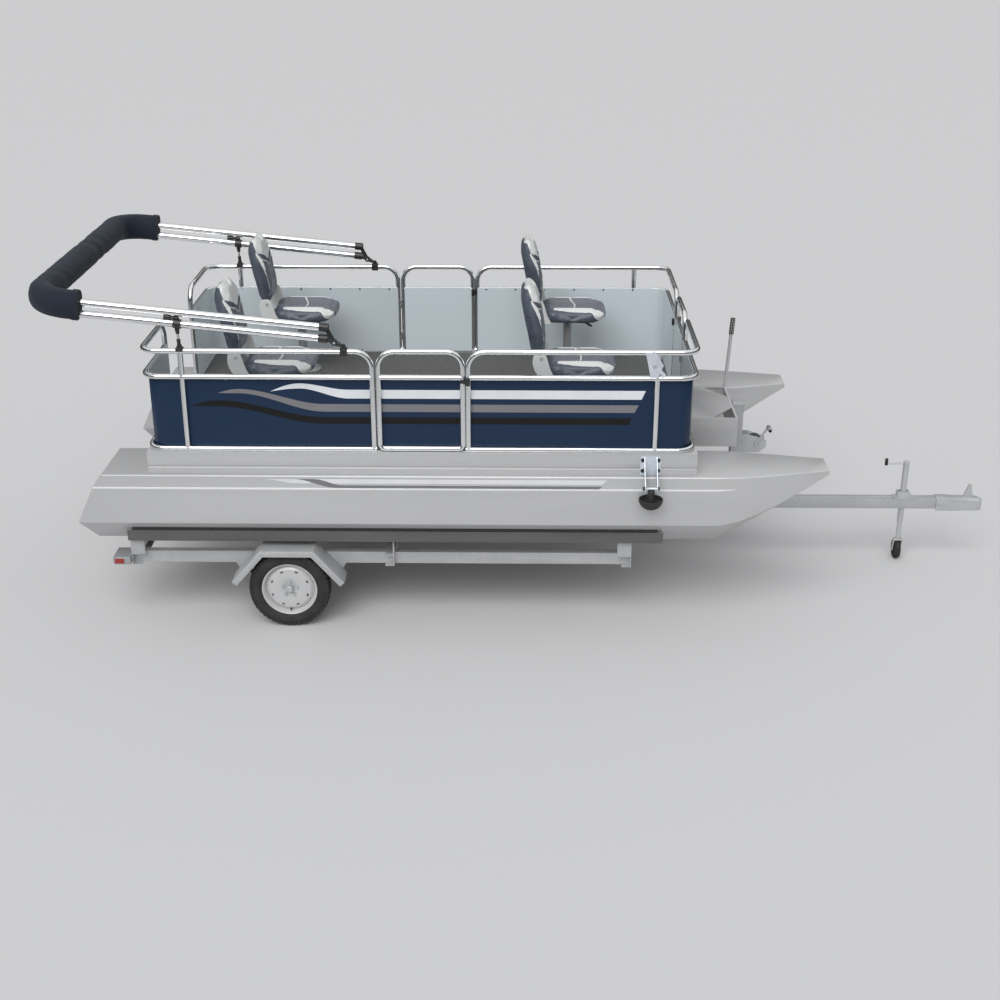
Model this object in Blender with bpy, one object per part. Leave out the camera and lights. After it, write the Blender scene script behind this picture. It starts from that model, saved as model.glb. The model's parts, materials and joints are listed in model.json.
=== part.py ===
"""A small pontoon boat with four swivel seats, parked on its single-axle trailer.

X points to the bow, Y to port and Z up. Sizes are in metres. The boat's own zero is the deck's
middle on the ground, and one empty then moves everything to the origin of the whole.
"""
import math

import bmesh
import bpy
from mathutils import Matrix, Vector

# Where the whole's origin lies from the deck's middle
ORIGIN_AHEAD = 0.7715
ORIGIN_TO_STARBOARD = 0.0690

# Clearances between touching pieces, and what a cut or a weld runs past its piece
GAP = 0.0003
OVERRUN = 0.004
SWING_GAP = 0.006
ROUND_SIDES = 8
FINE_SIDES = 12
TUBE_SIDES = 8
BEND_STEPS = 3
MERGE = 0.00002

# Pontoons: a box hull with a lap joint along its side and a vee bottom
PONTOON_HALF_WIDTH = 0.245
PONTOON_OVERHANG = 0.035
PONTOON_TOP = 1.058
PONTOON_LAP_Z = 0.970
PONTOON_LAP_STEP = 0.009
PONTOON_LAP_HEIGHT = 0.005
PONTOON_EDGE = 0.006
CHINE_Z = 0.735
KEEL_Z = 0.540
KEEL_HALF_WIDTH = 0.020
TRANSOM_TOP_X = -1.995
TRANSOM_LAP_X = -2.060
TRANSOM_CHINE_X = -2.170
TRANSOM_KEEL_X = -2.120
NOSE_AHEAD_OF_DECK = 0.145
NOSE_LENGTH = 0.700
NOSE_LIP = 0.028
NOSE_TIP_HALF_WIDTH = 0.105
# Share of the nose's length, then shares of its narrowing, of the keel's rise and of the chine's
NOSE_SHARES = (
    (0.18, 0.08, 0.14, 0.08),
    (0.38, 0.27, 0.32, 0.24),
    (0.58, 0.50, 0.51, 0.45),
    (0.79, 0.75, 0.73, 0.72),
    (1.00, 1.00, 1.00, 1.00),
)

# Deck: an edge rail all round, cross channels and a floor panel
DECK_AFT_X = -1.705
DECK_FORE_X = 1.715
DECK_HALF_WIDTH = 1.065
DECK_TOP = 1.205
NOSE_START_X = DECK_FORE_X + NOSE_AHEAD_OF_DECK
PONTOON_Y = DECK_HALF_WIDTH + PONTOON_OVERHANG - PONTOON_HALF_WIDTH
DECK_RAIL_WIDTH = 0.045
DECK_GROOVE_Z = 1.107
DECK_GROOVE_HEIGHT = 0.008
DECK_GROOVE_DEPTH = 0.006
FLOOR_THICKNESS = 0.020
CHANNEL_WIDTH = 0.050
CHANNEL_COUNT = 6
CHANNEL_HEIGHT = 0.080

# Bow step: a skirted plate between the hulls with two open corners, and its grab bar
STEP_LENGTH = 0.350
STEP_HALF_WIDTH = 0.330
STEP_TOP = 1.175
STEP_PLATE = 0.006
STEP_SKIRT = 0.200
STEP_RIM = 0.016
STEP_CORNER_LENGTH = 0.150
STEP_CORNER_WIDTH = 0.200
GRAB_RADIUS = 0.0115
GRAB_HEIGHT = 0.500
GRAB_LEAN = 0.030
GRAB_GRIP_RADIUS = 0.016
GRAB_GRIP_LENGTH = 0.115

# Motor transom under the deck's aft edge
MOTOR_PLATE_HALF_WIDTH = 0.220
MOTOR_PLATE_THICKNESS = 0.030
MOTOR_PLATE_DEPTH = 0.260
MOTOR_STAY_LENGTH = 0.240
MOTOR_STAY_WALL = 0.006
MOTOR_STAY_Y = 0.180

# Fence of bent tube, with its sheets on the inner side
TUBE_RADIUS = 0.014
FENCE_SIDE_INSET = 0.0254
FENCE_END_INSET = 0.013
FENCE_HALF_WIDTH = DECK_HALF_WIDTH - FENCE_SIDE_INSET
FENCE_HALF_LENGTH = -DECK_AFT_X - FENCE_END_INSET
FENCE_TOP = 1.849
FENCE_MIDDLE = 1.686
FENCE_CORNER = 0.100
POST_BEND = 0.070
POST_SETBACK = 0.2445
POST_X = FENCE_HALF_LENGTH - POST_SETBACK
SHEET_THICKNESS = 0.003
SHEET_LAP = 0.012
SHEET_LIFT = 0.004
STERN_OPENING_Y = 0.410

# Gates in the fence
GATE_WIDTH = 0.5134
SIDE_GATE_X = 0.0063
BOW_GATE_Y = 0.0150
HINGE_SPACE = 0.0106
LATCH_SPACE = 0.006
GATE_BEND = 0.060
GATE_FOOT_BEND = 0.030
GATE_SHEET_INSET = 0.010
HINGE_OFFSET = 0.024
KNUCKLE_RADIUS = 0.0065
KNUCKLE_LENGTH = 0.030
LEAF_THICKNESS = 0.003
LEAF_HEIGHT = 0.024
HINGE_HEIGHT_SHARES = (0.24, 0.76)
LATCH_HEIGHT_SHARE = 0.70
LATCH_SIZE = 0.022
LATCH_DEPTH = 0.010
LATCH_REACH = 0.028

# Folded canopy: two bows in a sleeve, hinged on the side rails and resting on two posts
CANOPY_HINGE_X = -0.454
CANOPY_HINGE_RISE = 0.034
CANOPY_TUBE_RADIUS = 0.0125
CANOPY_SLOPE = 5.8
CANOPY_BOW_SPACE = 0.070
CANOPY_REACH = 1.700
CANOPY_CORNER = 0.200
CANOPY_FITTING_LENGTH = 0.115
CANOPY_FITTING_DROP = 24.0
CANOPY_EYE_RADIUS = 0.0130
CANOPY_EYE_WIDTH = 0.014
CANOPY_FORK_SHARE = 0.55
CANOPY_CUFF_WALL = 0.003
CANOPY_PIN_RADIUS = 0.0050
SLEEVE_HEIGHT = 0.088
SLEEVE_WIDTH = 0.072
SLEEVE_ARM = 0.215
MOUNT_LENGTH = 0.046
MOUNT_WALL = 0.006
MOUNT_EAR = 0.005
STRUT_X = -POST_X
STRUT_RADIUS = 0.0090
STRUT_EYE_RADIUS = 0.0125
STRUT_EYE_WIDTH = 0.012
KNUCKLE_CLAMP_RADIUS = 0.019
KNUCKLE_CLAMP_LENGTH = 0.036
KNUCKLE_EAR_DROP = 0.034
STRUT_PIN_RADIUS = 0.0045

# Seats: pedestal on the floor, shell with two arms, cushion and folding back
SEAT_FROM_END = 0.742
SEAT_FROM_SIDE = 0.4296
SEAT_X = (SEAT_FROM_END - FENCE_HALF_LENGTH, FENCE_HALF_LENGTH - SEAT_FROM_END)
SEAT_Y = FENCE_HALF_WIDTH - SEAT_FROM_SIDE
PEDESTAL_BASE_RADIUS = 0.125
PEDESTAL_BASE_HEIGHT = 0.012
PEDESTAL_FLARE_RADIUS = 0.055
PEDESTAL_FLARE_HEIGHT = 0.045
PEDESTAL_RADIUS = 0.030
PEDESTAL_HEIGHT = 0.370
SWIVEL_SPACE = 0.0008
SWIVEL_RADIUS = 0.085
SWIVEL_THICKNESS = 0.012
SHELL_THICKNESS = 0.018
CUSHION_FRONT = 0.272
CUSHION_BACK = 0.190
CUSHION_HALF_WIDTH = 0.215
CUSHION_THICKNESS = 0.085
CUSHION_CORNER = 0.060
BACK_HINGE_BACK = 0.205
BACK_HINGE_RISE = 0.048
BACK_LEAN = 10.0
BACK_FRONT_FACE = 0.028
BACK_DEPTH = 0.075
BACK_BELOW = 0.030
BACK_LENGTH = 0.455
BACK_HALF_WIDTH = 0.195
BACK_CORNER = 0.070
BACK_SHOULDER_SHARE = 0.86
ARM_THICKNESS = 0.010
ARM_SPACE = 0.006
ARM_WIDTH = 0.050
ARM_LENGTH = 0.100
ARM_PIN_RADIUS = 0.008

# Anchor on its davit outside the starboard fore post
DAVIT_FROM_POST = 0.0225
DAVIT_X = POST_X - DAVIT_FROM_POST
DAVIT_HALF_WIDTH = 0.064
DAVIT_PLATE = 0.005
DAVIT_TOP = 1.190
DAVIT_FOOT = 1.000
DAVIT_ARM_SPACE = 0.038
DAVIT_REACH = 0.115
DAVIT_ARM_DEPTH = 0.040
DAVIT_PIN_RADIUS = 0.008
ANCHOR_SHANK_RADIUS = 0.022
ANCHOR_SHANK_LENGTH = 0.060
ANCHOR_BOWL_RADIUS = 0.0775
ANCHOR_BOWL_DEPTH = 0.070
ANCHOR_WALL = 0.009
ANCHOR_STEPS = 4
ANCHOR_SIDES = 16
LOCK_WIDTH = 0.110
LOCK_HEIGHT = 0.150
LOCK_THICKNESS = 0.006
LOCK_LEVER = 0.090
LOCK_LEVER_WIDTH = 0.022
LOCK_PIN_RADIUS = 0.009

# Trailer frame: channel rails and cross beams, and a square tongue
FRAME_TOP = 0.474
FRAME_HEIGHT = 0.078
FRAME_WALL = 0.006
RAIL_FROM_HULL = 0.100
RAIL_OUTER_Y = PONTOON_Y + RAIL_FROM_HULL
RAIL_WIDTH = 0.050
BEAM_OVERHANG = 0.045
BEAM_HALF_LENGTH = RAIL_OUTER_Y + BEAM_OVERHANG
REAR_BEAM_X = -1.885
MIDDLE_BEAM_X = -0.190
FRONT_BEAM_X = 1.333
BEAM_FLANGE = 0.060
TONGUE_HALF_WIDTH = 0.040
TONGUE_HEIGHT = 0.070
TONGUE_END_X = 3.620
UPRIGHT_WIDTH = 0.090
UPRIGHT_PLATE = 0.008

# Bunks under the hulls
BUNK_AFT_X = -1.888
BUNK_FORE_X = 1.527
BUNK_FROM_HULL = 0.180
BUNK_OUTER_Y = PONTOON_Y + BUNK_FROM_HULL
BUNK_WIDTH = 0.050
BUNK_FOOT_Z = 0.582
BUNK_WALL = 0.005
PAD_THICKNESS = 0.022
PAD_INSET = 0.035

# Running gear
AXLE_X = -0.865
AXLE_HALF = 0.0225
SPINDLE_RADIUS = 0.0150
SPINDLE_CLEARANCE = 0.0005
SPRING_HALF_LENGTH = 0.300
SPRING_RISE = 0.045
SPRING_THICKNESS = 0.014
SPRING_EYE_RADIUS = 0.016
HANGER_PLATE = 0.005
HANGER_WIDTH = 0.060
TYRE_RADIUS = 0.262
TYRE_HALF_WIDTH = 0.0595
TYRE_FROM_RAIL = 0.139
TYRE_FACE_Y = RAIL_OUTER_Y + TYRE_FROM_RAIL
TYRE_SIDES = 24
BEAD_RADIUS = 0.168
BEAD_HALF_WIDTH = 0.040
FLANGE_HEIGHT = 0.011
FLANGE_THICKNESS = 0.0055
# Shares of the tyre's half width and of its section's height, from the bead to the tread
WALL_SHARES = ((0.94, 0.22), (1.00, 0.45), (0.95, 0.72), (0.82, 0.933), (0.45, 1.00))
RIM_WALL = 0.004
DISC_OUT = 0.022
DISC_WALL = 0.008
HUB_RADIUS = 0.034
HUB_CAP_RADIUS = 0.021
HUB_OUT = 0.052
HUB_IN = 0.052
SLOT_COUNT = 8
SLOT_RADIUS = 0.122
SLOT_LENGTH = 0.018
SLOT_WIDTH = 0.009

# Mudguards bent from plate over each wheel
FENDER_OVER_TYRE = 0.026
FENDER_OUTER_Y = TYRE_FACE_Y + FENDER_OVER_TYRE
FENDER_TOP = 0.548
FENDER_TOP_HALF = 0.172
FENDER_FOOT_HALF = 0.362
FENDER_FOOT_Z = 0.330
FENDER_PLATE = 0.003
FENDER_LIP = 0.040
FENDER_STAY = 0.030
FENDER_STAY_SHARE = 0.7

# Tail lamps
LAMP_AFT_X = -2.000
LAMP_OVER_BEAM = 0.040
LAMP_OUTER_Y = BEAM_HALF_LENGTH + LAMP_OVER_BEAM
LAMP_WIDTH = 0.150
LAMP_TOP = 0.466
LAMP_HEIGHT = 0.052
LENS_OUT = 0.006
LENS_MARGIN = 0.007

# Jack with a swivelling wheel, set through the tongue
JACK_X = 3.308
JACK_RADIUS = 0.0205
JACK_TOP = 0.745
JACK_CAP = 0.011
JACK_SLEEVE_FOOT = 0.290
JACK_LEG_RADIUS = 0.0165
JACK_FLANGE_LENGTH = 0.140
JACK_FLANGE_WALL = 0.006
CRANK_REACH = 0.140
CRANK_RADIUS = 0.006
CRANK_DROP = 0.018
CRANK_GRIP_RADIUS = 0.012
CRANK_GRIP_LENGTH = 0.050
JACK_WHEEL_RADIUS = 0.0705
JACK_WHEEL_HALF = 0.020
JACK_WHEEL_BORE = 0.0068
# Shares of the wheel's half width and of its radius, from the hub out to the tread
JACK_WHEEL_SHARES = ((1.0, 0.30), (0.6, 0.36), (0.6, 0.62), (1.0, 0.70), (1.0, 0.90), (0.7, 1.0))
JACK_PIN_RADIUS = 0.0060
FORK_PLATE = 0.004
FORK_SPACE = 0.005
FORK_TRAIL = 0.020
FORK_CROWN = 0.010
FORK_HALF_DEPTH = 0.020

# Ball coupler on the tongue's end
COUPLER_AFT_X = 3.537
COUPLER_END_X = 3.863
COUPLER_WALL = 0.005
COUPLER_SOCKET_X = 3.800
COUPLER_SOCKET_RADIUS = 0.026
COUPLER_NOSE_HALF_WIDTH = 0.040
COUPLER_DROP = 0.014
COUPLER_CROWN_SHARE = 0.88
COUPLER_LEVER_X = 3.762
COUPLER_LEVER_LENGTH = 0.070
COUPLER_LEVER_HEIGHT = 0.095
COUPLER_LEVER_HALF = 0.008

# Winch post and hand winch
WINCH_POST_X = 2.072
WINCH_POST_LENGTH = 0.072
WINCH_POST_HALF_WIDTH = 0.048
WINCH_POST_TOP = 1.168
WINCH_CAP = 0.008
WINCH_BASE_LENGTH = 0.160
WINCH_BASE_WALL = 0.008
WINCH_Z = 0.890
WINCH_REACH = 0.170
WINCH_HEIGHT = 0.130
WINCH_HALF_WIDTH = 0.046
WINCH_WALL = 0.004
DRUM_RADIUS = 0.048
DRUM_X_SHARE = 0.55
WINCH_HANDLE_LENGTH = 0.151
WINCH_HANDLE_TURN = 58.0
WINCH_HANDLE_RADIUS = 0.007
WINCH_GRIP_LENGTH = 0.080
WINCH_GRIP_RADIUS = 0.013

SIDES = (("starboard", -1), ("port", 1))


def clear_scene():
    """Remove what the file held."""
    for item in list(bpy.data.objects):
        bpy.data.objects.remove(item, do_unlink=True)


def finish(name, colour, roughness, metallic=0.0):
    """A plain Principled material."""
    material = bpy.data.materials.new(name)
    material.use_nodes = True
    shader = material.node_tree.nodes["Principled BSDF"]
    shader.inputs["Base Color"].default_value = (*colour, 1.0)
    shader.inputs["Roughness"].default_value = roughness
    shader.inputs["Metallic"].default_value = metallic
    return material


def along(axis, pair, third):
    """The point of a flat pair in the plane square to an axis."""
    if axis == "x":
        return Vector((third, pair[0], pair[1]))
    if axis == "y":
        return Vector((pair[0], third, pair[1]))
    return Vector((pair[0], pair[1], third))


def tidy(shape):
    """Weld doubled corners, drop loose edges and turn every face outwards."""
    bmesh.ops.remove_doubles(shape, verts=shape.verts, dist=MERGE)
    loose = [edge for edge in shape.edges if not edge.link_faces]
    bmesh.ops.delete(shape, geom=loose, context="EDGES")
    bmesh.ops.recalc_face_normals(shape, faces=shape.faces)
    return shape


def skin(rings, looped=False):
    """A closed body over equal rings of points, with flat ends unless it is looped."""
    shape = bmesh.new()
    rows = [[shape.verts.new(point) for point in ring] for ring in rings]
    spans = len(rows) if looped else len(rows) - 1
    for index in range(spans):
        near, far = rows[index], rows[(index + 1) % len(rows)]
        for j in range(len(near)):
            k = (j + 1) % len(near)
            shape.faces.new((near[j], near[k], far[k], far[j]))
    if not looped:
        shape.faces.new(rows[0])
        shape.faces.new(rows[-1])
    return tidy(shape)


def prism(outline, axis, low, high):
    """A flat outline carried straight along an axis."""
    return skin([[along(axis, pair, low) for pair in outline],
                 [along(axis, pair, high) for pair in outline]])


def block(low, high):
    """A box between two corners."""
    outline = ((low[0], low[1]), (high[0], low[1]), (high[0], high[1]), (low[0], high[1]))
    return prism(outline, "z", low[2], high[2])


def turned(profile, axis, centre, sides=ROUND_SIDES):
    """A profile of (distance along the axis, radius) turned about it."""
    rings = []
    for step in range(sides):
        angle = 2 * math.pi * (step + 0.5) / sides
        ring = []
        for distance, radius in profile:
            pair = (radius * math.cos(angle), radius * math.sin(angle))
            ring.append(Vector(centre) + along(axis, pair, distance))
        rings.append(ring)
    return skin(rings, looped=True)


def rod(axis, centre, low, high, radius, sides=ROUND_SIDES):
    """A round bar along an axis."""
    return turned(((low, 0), (low, radius), (high, radius), (high, 0)), axis, centre, sides)


def bore(axis, centre, low, high, radius, sides=ROUND_SIDES):
    """A cutter whose flats clear a pin of that radius as it turns."""
    return rod(axis, centre, low, high, (radius + GAP) / math.cos(math.pi / sides), sides)


def bent(corners, radii, steps=BEND_STEPS):
    """A path through the corners with each one rounded to its radius."""
    points = [Vector(corner) for corner in corners]
    if not isinstance(radii, (tuple, list)):
        radii = [radii] * (len(points) - 2)
    path = [points[0]]
    for before, corner, after, radius in zip(points, points[1:], points[2:], radii):
        inward = (corner - before).normalized()
        outward = (after - corner).normalized()
        turn = inward.angle(outward)
        start = corner - inward * radius * math.tan(turn / 2)
        axle = inward.cross(outward).normalized()
        centre = start + axle.cross(inward) * radius
        for step in range(steps + 1):
            spin = Matrix.Rotation(turn * step / steps, 3, axle)
            path.append(centre + spin @ (start - centre))
    path.append(points[-1])
    return path


def mitred(path, ring, looped=False):
    """A ring of points carried along a path and cut square at each bend."""
    points = [Vector(point) for point in path]
    rings = []
    count = len(points)
    for index, point in enumerate(points):
        arriving = points[index] - points[index - 1] if index or looped else None
        leaving = points[(index + 1) % count] - point if index < count - 1 or looped else None
        arriving = (arriving or leaving).normalized()
        leaving = (leaving or arriving).normalized()
        across = (arriving + leaving).normalized()
        ring = [corner + arriving * ((point - corner).dot(across) / arriving.dot(across))
                for corner in ring]
        rings.append(ring)
    return rings


def tube(path, radius, sides=TUBE_SIDES, looped=False):
    """A round bar along a path, its flats at the radius."""
    points = [Vector(point) for point in path]
    radius /= math.cos(math.pi / sides)
    start = points[-1] if looped else points[0]
    heading = (points[0] - points[-1] if looped else points[1] - points[0]).normalized()
    up = Vector((0, 0, 1)) if abs(heading.z) < 0.9 else Vector((1, 0, 0))
    side = heading.cross(up).normalized()
    up = side.cross(heading)
    ring = []
    for step in range(sides):
        angle = 2 * math.pi * (step + 0.5) / sides
        ring.append(start + side * radius * math.cos(angle) + up * radius * math.sin(angle))
    return skin(mitred(points, ring, looped), looped)


def wall(plan, near, far, low, high):
    """A sheet that stands on a plan path, between two distances to its left."""
    points = [Vector((x, y, 0)) for x, y in plan]
    left = Matrix.Rotation(math.pi / 2, 3, "Z") @ (points[1] - points[0]).normalized()
    ring = [points[0] + left * reach + Vector((0, 0, height))
            for reach, height in ((near, low), (near, high), (far, high), (far, low))]
    return skin(mitred(points, ring))


def stand_in(shape):
    """A short-lived object that holds a shape for a Boolean."""
    mesh = bpy.data.meshes.new("stand_in")
    shape.to_mesh(mesh)
    shape.free()
    item = bpy.data.objects.new("stand_in", mesh)
    bpy.context.scene.collection.objects.link(item)
    return item


def fused(parts, cutters=()):
    """One closed body from overlapping shapes, less the cutters."""
    base = stand_in(parts[0])
    others = [("UNION", stand_in(part)) for part in parts[1:]]
    others += [("DIFFERENCE", stand_in(part)) for part in cutters]
    for operation, other in others:
        cut = base.modifiers.new(operation, "BOOLEAN")
        cut.operation = operation
        cut.solver = "EXACT"
        cut.object = other
    seen = base.evaluated_get(bpy.context.evaluated_depsgraph_get())
    shape = bmesh.new()
    shape.from_mesh(seen.to_mesh())
    seen.to_mesh_clear()
    for item in [base] + [other for _, other in others]:
        bpy.data.objects.remove(item, do_unlink=True)
    bmesh.ops.remove_doubles(shape, verts=shape.verts, dist=MERGE)
    return shape


def place(name, shape, material, pivot=(0, 0, 0)):
    """Make a shape an object whose origin is its pivot."""
    pivot = Vector(pivot)
    bmesh.ops.translate(shape, verts=shape.verts, vec=-pivot)
    mesh = bpy.data.meshes.new(name)
    shape.to_mesh(mesh)
    shape.free()
    mesh.materials.append(material)
    mesh.shade_smooth()
    mesh.set_sharp_from_angle(angle=math.radians(30))
    item = bpy.data.objects.new(name, mesh)
    item.location = pivot
    item.parent = WHOLE
    bpy.context.scene.collection.objects.link(item)
    return item


def hull_bottom(y):
    """The height of the vee bottom at a distance from the boat's centreline."""
    run = PONTOON_HALF_WIDTH - KEEL_HALF_WIDTH
    share = (y - PONTOON_Y - KEEL_HALF_WIDTH) / run
    return KEEL_Z + share * (CHINE_Z - KEEL_Z)


def pontoon(side):
    """One hull: raked transom, straight body and a nose that narrows and rises."""
    top_half = PONTOON_HALF_WIDTH - PONTOON_LAP_STEP
    lap_top = PONTOON_LAP_Z + PONTOON_LAP_HEIGHT
    body = (
        (top_half - PONTOON_EDGE, PONTOON_TOP, TRANSOM_TOP_X),
        (top_half, PONTOON_TOP - PONTOON_EDGE, TRANSOM_TOP_X),
        (top_half, lap_top, TRANSOM_LAP_X),
        (PONTOON_HALF_WIDTH, PONTOON_LAP_Z, TRANSOM_LAP_X),
        (PONTOON_HALF_WIDTH, CHINE_Z, TRANSOM_CHINE_X),
        (KEEL_HALF_WIDTH, KEEL_Z, TRANSOM_KEEL_X),
    )

    def ring(stations, halves, heights):
        half = list(zip(stations, halves, heights))
        centre = side * PONTOON_Y
        right = [Vector((x, centre + width, z)) for x, width, z in half]
        left = [Vector((x, centre - width, z)) for x, width, z in reversed(half)]
        return right + left

    halves = [row[0] for row in body]
    heights = [row[1] for row in body]
    rings = [ring([row[2] for row in body], halves, heights),
             ring([NOSE_START_X] * len(body), halves, heights)]
    lip = PONTOON_TOP - NOSE_LIP
    tip_heights = (PONTOON_TOP, PONTOON_TOP - PONTOON_EDGE, lip + PONTOON_EDGE,
                   lip + PONTOON_LAP_HEIGHT, lip, lip - PONTOON_LAP_HEIGHT)
    for reach, narrowing, keel_rise, chine_rise in NOSE_SHARES:
        sizes = []
        for index, (half, height) in enumerate(zip(halves, heights)):
            tip = NOSE_TIP_HALF_WIDTH if index < len(body) - 1 else KEEL_HALF_WIDTH
            rise = keel_rise if index == len(body) - 1 else chine_rise
            smooth = half if index != 1 else PONTOON_HALF_WIDTH
            smooth = smooth if index != 2 else PONTOON_HALF_WIDTH
            sizes.append((smooth + (tip - smooth) * narrowing,
                          height + (tip_heights[index] - height) * rise))
        station = NOSE_START_X + NOSE_LENGTH * reach
        rings.append(ring([station] * len(body), [s[0] for s in sizes], [s[1] for s in sizes]))

    shape = bmesh.new()
    rows = [[shape.verts.new(point) for point in points] for points in rings]
    for near, far in zip(rows, rows[1:]):
        for j in range(len(near)):
            k = (j + 1) % len(near)
            shape.faces.new((near[j], near[k], far[k], far[j]))
    for row in (rows[0], rows[-1]):
        for j in range(len(body) - 1):
            opposite = len(row) - 1 - j
            shape.faces.new((row[j], row[j + 1], row[opposite - 1], row[opposite]))
    return tidy(shape)


def deck_frame():
    """The grooved edge rail all round, joined by cross channels, with the motor's transom."""
    low = PONTOON_TOP + GAP
    groove = DECK_GROOVE_HEIGHT / 2
    profile = (
        (0, low), (0, DECK_GROOVE_Z - 2 * groove), (DECK_GROOVE_DEPTH, DECK_GROOVE_Z - groove),
        (DECK_GROOVE_DEPTH, DECK_GROOVE_Z + groove), (0, DECK_GROOVE_Z + 2 * groove),
        (0, DECK_TOP), (DECK_RAIL_WIDTH, DECK_TOP), (DECK_RAIL_WIDTH, low),
    )
    corners = ((DECK_AFT_X, -1, 1, -1), (DECK_FORE_X, -1, -1, -1),
               (DECK_FORE_X, -1, -1, 1), (DECK_AFT_X, -1, 1, 1))
    rings = []
    for x, _, inward, side in corners:
        rings.append([Vector((x + inward * reach, side * (DECK_HALF_WIDTH - reach), z))
                      for reach, z in profile])
    parts = [skin(rings, looped=True)]
    inner = DECK_HALF_WIDTH - DECK_RAIL_WIDTH + OVERRUN
    first = DECK_AFT_X + DECK_RAIL_WIDTH
    pitch = (DECK_FORE_X - DECK_RAIL_WIDTH - first) / (CHANNEL_COUNT + 1)
    top = DECK_TOP - FLOOR_THICKNESS - GAP
    for index in range(CHANNEL_COUNT):
        middle = first + pitch * (index + 1)
        parts.append(block((middle - CHANNEL_WIDTH / 2, -inner, top - CHANNEL_HEIGHT),
                           (middle + CHANNEL_WIDTH / 2, inner, top)))
    return fused(parts + motor_transom())


def floor_panel():
    """The floor sheet with the four seat pedestals bolted down on it."""
    inset = DECK_RAIL_WIDTH + GAP
    parts = [block((DECK_AFT_X + inset, -DECK_HALF_WIDTH + inset, DECK_TOP - FLOOR_THICKNESS),
                   (DECK_FORE_X - inset, DECK_HALF_WIDTH - inset, DECK_TOP))]
    plate = DECK_TOP + PEDESTAL_BASE_HEIGHT
    profile = (
        (DECK_TOP - OVERRUN, 0), (DECK_TOP - OVERRUN, PEDESTAL_BASE_RADIUS),
        (DECK_TOP + PEDESTAL_BASE_HEIGHT / 2, PEDESTAL_BASE_RADIUS),
        (plate, PEDESTAL_BASE_RADIUS - PEDESTAL_BASE_HEIGHT),
        (plate, PEDESTAL_FLARE_RADIUS), (plate + PEDESTAL_FLARE_HEIGHT, PEDESTAL_RADIUS),
        (DECK_TOP + PEDESTAL_HEIGHT, PEDESTAL_RADIUS), (DECK_TOP + PEDESTAL_HEIGHT, 0),
    )
    for x in SEAT_X:
        for side in (-1, 1):
            parts.append(turned(profile, "z", (x, side * SEAT_Y, 0), FINE_SIDES))
    return fused(parts)


def bow_step():
    """The plate between the hull noses, open at its front corners, with the grab bar."""
    aft = DECK_FORE_X + GAP
    fore = DECK_FORE_X + STEP_LENGTH
    foot = STEP_TOP - STEP_SKIRT
    parts = [block((aft, -STEP_HALF_WIDTH, STEP_TOP - STEP_PLATE), (fore, STEP_HALF_WIDTH, STEP_TOP))]
    for side in (-1, 1):
        edges = sorted((side * STEP_HALF_WIDTH, side * (STEP_HALF_WIDTH - STEP_PLATE)))
        parts.append(block((aft, edges[0], foot), (fore, edges[1], STEP_TOP - STEP_PLATE / 2)))
    for x in (aft, fore - STEP_PLATE):
        edge = STEP_HALF_WIDTH - STEP_PLATE / 2
        parts.append(block((x, -edge, foot), (x + STEP_PLATE, edge, STEP_TOP - STEP_PLATE / 2)))
    cutters = []
    for side in (-1, 1):
        corner = (fore - STEP_RIM, side * (STEP_HALF_WIDTH - STEP_RIM))
        outline = (corner, (corner[0] - STEP_CORNER_LENGTH, corner[1]),
                   (corner[0], corner[1] - side * STEP_CORNER_WIDTH))
        cutters.append(prism(outline, "z", STEP_TOP - STEP_PLATE - OVERRUN, STEP_TOP + OVERRUN))
    x, y = fore - STEP_RIM / 2, STEP_HALF_WIDTH - STEP_RIM / 2
    low = Vector((x, y, STEP_TOP - OVERRUN))
    high = Vector((x + GRAB_LEAN, y, STEP_TOP + GRAB_HEIGHT))
    grip = high + (low - high).normalized() * GRAB_GRIP_LENGTH
    parts += [tube((low, high), GRAB_RADIUS), tube((grip, high), GRAB_GRIP_RADIUS)]
    return fused(parts, cutters)


def motor_transom():
    """The plate that an outboard clamps to, with two stays under the deck."""
    top = PONTOON_TOP + GAP
    weld = top + OVERRUN
    aft = DECK_AFT_X + OVERRUN / 2
    parts = [block((aft, -MOTOR_PLATE_HALF_WIDTH, top - MOTOR_PLATE_DEPTH),
                   (aft + MOTOR_PLATE_THICKNESS, MOTOR_PLATE_HALF_WIDTH, weld))]
    near = aft + MOTOR_PLATE_THICKNESS - OVERRUN
    for side in (-1, 1):
        low = side * MOTOR_STAY_Y - MOTOR_STAY_WALL / 2
        outline = ((near, weld), (DECK_AFT_X + DECK_RAIL_WIDTH - OVERRUN, weld),
                   (near + MOTOR_STAY_LENGTH, top),
                   (near + MOTOR_STAY_LENGTH, top - MOTOR_STAY_LENGTH / 4),
                   (near, top - MOTOR_PLATE_DEPTH + MOTOR_STAY_LENGTH / 4))
        parts.append(prism(outline, "y", low, low + MOTOR_STAY_WALL))
    return parts


def gate_posts(middle):
    """The gate's two tube centres and the two fence tube centres beside them."""
    hinge = middle - GATE_WIDTH / 2
    latch = middle + GATE_WIDTH / 2
    return hinge - 2 * TUBE_RADIUS - HINGE_SPACE, hinge, latch, latch + 2 * TUBE_RADIUS + LATCH_SPACE


def fence_foot():
    """The height of the fence's bottom tube."""
    return DECK_TOP + TUBE_RADIUS + GAP


def fence_plan(side, end, stop):
    """The corners of a panel's centreline in plan, from its gate to its end return."""
    posts = gate_posts(SIDE_GATE_X)
    start = posts[0] if end < 0 else posts[3]
    return [(start, side * FENCE_HALF_WIDTH), (end * FENCE_HALF_LENGTH, side * FENCE_HALF_WIDTH),
            (end * FENCE_HALF_LENGTH, stop)]


def lifted(plan, z):
    """A plan path at a height."""
    return [Vector((x, y, z)) for x, y in plan]


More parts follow.
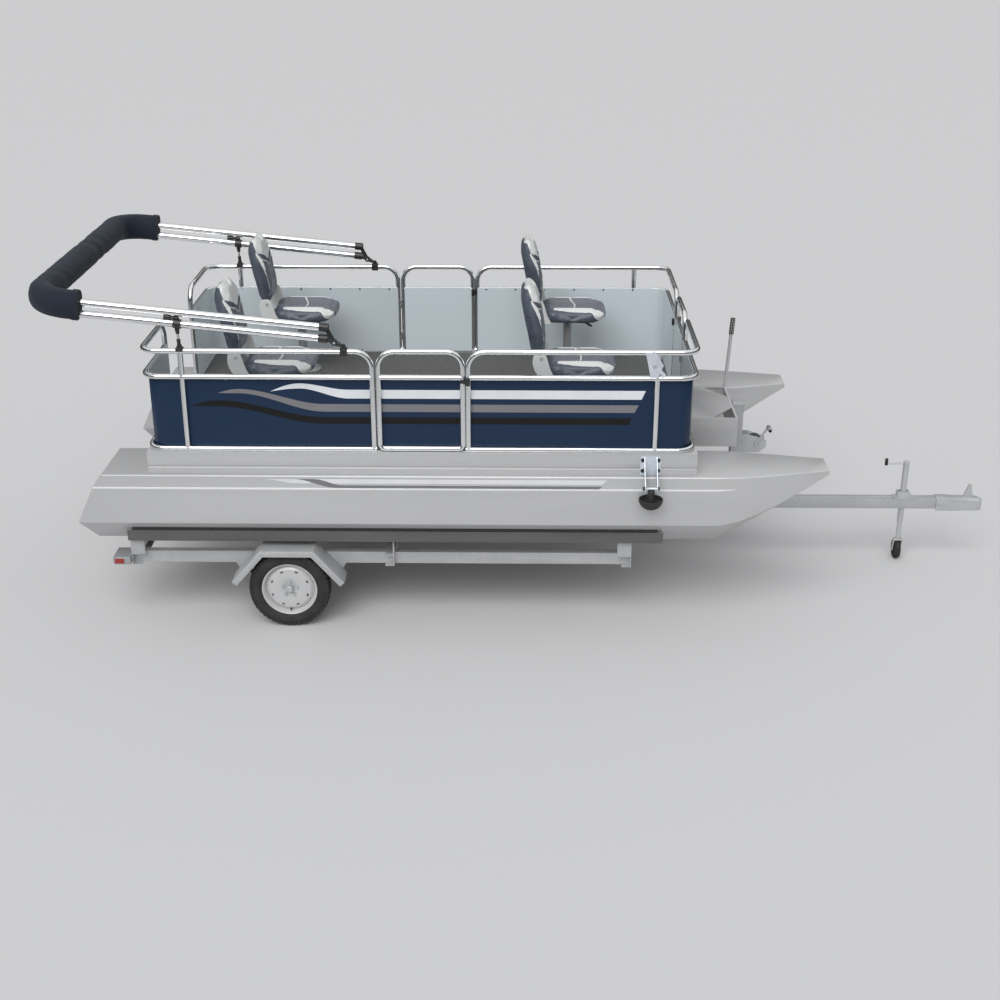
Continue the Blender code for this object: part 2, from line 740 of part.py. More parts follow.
def hinge_heights():
    """Where the two hinges of a gate stand."""
    foot = fence_foot()
    return [foot + (FENCE_MIDDLE - foot) * share for share in HINGE_HEIGHT_SHARES]


def hinge_half(axis_xy, post_xy, upper):
    """The knuckles of one leaf and the arms that reach its post, at both heights."""
    parts = []
    step = (KNUCKLE_LENGTH + GAP) / 2
    for height in hinge_heights():
        z = height + (step if upper else -step)
        parts.append(rod("z", (*axis_xy, 0), z - KNUCKLE_LENGTH / 2, z + KNUCKLE_LENGTH / 2,
                         KNUCKLE_RADIUS, 8))
        start, stop = Vector((*axis_xy, z)), Vector((*post_xy, z))
        across = (stop - start).normalized().cross(Vector((0, 0, 1))) * LEAF_THICKNESS / 2
        low, high = Vector((0, 0, -LEAF_HEIGHT / 2)), Vector((0, 0, LEAF_HEIGHT / 2))
        ring = [start + across + low, start + across + high,
                start - across + high, start - across + low]
        parts.append(skin([ring, [corner + stop - start for corner in ring]]))
    return parts


def side_hinge_axis(side):
    """The hinge axis of a side gate, inboard of the fence."""
    posts = gate_posts(SIDE_GATE_X)
    return (posts[0] + posts[1]) / 2, side * (FENCE_HALF_WIDTH - HINGE_OFFSET)


def bow_hinge_axis():
    """The bow gate's hinge axis, inboard of the fence."""
    posts = gate_posts(BOW_GATE_Y)
    return FENCE_HALF_LENGTH - HINGE_OFFSET, (posts[0] + posts[1]) / 2


def fence_panels():
    """Each panel's name, side, end, and how far to port its end return stops."""
    bow = gate_posts(BOW_GATE_Y)
    return (("starboard_aft", -1, -1, -STERN_OPENING_Y), ("starboard_fore", -1, 1, bow[0]),
            ("port_aft", 1, -1, STERN_OPENING_Y), ("port_fore", 1, 1, bow[3]))


def fence_panel(side, end, stop):
    """Bent top tube, middle and bottom tubes, a post and the hinge leaves."""
    foot = fence_foot()
    plan = fence_plan(side, end, stop)
    gate_end, corner, last = plan
    top_path = [Vector((*gate_end, foot)), *lifted(plan, FENCE_TOP), Vector((*last, foot))]
    parts = [tube(bent(top_path, (POST_BEND, FENCE_CORNER, POST_BEND)), TUBE_RADIUS)]
    parts.append(tube(bent(lifted(plan, FENCE_MIDDLE), FENCE_CORNER), TUBE_RADIUS))
    outward = -end * TUBE_RADIUS
    past = TUBE_RADIUS if stop < corner[1] else -TUBE_RADIUS
    foot_plan = [(gate_end[0] + outward, gate_end[1]), corner, (last[0], last[1] - past)]
    parts.append(tube(bent(lifted(foot_plan, foot), FENCE_CORNER), TUBE_RADIUS))
    post = (end * POST_X, side * FENCE_HALF_WIDTH)
    parts.append(tube((Vector((*post, foot)), Vector((*post, FENCE_TOP))), TUBE_RADIUS))
    if end < 0:
        parts += hinge_half(side_hinge_axis(side), gate_end, upper=False)
    elif side < 0:
        parts += hinge_half(bow_hinge_axis(), last, upper=False)
    if end < 0:
        parts += rail_mount(CANOPY_HINGE_X, side, CANOPY_HINGE_RISE, CANOPY_EYE_RADIUS,
                            CANOPY_EYE_WIDTH, pinned=True)
        parts += rail_mount(STRUT_X, side, strut_foot_rise(), STRUT_EYE_RADIUS,
                            STRUT_EYE_WIDTH, pinned=False)
    return fused(parts)


def sheet_band():
    """The heights between which the fence sheets stand."""
    return DECK_TOP + SHEET_LIFT, FENCE_MIDDLE + SHEET_LAP


def sheet_reach():
    """How far inboard of the tube centres a sheet's two faces lie."""
    near = TUBE_RADIUS + GAP
    return near, near + SHEET_THICKNESS


def fence_sheet(side, end, stop):
    """One bent sheet on the inner side of a fence panel."""
    plan = fence_plan(side, end, stop)
    path = [(point.x, point.y) for point in bent(lifted(plan, 0), FENCE_CORNER)]
    turn = -1 if side * end > 0 else 1
    near, far = (turn * reach for reach in sheet_reach())
    low, high = sheet_band()
    return wall(path, near, far, low, high)


def gate_frame(hinge, latch, inward, knuckle_axis):
    """A gate's looped tube and middle tube, its knuckles and its latch tongue."""
    foot = DECK_TOP + SWING_GAP + TUBE_RADIUS
    corners = [Vector((*hinge, foot)), Vector((*hinge, FENCE_TOP)),
               Vector((*latch, FENCE_TOP)), Vector((*latch, foot))]
    middle = (corners[0] + corners[3]) / 2
    path = bent([middle, *corners, middle], (GATE_FOOT_BEND, GATE_BEND, GATE_BEND, GATE_FOOT_BEND))
    parts = [tube(path[1:-1], TUBE_RADIUS, looped=True)]
    parts.append(tube((Vector((*hinge, FENCE_MIDDLE)), Vector((*latch, FENCE_MIDDLE))), TUBE_RADIUS))
    parts += hinge_half(knuckle_axis, hinge, upper=True)
    width = (Vector(latch) - Vector(hinge)).normalized()
    z = foot + (FENCE_MIDDLE - foot) * LATCH_HEIGHT_SHARE
    face = TUBE_RADIUS + LATCH_SPACE
    inset = OVERRUN / 2 - GATE_SHEET_INSET
    for start, reach, near, height in ((inset, LATCH_SIZE / 2, TUBE_RADIUS - OVERRUN, LATCH_SIZE),
                                       (0, LATCH_REACH, face, LATCH_SIZE / 2)):
        ends = (Vector(latch) + width * start + Vector(inward) * near,
                Vector(latch) + width * reach + Vector(inward) * (face + LATCH_DEPTH))
        low = [min(pair) for pair in zip(*ends)]
        high = [max(pair) for pair in zip(*ends)]
        parts.append(block((*low, z - height), (*high, z + height)))
    return fused(parts)


def gate_sheet(hinge, latch, inward):
    """The gate's flat sheet on its inner side."""
    width = (Vector(latch) - Vector(hinge)).normalized()
    near, far = sheet_reach()
    start = Vector(hinge) + width * GATE_SHEET_INSET + Vector(inward) * near
    stop = Vector(latch) - width * GATE_SHEET_INSET + Vector(inward) * far
    low = [min(pair) for pair in zip(start, stop)]
    high = [max(pair) for pair in zip(start, stop)]
    bottom, top = sheet_band()
    return block((*low, bottom + SWING_GAP), (*high, top))


def canopy_hinge(side):
    """The canopy's hinge point over a side rail."""
    return Vector((CANOPY_HINGE_X, side * FENCE_HALF_WIDTH, FENCE_TOP + CANOPY_HINGE_RISE))


def canopy_line(distance, lift):
    """A point of the canopy's side view, aft of the hinge along its tubes."""
    drop = math.radians(CANOPY_FITTING_DROP)
    slope = math.radians(CANOPY_SLOPE)
    start = Vector((-math.cos(drop), 0, math.sin(drop))) * CANOPY_FITTING_LENGTH
    return (canopy_hinge(0) + start + Vector((-math.cos(slope), 0, math.sin(slope))) * distance
            + Vector((math.sin(slope), 0, math.cos(slope))) * lift)


def canopy_bow(lift, reach, radius):
    """The path of one bow, from the starboard hinge round to the port one."""
    corner = canopy_line(reach, lift)
    near = canopy_line(0, lift)
    half = Vector((0, FENCE_HALF_WIDTH, 0))
    return bent([near - half, corner - half, corner + half, near + half], radius)


def canopy_frame():
    """Both bows, with the eye fittings that join them at each hinge."""
    lower, upper = 0, CANOPY_BOW_SPACE
    reach = CANOPY_REACH
    parts = [tube(canopy_bow(lower, reach, CANOPY_CORNER), CANOPY_TUBE_RADIUS, TUBE_SIDES),
             tube(canopy_bow(upper, reach, CANOPY_CORNER), CANOPY_TUBE_RADIUS, TUBE_SIDES)]
    cutters = []
    for side in (-1, 1):
        hinge = canopy_hinge(side)
        aside = Vector((0, side * FENCE_HALF_WIDTH, 0))
        low_end = canopy_line(OVERRUN, lower) + aside
        high_end = canopy_line(OVERRUN, upper) + aside
        fork = hinge + (low_end - hinge) * CANOPY_FORK_SHARE
        start = hinge + (low_end - hinge).normalized() * (CANOPY_EYE_RADIUS - OVERRUN)
        parts.append(tube((low_end, start), CANOPY_EYE_WIDTH / 2))
        parts.append(tube((high_end, fork), CANOPY_EYE_WIDTH / 2))
        run = (canopy_line(1, lower) - canopy_line(0, lower)).normalized()
        for end in (low_end, high_end):
            cuff = run * CANOPY_EYE_RADIUS
            parts.append(tube((end - cuff, end + cuff), CANOPY_TUBE_RADIUS + CANOPY_CUFF_WALL))
        parts.append(rod("y", hinge, -CANOPY_EYE_WIDTH / 2, CANOPY_EYE_WIDTH / 2, CANOPY_EYE_RADIUS))
        parts += canopy_clamp(side)
        cutters.append(bore("y", hinge, -CANOPY_EYE_WIDTH, CANOPY_EYE_WIDTH, CANOPY_PIN_RADIUS))
    return fused(parts, cutters)


def canopy_sleeve():
    """The oval sleeve of folded cloth that both bows run through."""
    lift = CANOPY_BOW_SPACE / 2
    path = canopy_bow(lift, CANOPY_REACH, CANOPY_CORNER)
    arm = CANOPY_REACH - SLEEVE_ARM
    half = Vector((0, FENCE_HALF_WIDTH, 0))
    path[0] = canopy_line(arm, lift) - half
    path[-1] = canopy_line(arm, lift) + half
    body = skin(canopy_ring(path, SLEEVE_WIDTH, SLEEVE_HEIGHT))
    bows = [tube(canopy_bow(level, CANOPY_REACH, CANOPY_CORNER), CANOPY_TUBE_RADIUS + GAP)
            for level in (0, CANOPY_BOW_SPACE)]
    return fused([body], bows)


def canopy_ring(path, half_width, half_height):
    """Mitred oval rings along the canopy's path."""
    heading = (path[1] - path[0]).normalized()
    side = heading.cross(Vector((0, 0, 1))).normalized()
    up = side.cross(heading)
    ring = []
    for step in range(ROUND_SIDES):
        angle = 2 * math.pi * (step + 0.5) / ROUND_SIDES
        ring.append(path[0] + side * half_width * math.cos(angle) + up * half_height * math.sin(angle))
    return mitred(path, ring)


def strut_foot_rise():
    """How far above the rail a strut's foot eye stands in its mount."""
    return TUBE_RADIUS + MOUNT_WALL + STRUT_EYE_RADIUS + GAP


def rail_mount(x, side, rise, eye_radius, eye_width, pinned):
    """A clamp on the side rail with two ears that take an eye between them, on a pin or loose."""
    outer = TUBE_RADIUS + MOUNT_WALL
    y = side * FENCE_HALF_WIDTH
    low = FENCE_TOP - outer if pinned else FENCE_TOP
    parts = [block((x - MOUNT_LENGTH / 2, y - outer, low),
                   (x + MOUNT_LENGTH / 2, y + outer, FENCE_TOP + outer))]
    slot = eye_width / 2 + GAP
    for ear in (-1, 1):
        edges = sorted((y + ear * slot, y + ear * (slot + MOUNT_EAR)))
        parts.append(block((x - eye_radius, edges[0], FENCE_TOP + outer - OVERRUN),
                           (x + eye_radius, edges[1], FENCE_TOP + rise + eye_radius)))
    if pinned:
        reach = slot + MOUNT_EAR / 2
        parts.append(rod("y", (x, y, FENCE_TOP + rise), -reach, reach, CANOPY_PIN_RADIUS))
    return parts


def canopy_knuckle(side):
    """Where a strut's upper pin crosses, under the canopy's lower tube."""
    run = (canopy_line(0, 0).x - STRUT_X) / math.cos(math.radians(CANOPY_SLOPE))
    return canopy_line(run, -KNUCKLE_EAR_DROP) + Vector((0, side * FENCE_HALF_WIDTH, 0))


def canopy_clamp(side):
    """The collar on the lower tube with the ears and pin of a strut."""
    pin = canopy_knuckle(side)
    along_tube = (canopy_line(1, 0) - canopy_line(0, 0)).normalized() * KNUCKLE_CLAMP_LENGTH / 2
    centre = pin + (canopy_line(0, KNUCKLE_EAR_DROP) - canopy_line(0, 0))
    parts = [tube((centre - along_tube, centre + along_tube), KNUCKLE_CLAMP_RADIUS)]
    slot = STRUT_EYE_WIDTH / 2 + GAP
    for ear in (-1, 1):
        edges = sorted((pin.y + ear * slot, pin.y + ear * (slot + MOUNT_EAR)))
        parts.append(block((pin.x - STRUT_EYE_RADIUS, edges[0], pin.z - STRUT_EYE_RADIUS),
                           (pin.x + STRUT_EYE_RADIUS, edges[1], centre.z - CANOPY_TUBE_RADIUS / 2)))
    reach = slot + MOUNT_EAR / 2
    parts.append(rod("y", pin, -reach, reach, STRUT_PIN_RADIUS))
    return parts


def canopy_strut(side):
    """A short strut from the canopy's collar down to its foot in the rail's mount."""
    top = canopy_knuckle(side)
    foot = Vector((STRUT_X, top.y, FENCE_TOP + strut_foot_rise()))
    half = STRUT_EYE_WIDTH / 2
    parts = [rod("y", top, -half, half, STRUT_EYE_RADIUS),
             rod("y", foot, -half, half, STRUT_EYE_RADIUS),
             tube((foot, top), STRUT_EYE_WIDTH / 2)]
    middle = foot + (top - foot).normalized() * 2 * STRUT_EYE_RADIUS
    parts.append(tube((middle, top - (middle - foot)), STRUT_RADIUS))
    return fused(parts, [bore("y", top, -half - OVERRUN, half + OVERRUN, STRUT_PIN_RADIUS)])


def rounded_plan(back, front, half, corner):
    """A rectangle in plan with rounded corners."""
    points = [Vector((x, y, 0)) for x, y in
              ((front, 0), (front, half), (back, half), (back, -half), (front, -half), (front, 0))]
    return [(point.x, point.y) for point in bent(points, corner)[1:-1]]


def seat_levels():
    """Heights of a seat's shell, cushion foot, cushion top and back hinge."""
    shell = DECK_TOP + PEDESTAL_HEIGHT + SWIVEL_SPACE + SWIVEL_THICKNESS
    foot = shell + SHELL_THICKNESS
    top = foot + CUSHION_THICKNESS
    return shell, foot, top, top + BACK_HINGE_RISE


def seat_shell(x, y):
    """Swivel plate, seat shell with its cushion, and the two arms of the back's hinge."""
    shell, foot, top, hinge = seat_levels()
    swivel = shell - SWIVEL_THICKNESS
    plan = rounded_plan(x - CUSHION_BACK, x + CUSHION_FRONT, CUSHION_HALF_WIDTH, CUSHION_CORNER)
    plan = [(px, py + y) for px, py in plan]
    parts = [rod("z", (x, y, 0), swivel, shell + OVERRUN, SWIVEL_RADIUS, FINE_SIDES)]
    crown = SHELL_THICKNESS / 2
    tight = rounded_plan(x - CUSHION_BACK + crown, x + CUSHION_FRONT - crown,
                         CUSHION_HALF_WIDTH - crown, CUSHION_CORNER - crown)
    tight = [(px, py + y) for px, py in tight]
    rings = [(tight, shell), (plan, foot), (plan, top - crown), (tight, top)]
    parts.append(skin([[Vector((px, py, z)) for px, py in ring] for ring, z in rings]))
    inner = BACK_HALF_WIDTH + ARM_SPACE
    axle = x - BACK_HINGE_BACK
    for side in (-1, 1):
        edges = sorted((y + side * inner, y + side * (inner + ARM_THICKNESS)))
        outline = ((axle - ARM_WIDTH / 2, hinge + ARM_WIDTH / 2),
                   (axle + ARM_WIDTH / 2, hinge + ARM_WIDTH / 2),
                   (axle + ARM_LENGTH, foot + crown), (axle + ARM_LENGTH, foot),
                   (axle, shell), (axle - ARM_WIDTH / 2, foot))
        parts.append(prism(outline, "y", edges[0], edges[1]))
        reach = sorted((y + side * (inner + OVERRUN), y + side * (inner - 2 * ARM_SPACE)))
        parts.append(rod("y", (axle, 0, hinge), reach[0], reach[1], ARM_PIN_RADIUS))
    return fused(parts)


def seat_back(x, y):
    """The folding back: a rounded pad that leans aft, bored for the arms' pins."""
    hinge = seat_levels()[3]
    axle = x - BACK_HINGE_BACK
    half = BACK_HALF_WIDTH
    shoulder = half * BACK_SHOULDER_SHARE
    corners = ((0, -BACK_BELOW), (half, -BACK_BELOW), (half, BACK_LENGTH / 2),
               (shoulder, BACK_LENGTH), (-shoulder, BACK_LENGTH), (-half, BACK_LENGTH / 2),
               (-half, -BACK_BELOW), (0, -BACK_BELOW))
    radii = (BACK_CORNER / 2, BACK_CORNER, BACK_CORNER, BACK_CORNER, BACK_CORNER, BACK_CORNER / 2)
    path = bent([Vector((across, up, 0)) for across, up in corners], radii, 3)[1:-1]
    lean = Matrix.Rotation(-math.radians(BACK_LEAN), 3, "Y")
    crown = BACK_DEPTH / 5
    aft_face = BACK_FRONT_FACE - BACK_DEPTH
    rings = []
    for depth, inset in ((BACK_FRONT_FACE, crown), (BACK_FRONT_FACE - crown, 0),
                         (aft_face + crown, 0), (aft_face, crown)):
        ring = []
        for point in path:
            across = point.x * (1 - inset / half)
            up = point.y + (inset if point.y < BACK_LENGTH / 2 else -inset) * abs(point.y) / BACK_LENGTH
            ring.append(Vector((axle, y, hinge)) + lean @ Vector((depth, across, up)))
        rings.append(ring)
    cutters = []
    for side in (-1, 1):
        reach = sorted((side * (half + OVERRUN), side * (half - 2 * ARM_SPACE)))
        cutters.append(bore("y", (axle, y, hinge), reach[0], reach[1], ARM_PIN_RADIUS))
    return fused([skin(rings)], cutters)


def anchor_davit():
    """The bracket on the deck's edge with two arms, a cross pin and the anchor's collar."""
    wall_y = -DECK_HALF_WIDTH - GAP
    low, high = DAVIT_X - DAVIT_HALF_WIDTH, DAVIT_X + DAVIT_HALF_WIDTH
    plate_foot = PONTOON_TOP + DECK_GROOVE_HEIGHT
    parts = [block((low, wall_y - DAVIT_PLATE, plate_foot), (high, wall_y, DAVIT_TOP))]
    outer = wall_y - DAVIT_REACH - DAVIT_ARM_DEPTH / 2
    shoulder = -PONTOON_Y - PONTOON_HALF_WIDTH - 2 * OVERRUN
    for side in (-1, 1):
        x = DAVIT_X + side * DAVIT_ARM_SPACE - DAVIT_PLATE / 2
        outline = ((wall_y - DAVIT_PLATE / 2, DAVIT_TOP),
                   (wall_y - DAVIT_PLATE / 2, plate_foot + OVERRUN),
                   (shoulder, plate_foot + OVERRUN),
                   (outer + DAVIT_ARM_DEPTH, DAVIT_FOOT), (outer, DAVIT_FOOT),
                   (outer, DAVIT_FOOT + DAVIT_ARM_DEPTH))
        parts.append(prism(outline, "x", x, x + DAVIT_PLATE))
    pin_y = outer + DAVIT_ARM_DEPTH / 2
    pin_z = DAVIT_FOOT + DAVIT_ARM_DEPTH / 2
    reach = DAVIT_ARM_SPACE + DAVIT_PLATE + OVERRUN
    parts.append(rod("x", (0, pin_y, pin_z), DAVIT_X - reach, DAVIT_X + reach, DAVIT_PIN_RADIUS, 8))
    return fused(parts)


def anchor():
    """A mushroom anchor: a round cup, open upwards, on a shank that goes down into it."""
    y = -DECK_HALF_WIDTH - GAP - DAVIT_REACH
    top = DAVIT_FOOT + DAVIT_ARM_DEPTH / 2 - DAVIT_PIN_RADIUS - GAP
    brim = top - ANCHOR_SHANK_LENGTH
    profile = [(top, 0), (top, ANCHOR_SHANK_RADIUS)]
    for radius, depth, sign in ((ANCHOR_BOWL_RADIUS - ANCHOR_WALL, ANCHOR_BOWL_DEPTH - ANCHOR_WALL, 1),
                                (ANCHOR_BOWL_RADIUS, ANCHOR_BOWL_DEPTH, -1)):
        arc = []
        for step in range(ANCHOR_STEPS + 1):
            angle = math.pi / 2 * step / ANCHOR_STEPS
            arc.append((brim - depth * math.cos(angle), radius * math.sin(angle)))
        inner = [point for point in arc if point[1] > ANCHOR_SHANK_RADIUS]
        profile += [(inner[0][0], ANCHOR_SHANK_RADIUS)] + inner if sign > 0 else arc[::-1]
    return turned(profile, "z", (DAVIT_X, y, 0), ANCHOR_SIDES)


def rope_lock():
    """The three-cornered plate outside the fence that holds the anchor's rope, and its lever."""
    y = -FENCE_HALF_WIDTH - TUBE_RADIUS - GAP
    low = FENCE_TOP - LOCK_HEIGHT
    left, right = DAVIT_X - LOCK_WIDTH / 2, DAVIT_X + LOCK_WIDTH / 2
    outline = ((left, FENCE_TOP), (DAVIT_X, FENCE_TOP + TUBE_RADIUS),
               (right, FENCE_TOP - LOCK_HEIGHT / 2),
               (DAVIT_X + LOCK_LEVER_WIDTH, low), (DAVIT_X - LOCK_LEVER_WIDTH, low))
    parts = [prism(outline, "y", y - LOCK_THICKNESS, y)]
    pin = Vector((DAVIT_X, 0, FENCE_TOP - LOCK_HEIGHT / 2))
    parts.append(rod("y", pin, y - 3 * LOCK_THICKNESS, y - LOCK_THICKNESS / 2, LOCK_PIN_RADIUS))
    lever = Vector((1, 0, -1)).normalized()
    across = Vector((1, 0, 1)).normalized() * LOCK_LEVER_WIDTH / 2
    ends = [pin - lever * LOCK_PIN_RADIUS, pin + lever * LOCK_LEVER]
    outline = [(ends[0] - across), (ends[1] - across), (ends[1] + across), (ends[0] + across)]
    parts.append(prism([(point.x, point.z) for point in outline], "y",
                       y - 2 * LOCK_THICKNESS, y - LOCK_THICKNESS + OVERRUN / 2))
    return fused(parts)


def channel(web, towards, low, high, flange, thickness):
    """The outline of a channel: its web at one place and its flanges to one side."""
    inner, edge = web + towards * thickness, web + towards * flange
    return ((web, low), (edge, low), (edge, low + thickness), (inner, low + thickness),
            (inner, high - thickness), (edge, high - thickness), (edge, high), (web, high))


def trailer_frame():
    """Rails, cross beams, tongue, bunk uprights and spring hangers, welded together."""
    low = FRAME_TOP - FRAME_HEIGHT
    parts = []
    for side in (-1, 1):
        outline = channel(side * RAIL_OUTER_Y, -side, low, FRAME_TOP, RAIL_WIDTH, FRAME_WALL)
        parts.append(prism(outline, "x", REAR_BEAM_X + FRAME_WALL / 2, FRONT_BEAM_X - FRAME_WALL / 2))
    for web, towards in ((REAR_BEAM_X, 1), (MIDDLE_BEAM_X, -1), (FRONT_BEAM_X, -1)):
        outline = channel(web, towards, low, FRAME_TOP, BEAM_FLANGE, FRAME_WALL)
        parts.append(prism(outline, "y", -BEAM_HALF_LENGTH, BEAM_HALF_LENGTH))
        for side in (-1, 1):
            edges = sorted((side * BEAM_HALF_LENGTH, side * (BEAM_HALF_LENGTH - UPRIGHT_PLATE)))
            reach = UPRIGHT_PLATE if web == MIDDLE_BEAM_X else UPRIGHT_WIDTH
            spread = sorted((web, web + towards * reach))
            parts.append(block((spread[0], edges[0], FRAME_TOP - FRAME_WALL / 2),
                               (spread[1], edges[1], BUNK_FOOT_Z - GAP)))
            foot = sorted((side * BEAM_HALF_LENGTH, side * (BEAM_HALF_LENGTH - RAIL_WIDTH)))
            thin = sorted((web, web + towards * UPRIGHT_PLATE))
            parts.append(block((thin[0], foot[0], FRAME_TOP - FRAME_WALL / 2),
                               (thin[1], foot[1], BUNK_FOOT_Z - GAP)))
    parts.append(block((MIDDLE_BEAM_X - BEAM_FLANGE, -TONGUE_HALF_WIDTH, FRAME_TOP - TONGUE_HEIGHT),
                       (TONGUE_END_X, TONGUE_HALF_WIDTH, FRAME_TOP - GAP)))
    eye = spring_eye()
    for side in (-1, 1):
        for end in (-1, 1):
            x = AXLE_X + end * SPRING_HALF_LENGTH
            for y in (RAIL_OUTER_Y, RAIL_OUTER_Y - RAIL_WIDTH + HANGER_PLATE):
                edges = sorted((side * y, side * (y - HANGER_PLATE)))
                outline = ((x - HANGER_WIDTH, low + OVERRUN), (x + HANGER_WIDTH, low + OVERRUN),
                           (x + SPRING_EYE_RADIUS, eye - SPRING_EYE_RADIUS),
                           (x - SPRING_EYE_RADIUS, eye - SPRING_EYE_RADIUS))
                parts.append(prism(outline, "y", edges[0], edges[1]))
    hole = rod("z", (JACK_X, 0, 0), low - OVERRUN, FRAME_TOP + OVERRUN, JACK_RADIUS + GAP, FINE_SIDES)
    return fused(parts, [hole])


def spring_eye():
    """The height of the leaf springs' eyes."""
    return TYRE_RADIUS + AXLE_HALF + SPRING_THICKNESS / 2 + SPRING_RISE


def axle():
    """The square axle beam with its spindles and both leaf springs."""
    spring_y = RAIL_OUTER_Y - RAIL_WIDTH / 2
    half = RAIL_WIDTH / 2 - HANGER_PLATE - GAP
    beam = spring_y + half
    parts = [block((AXLE_X - AXLE_HALF, -beam, TYRE_RADIUS - AXLE_HALF),
                   (AXLE_X + AXLE_HALF, beam, TYRE_RADIUS + AXLE_HALF))]
    hub = TYRE_FACE_Y - TYRE_HALF_WIDTH
    tip = hub + DISC_OUT - DISC_WALL - 3 * SPINDLE_CLEARANCE
    for side in (-1, 1):
        reach = sorted((side * (beam - OVERRUN), side * tip))
        parts.append(rod("y", (AXLE_X, 0, TYRE_RADIUS), reach[0], reach[1], SPINDLE_RADIUS,
                         FINE_SIDES))
        base = TYRE_RADIUS + AXLE_HALF - OVERRUN / 2
        steps = [share / 4 for share in range(-4, 5)]
        lower = [(AXLE_X + s * SPRING_HALF_LENGTH, base + SPRING_RISE * s * s) for s in steps]
        upper = [(x, z + SPRING_THICKNESS - abs(s) * SPRING_THICKNESS / 2)
                 for (x, z), s in zip(lower, steps)]
        parts.append(prism(lower + upper[::-1], "y", side * spring_y - half, side * spring_y + half))
        for end in (-1, 1):
            centre = (AXLE_X + end * SPRING_HALF_LENGTH, side * spring_y, spring_eye())
            parts.append(rod("y", centre, -half, half, SPRING_EYE_RADIUS))
    return fused(parts)


def tyre(side):
    """A plain tyre: beads over the rim's flanges, round walls and a crowned tread."""
    centre = (AXLE_X, side * (TYRE_FACE_Y - TYRE_HALF_WIDTH), TYRE_RADIUS)
    flange = BEAD_RADIUS + FLANGE_HEIGHT + 4 * GAP
    section = TYRE_RADIUS - flange
    half = [(BEAD_HALF_WIDTH, BEAD_RADIUS), (BEAD_HALF_WIDTH, flange)]
    half += [(TYRE_HALF_WIDTH * width, flange + section * height) for width, height in WALL_SHARES]
    profile = [*half, *((-distance, radius) for distance, radius in reversed(half))]
    return turned(profile, "y", centre, TYRE_SIDES)


def rim(side):
    """Flanged rim, dished disc with its ring of slots, and the hub with its cap."""
    centre = (AXLE_X, side * (TYRE_FACE_Y - TYRE_HALF_WIDTH), TYRE_RADIUS)
    seat = BEAD_RADIUS - GAP
    edge = BEAD_RADIUS + FLANGE_HEIGHT
    near = BEAD_HALF_WIDTH + GAP
    out = near + FLANGE_THICKNESS
    bore = SPINDLE_RADIUS + SPINDLE_CLEARANCE
    profile = (
        (HUB_OUT, 0), (HUB_OUT, HUB_CAP_RADIUS), (DISC_OUT + DISC_WALL / 2, HUB_RADIUS * 1.5),
        (DISC_OUT + DISC_WALL, SLOT_RADIUS), (DISC_OUT - DISC_WALL, seat - 3 * RIM_WALL),
        (out, seat + RIM_WALL), (out, edge), (near, edge), (near, seat),
        (-near, seat), (-near, edge), (-out, edge), (-out, seat + RIM_WALL),
        (DISC_OUT - 2.5 * DISC_WALL, seat - 2 * RIM_WALL), (DISC_OUT, SLOT_RADIUS),
        (DISC_OUT - DISC_WALL, HUB_RADIUS), (-HUB_IN, HUB_RADIUS), (-HUB_IN, bore),
        (DISC_OUT - DISC_WALL, bore), (DISC_OUT - DISC_WALL, 0),
    )
    body = turned([(side * distance, radius) for distance, radius in profile], "y", centre, TYRE_SIDES)
    cutters = []
    for index in range(SLOT_COUNT):
        angle = 2 * math.pi * (index + 0.25) / SLOT_COUNT
        spin = Matrix.Rotation(angle, 3, "Y")
        slot = block((SLOT_RADIUS - SLOT_LENGTH / 2, -HUB_IN, -SLOT_WIDTH / 2),
                     (SLOT_RADIUS + SLOT_LENGTH / 2, HUB_OUT, SLOT_WIDTH / 2))
        bmesh.ops.rotate(slot, verts=slot.verts, matrix=spin, cent=(0, 0, 0))
        bmesh.ops.translate(slot, verts=slot.verts, vec=centre)
        cutters.append(slot)
    return fused([body], cutters)


def fender(side):
    """A plate bent over the wheel with a turned-down outer lip and two stays on the rail."""
    outer, inner = side * FENDER_OUTER_Y, side * (RAIL_OUTER_Y + GAP)
    lip = outer - side * FENDER_PLATE
    path = [Vector((AXLE_X + half, 0, z)) for half, z in
            ((FENDER_FOOT_HALF, FENDER_FOOT_Z), (FENDER_TOP_HALF, FENDER_TOP),
             (-FENDER_TOP_HALF, FENDER_TOP), (-FENDER_FOOT_HALF, FENDER_FOOT_Z))]
    inward = Vector((0, 1, 0)).cross((path[1] - path[0]).normalized())
    section = ((outer, 0), (outer, FENDER_LIP), (lip, FENDER_LIP), (lip, FENDER_PLATE),
               (inner, FENDER_PLATE), (inner, 0))
    ring = [path[0] + Vector((0, y, 0)) - inward * depth for y, depth in section]
    parts = [skin(mitred(path, ring))]
    stay = sorted((side * (RAIL_OUTER_Y - FENDER_STAY), inner + side * OVERRUN))
    for end in (-1, 1):
        x = AXLE_X + end * FENDER_TOP_HALF * FENDER_STAY_SHARE
        parts.append(block((x - FENDER_STAY / 2, stay[0], FRAME_TOP + GAP),
                           (x + FENDER_STAY / 2, stay[1], FENDER_TOP - FENDER_PLATE / 2)))
    return fused(parts)


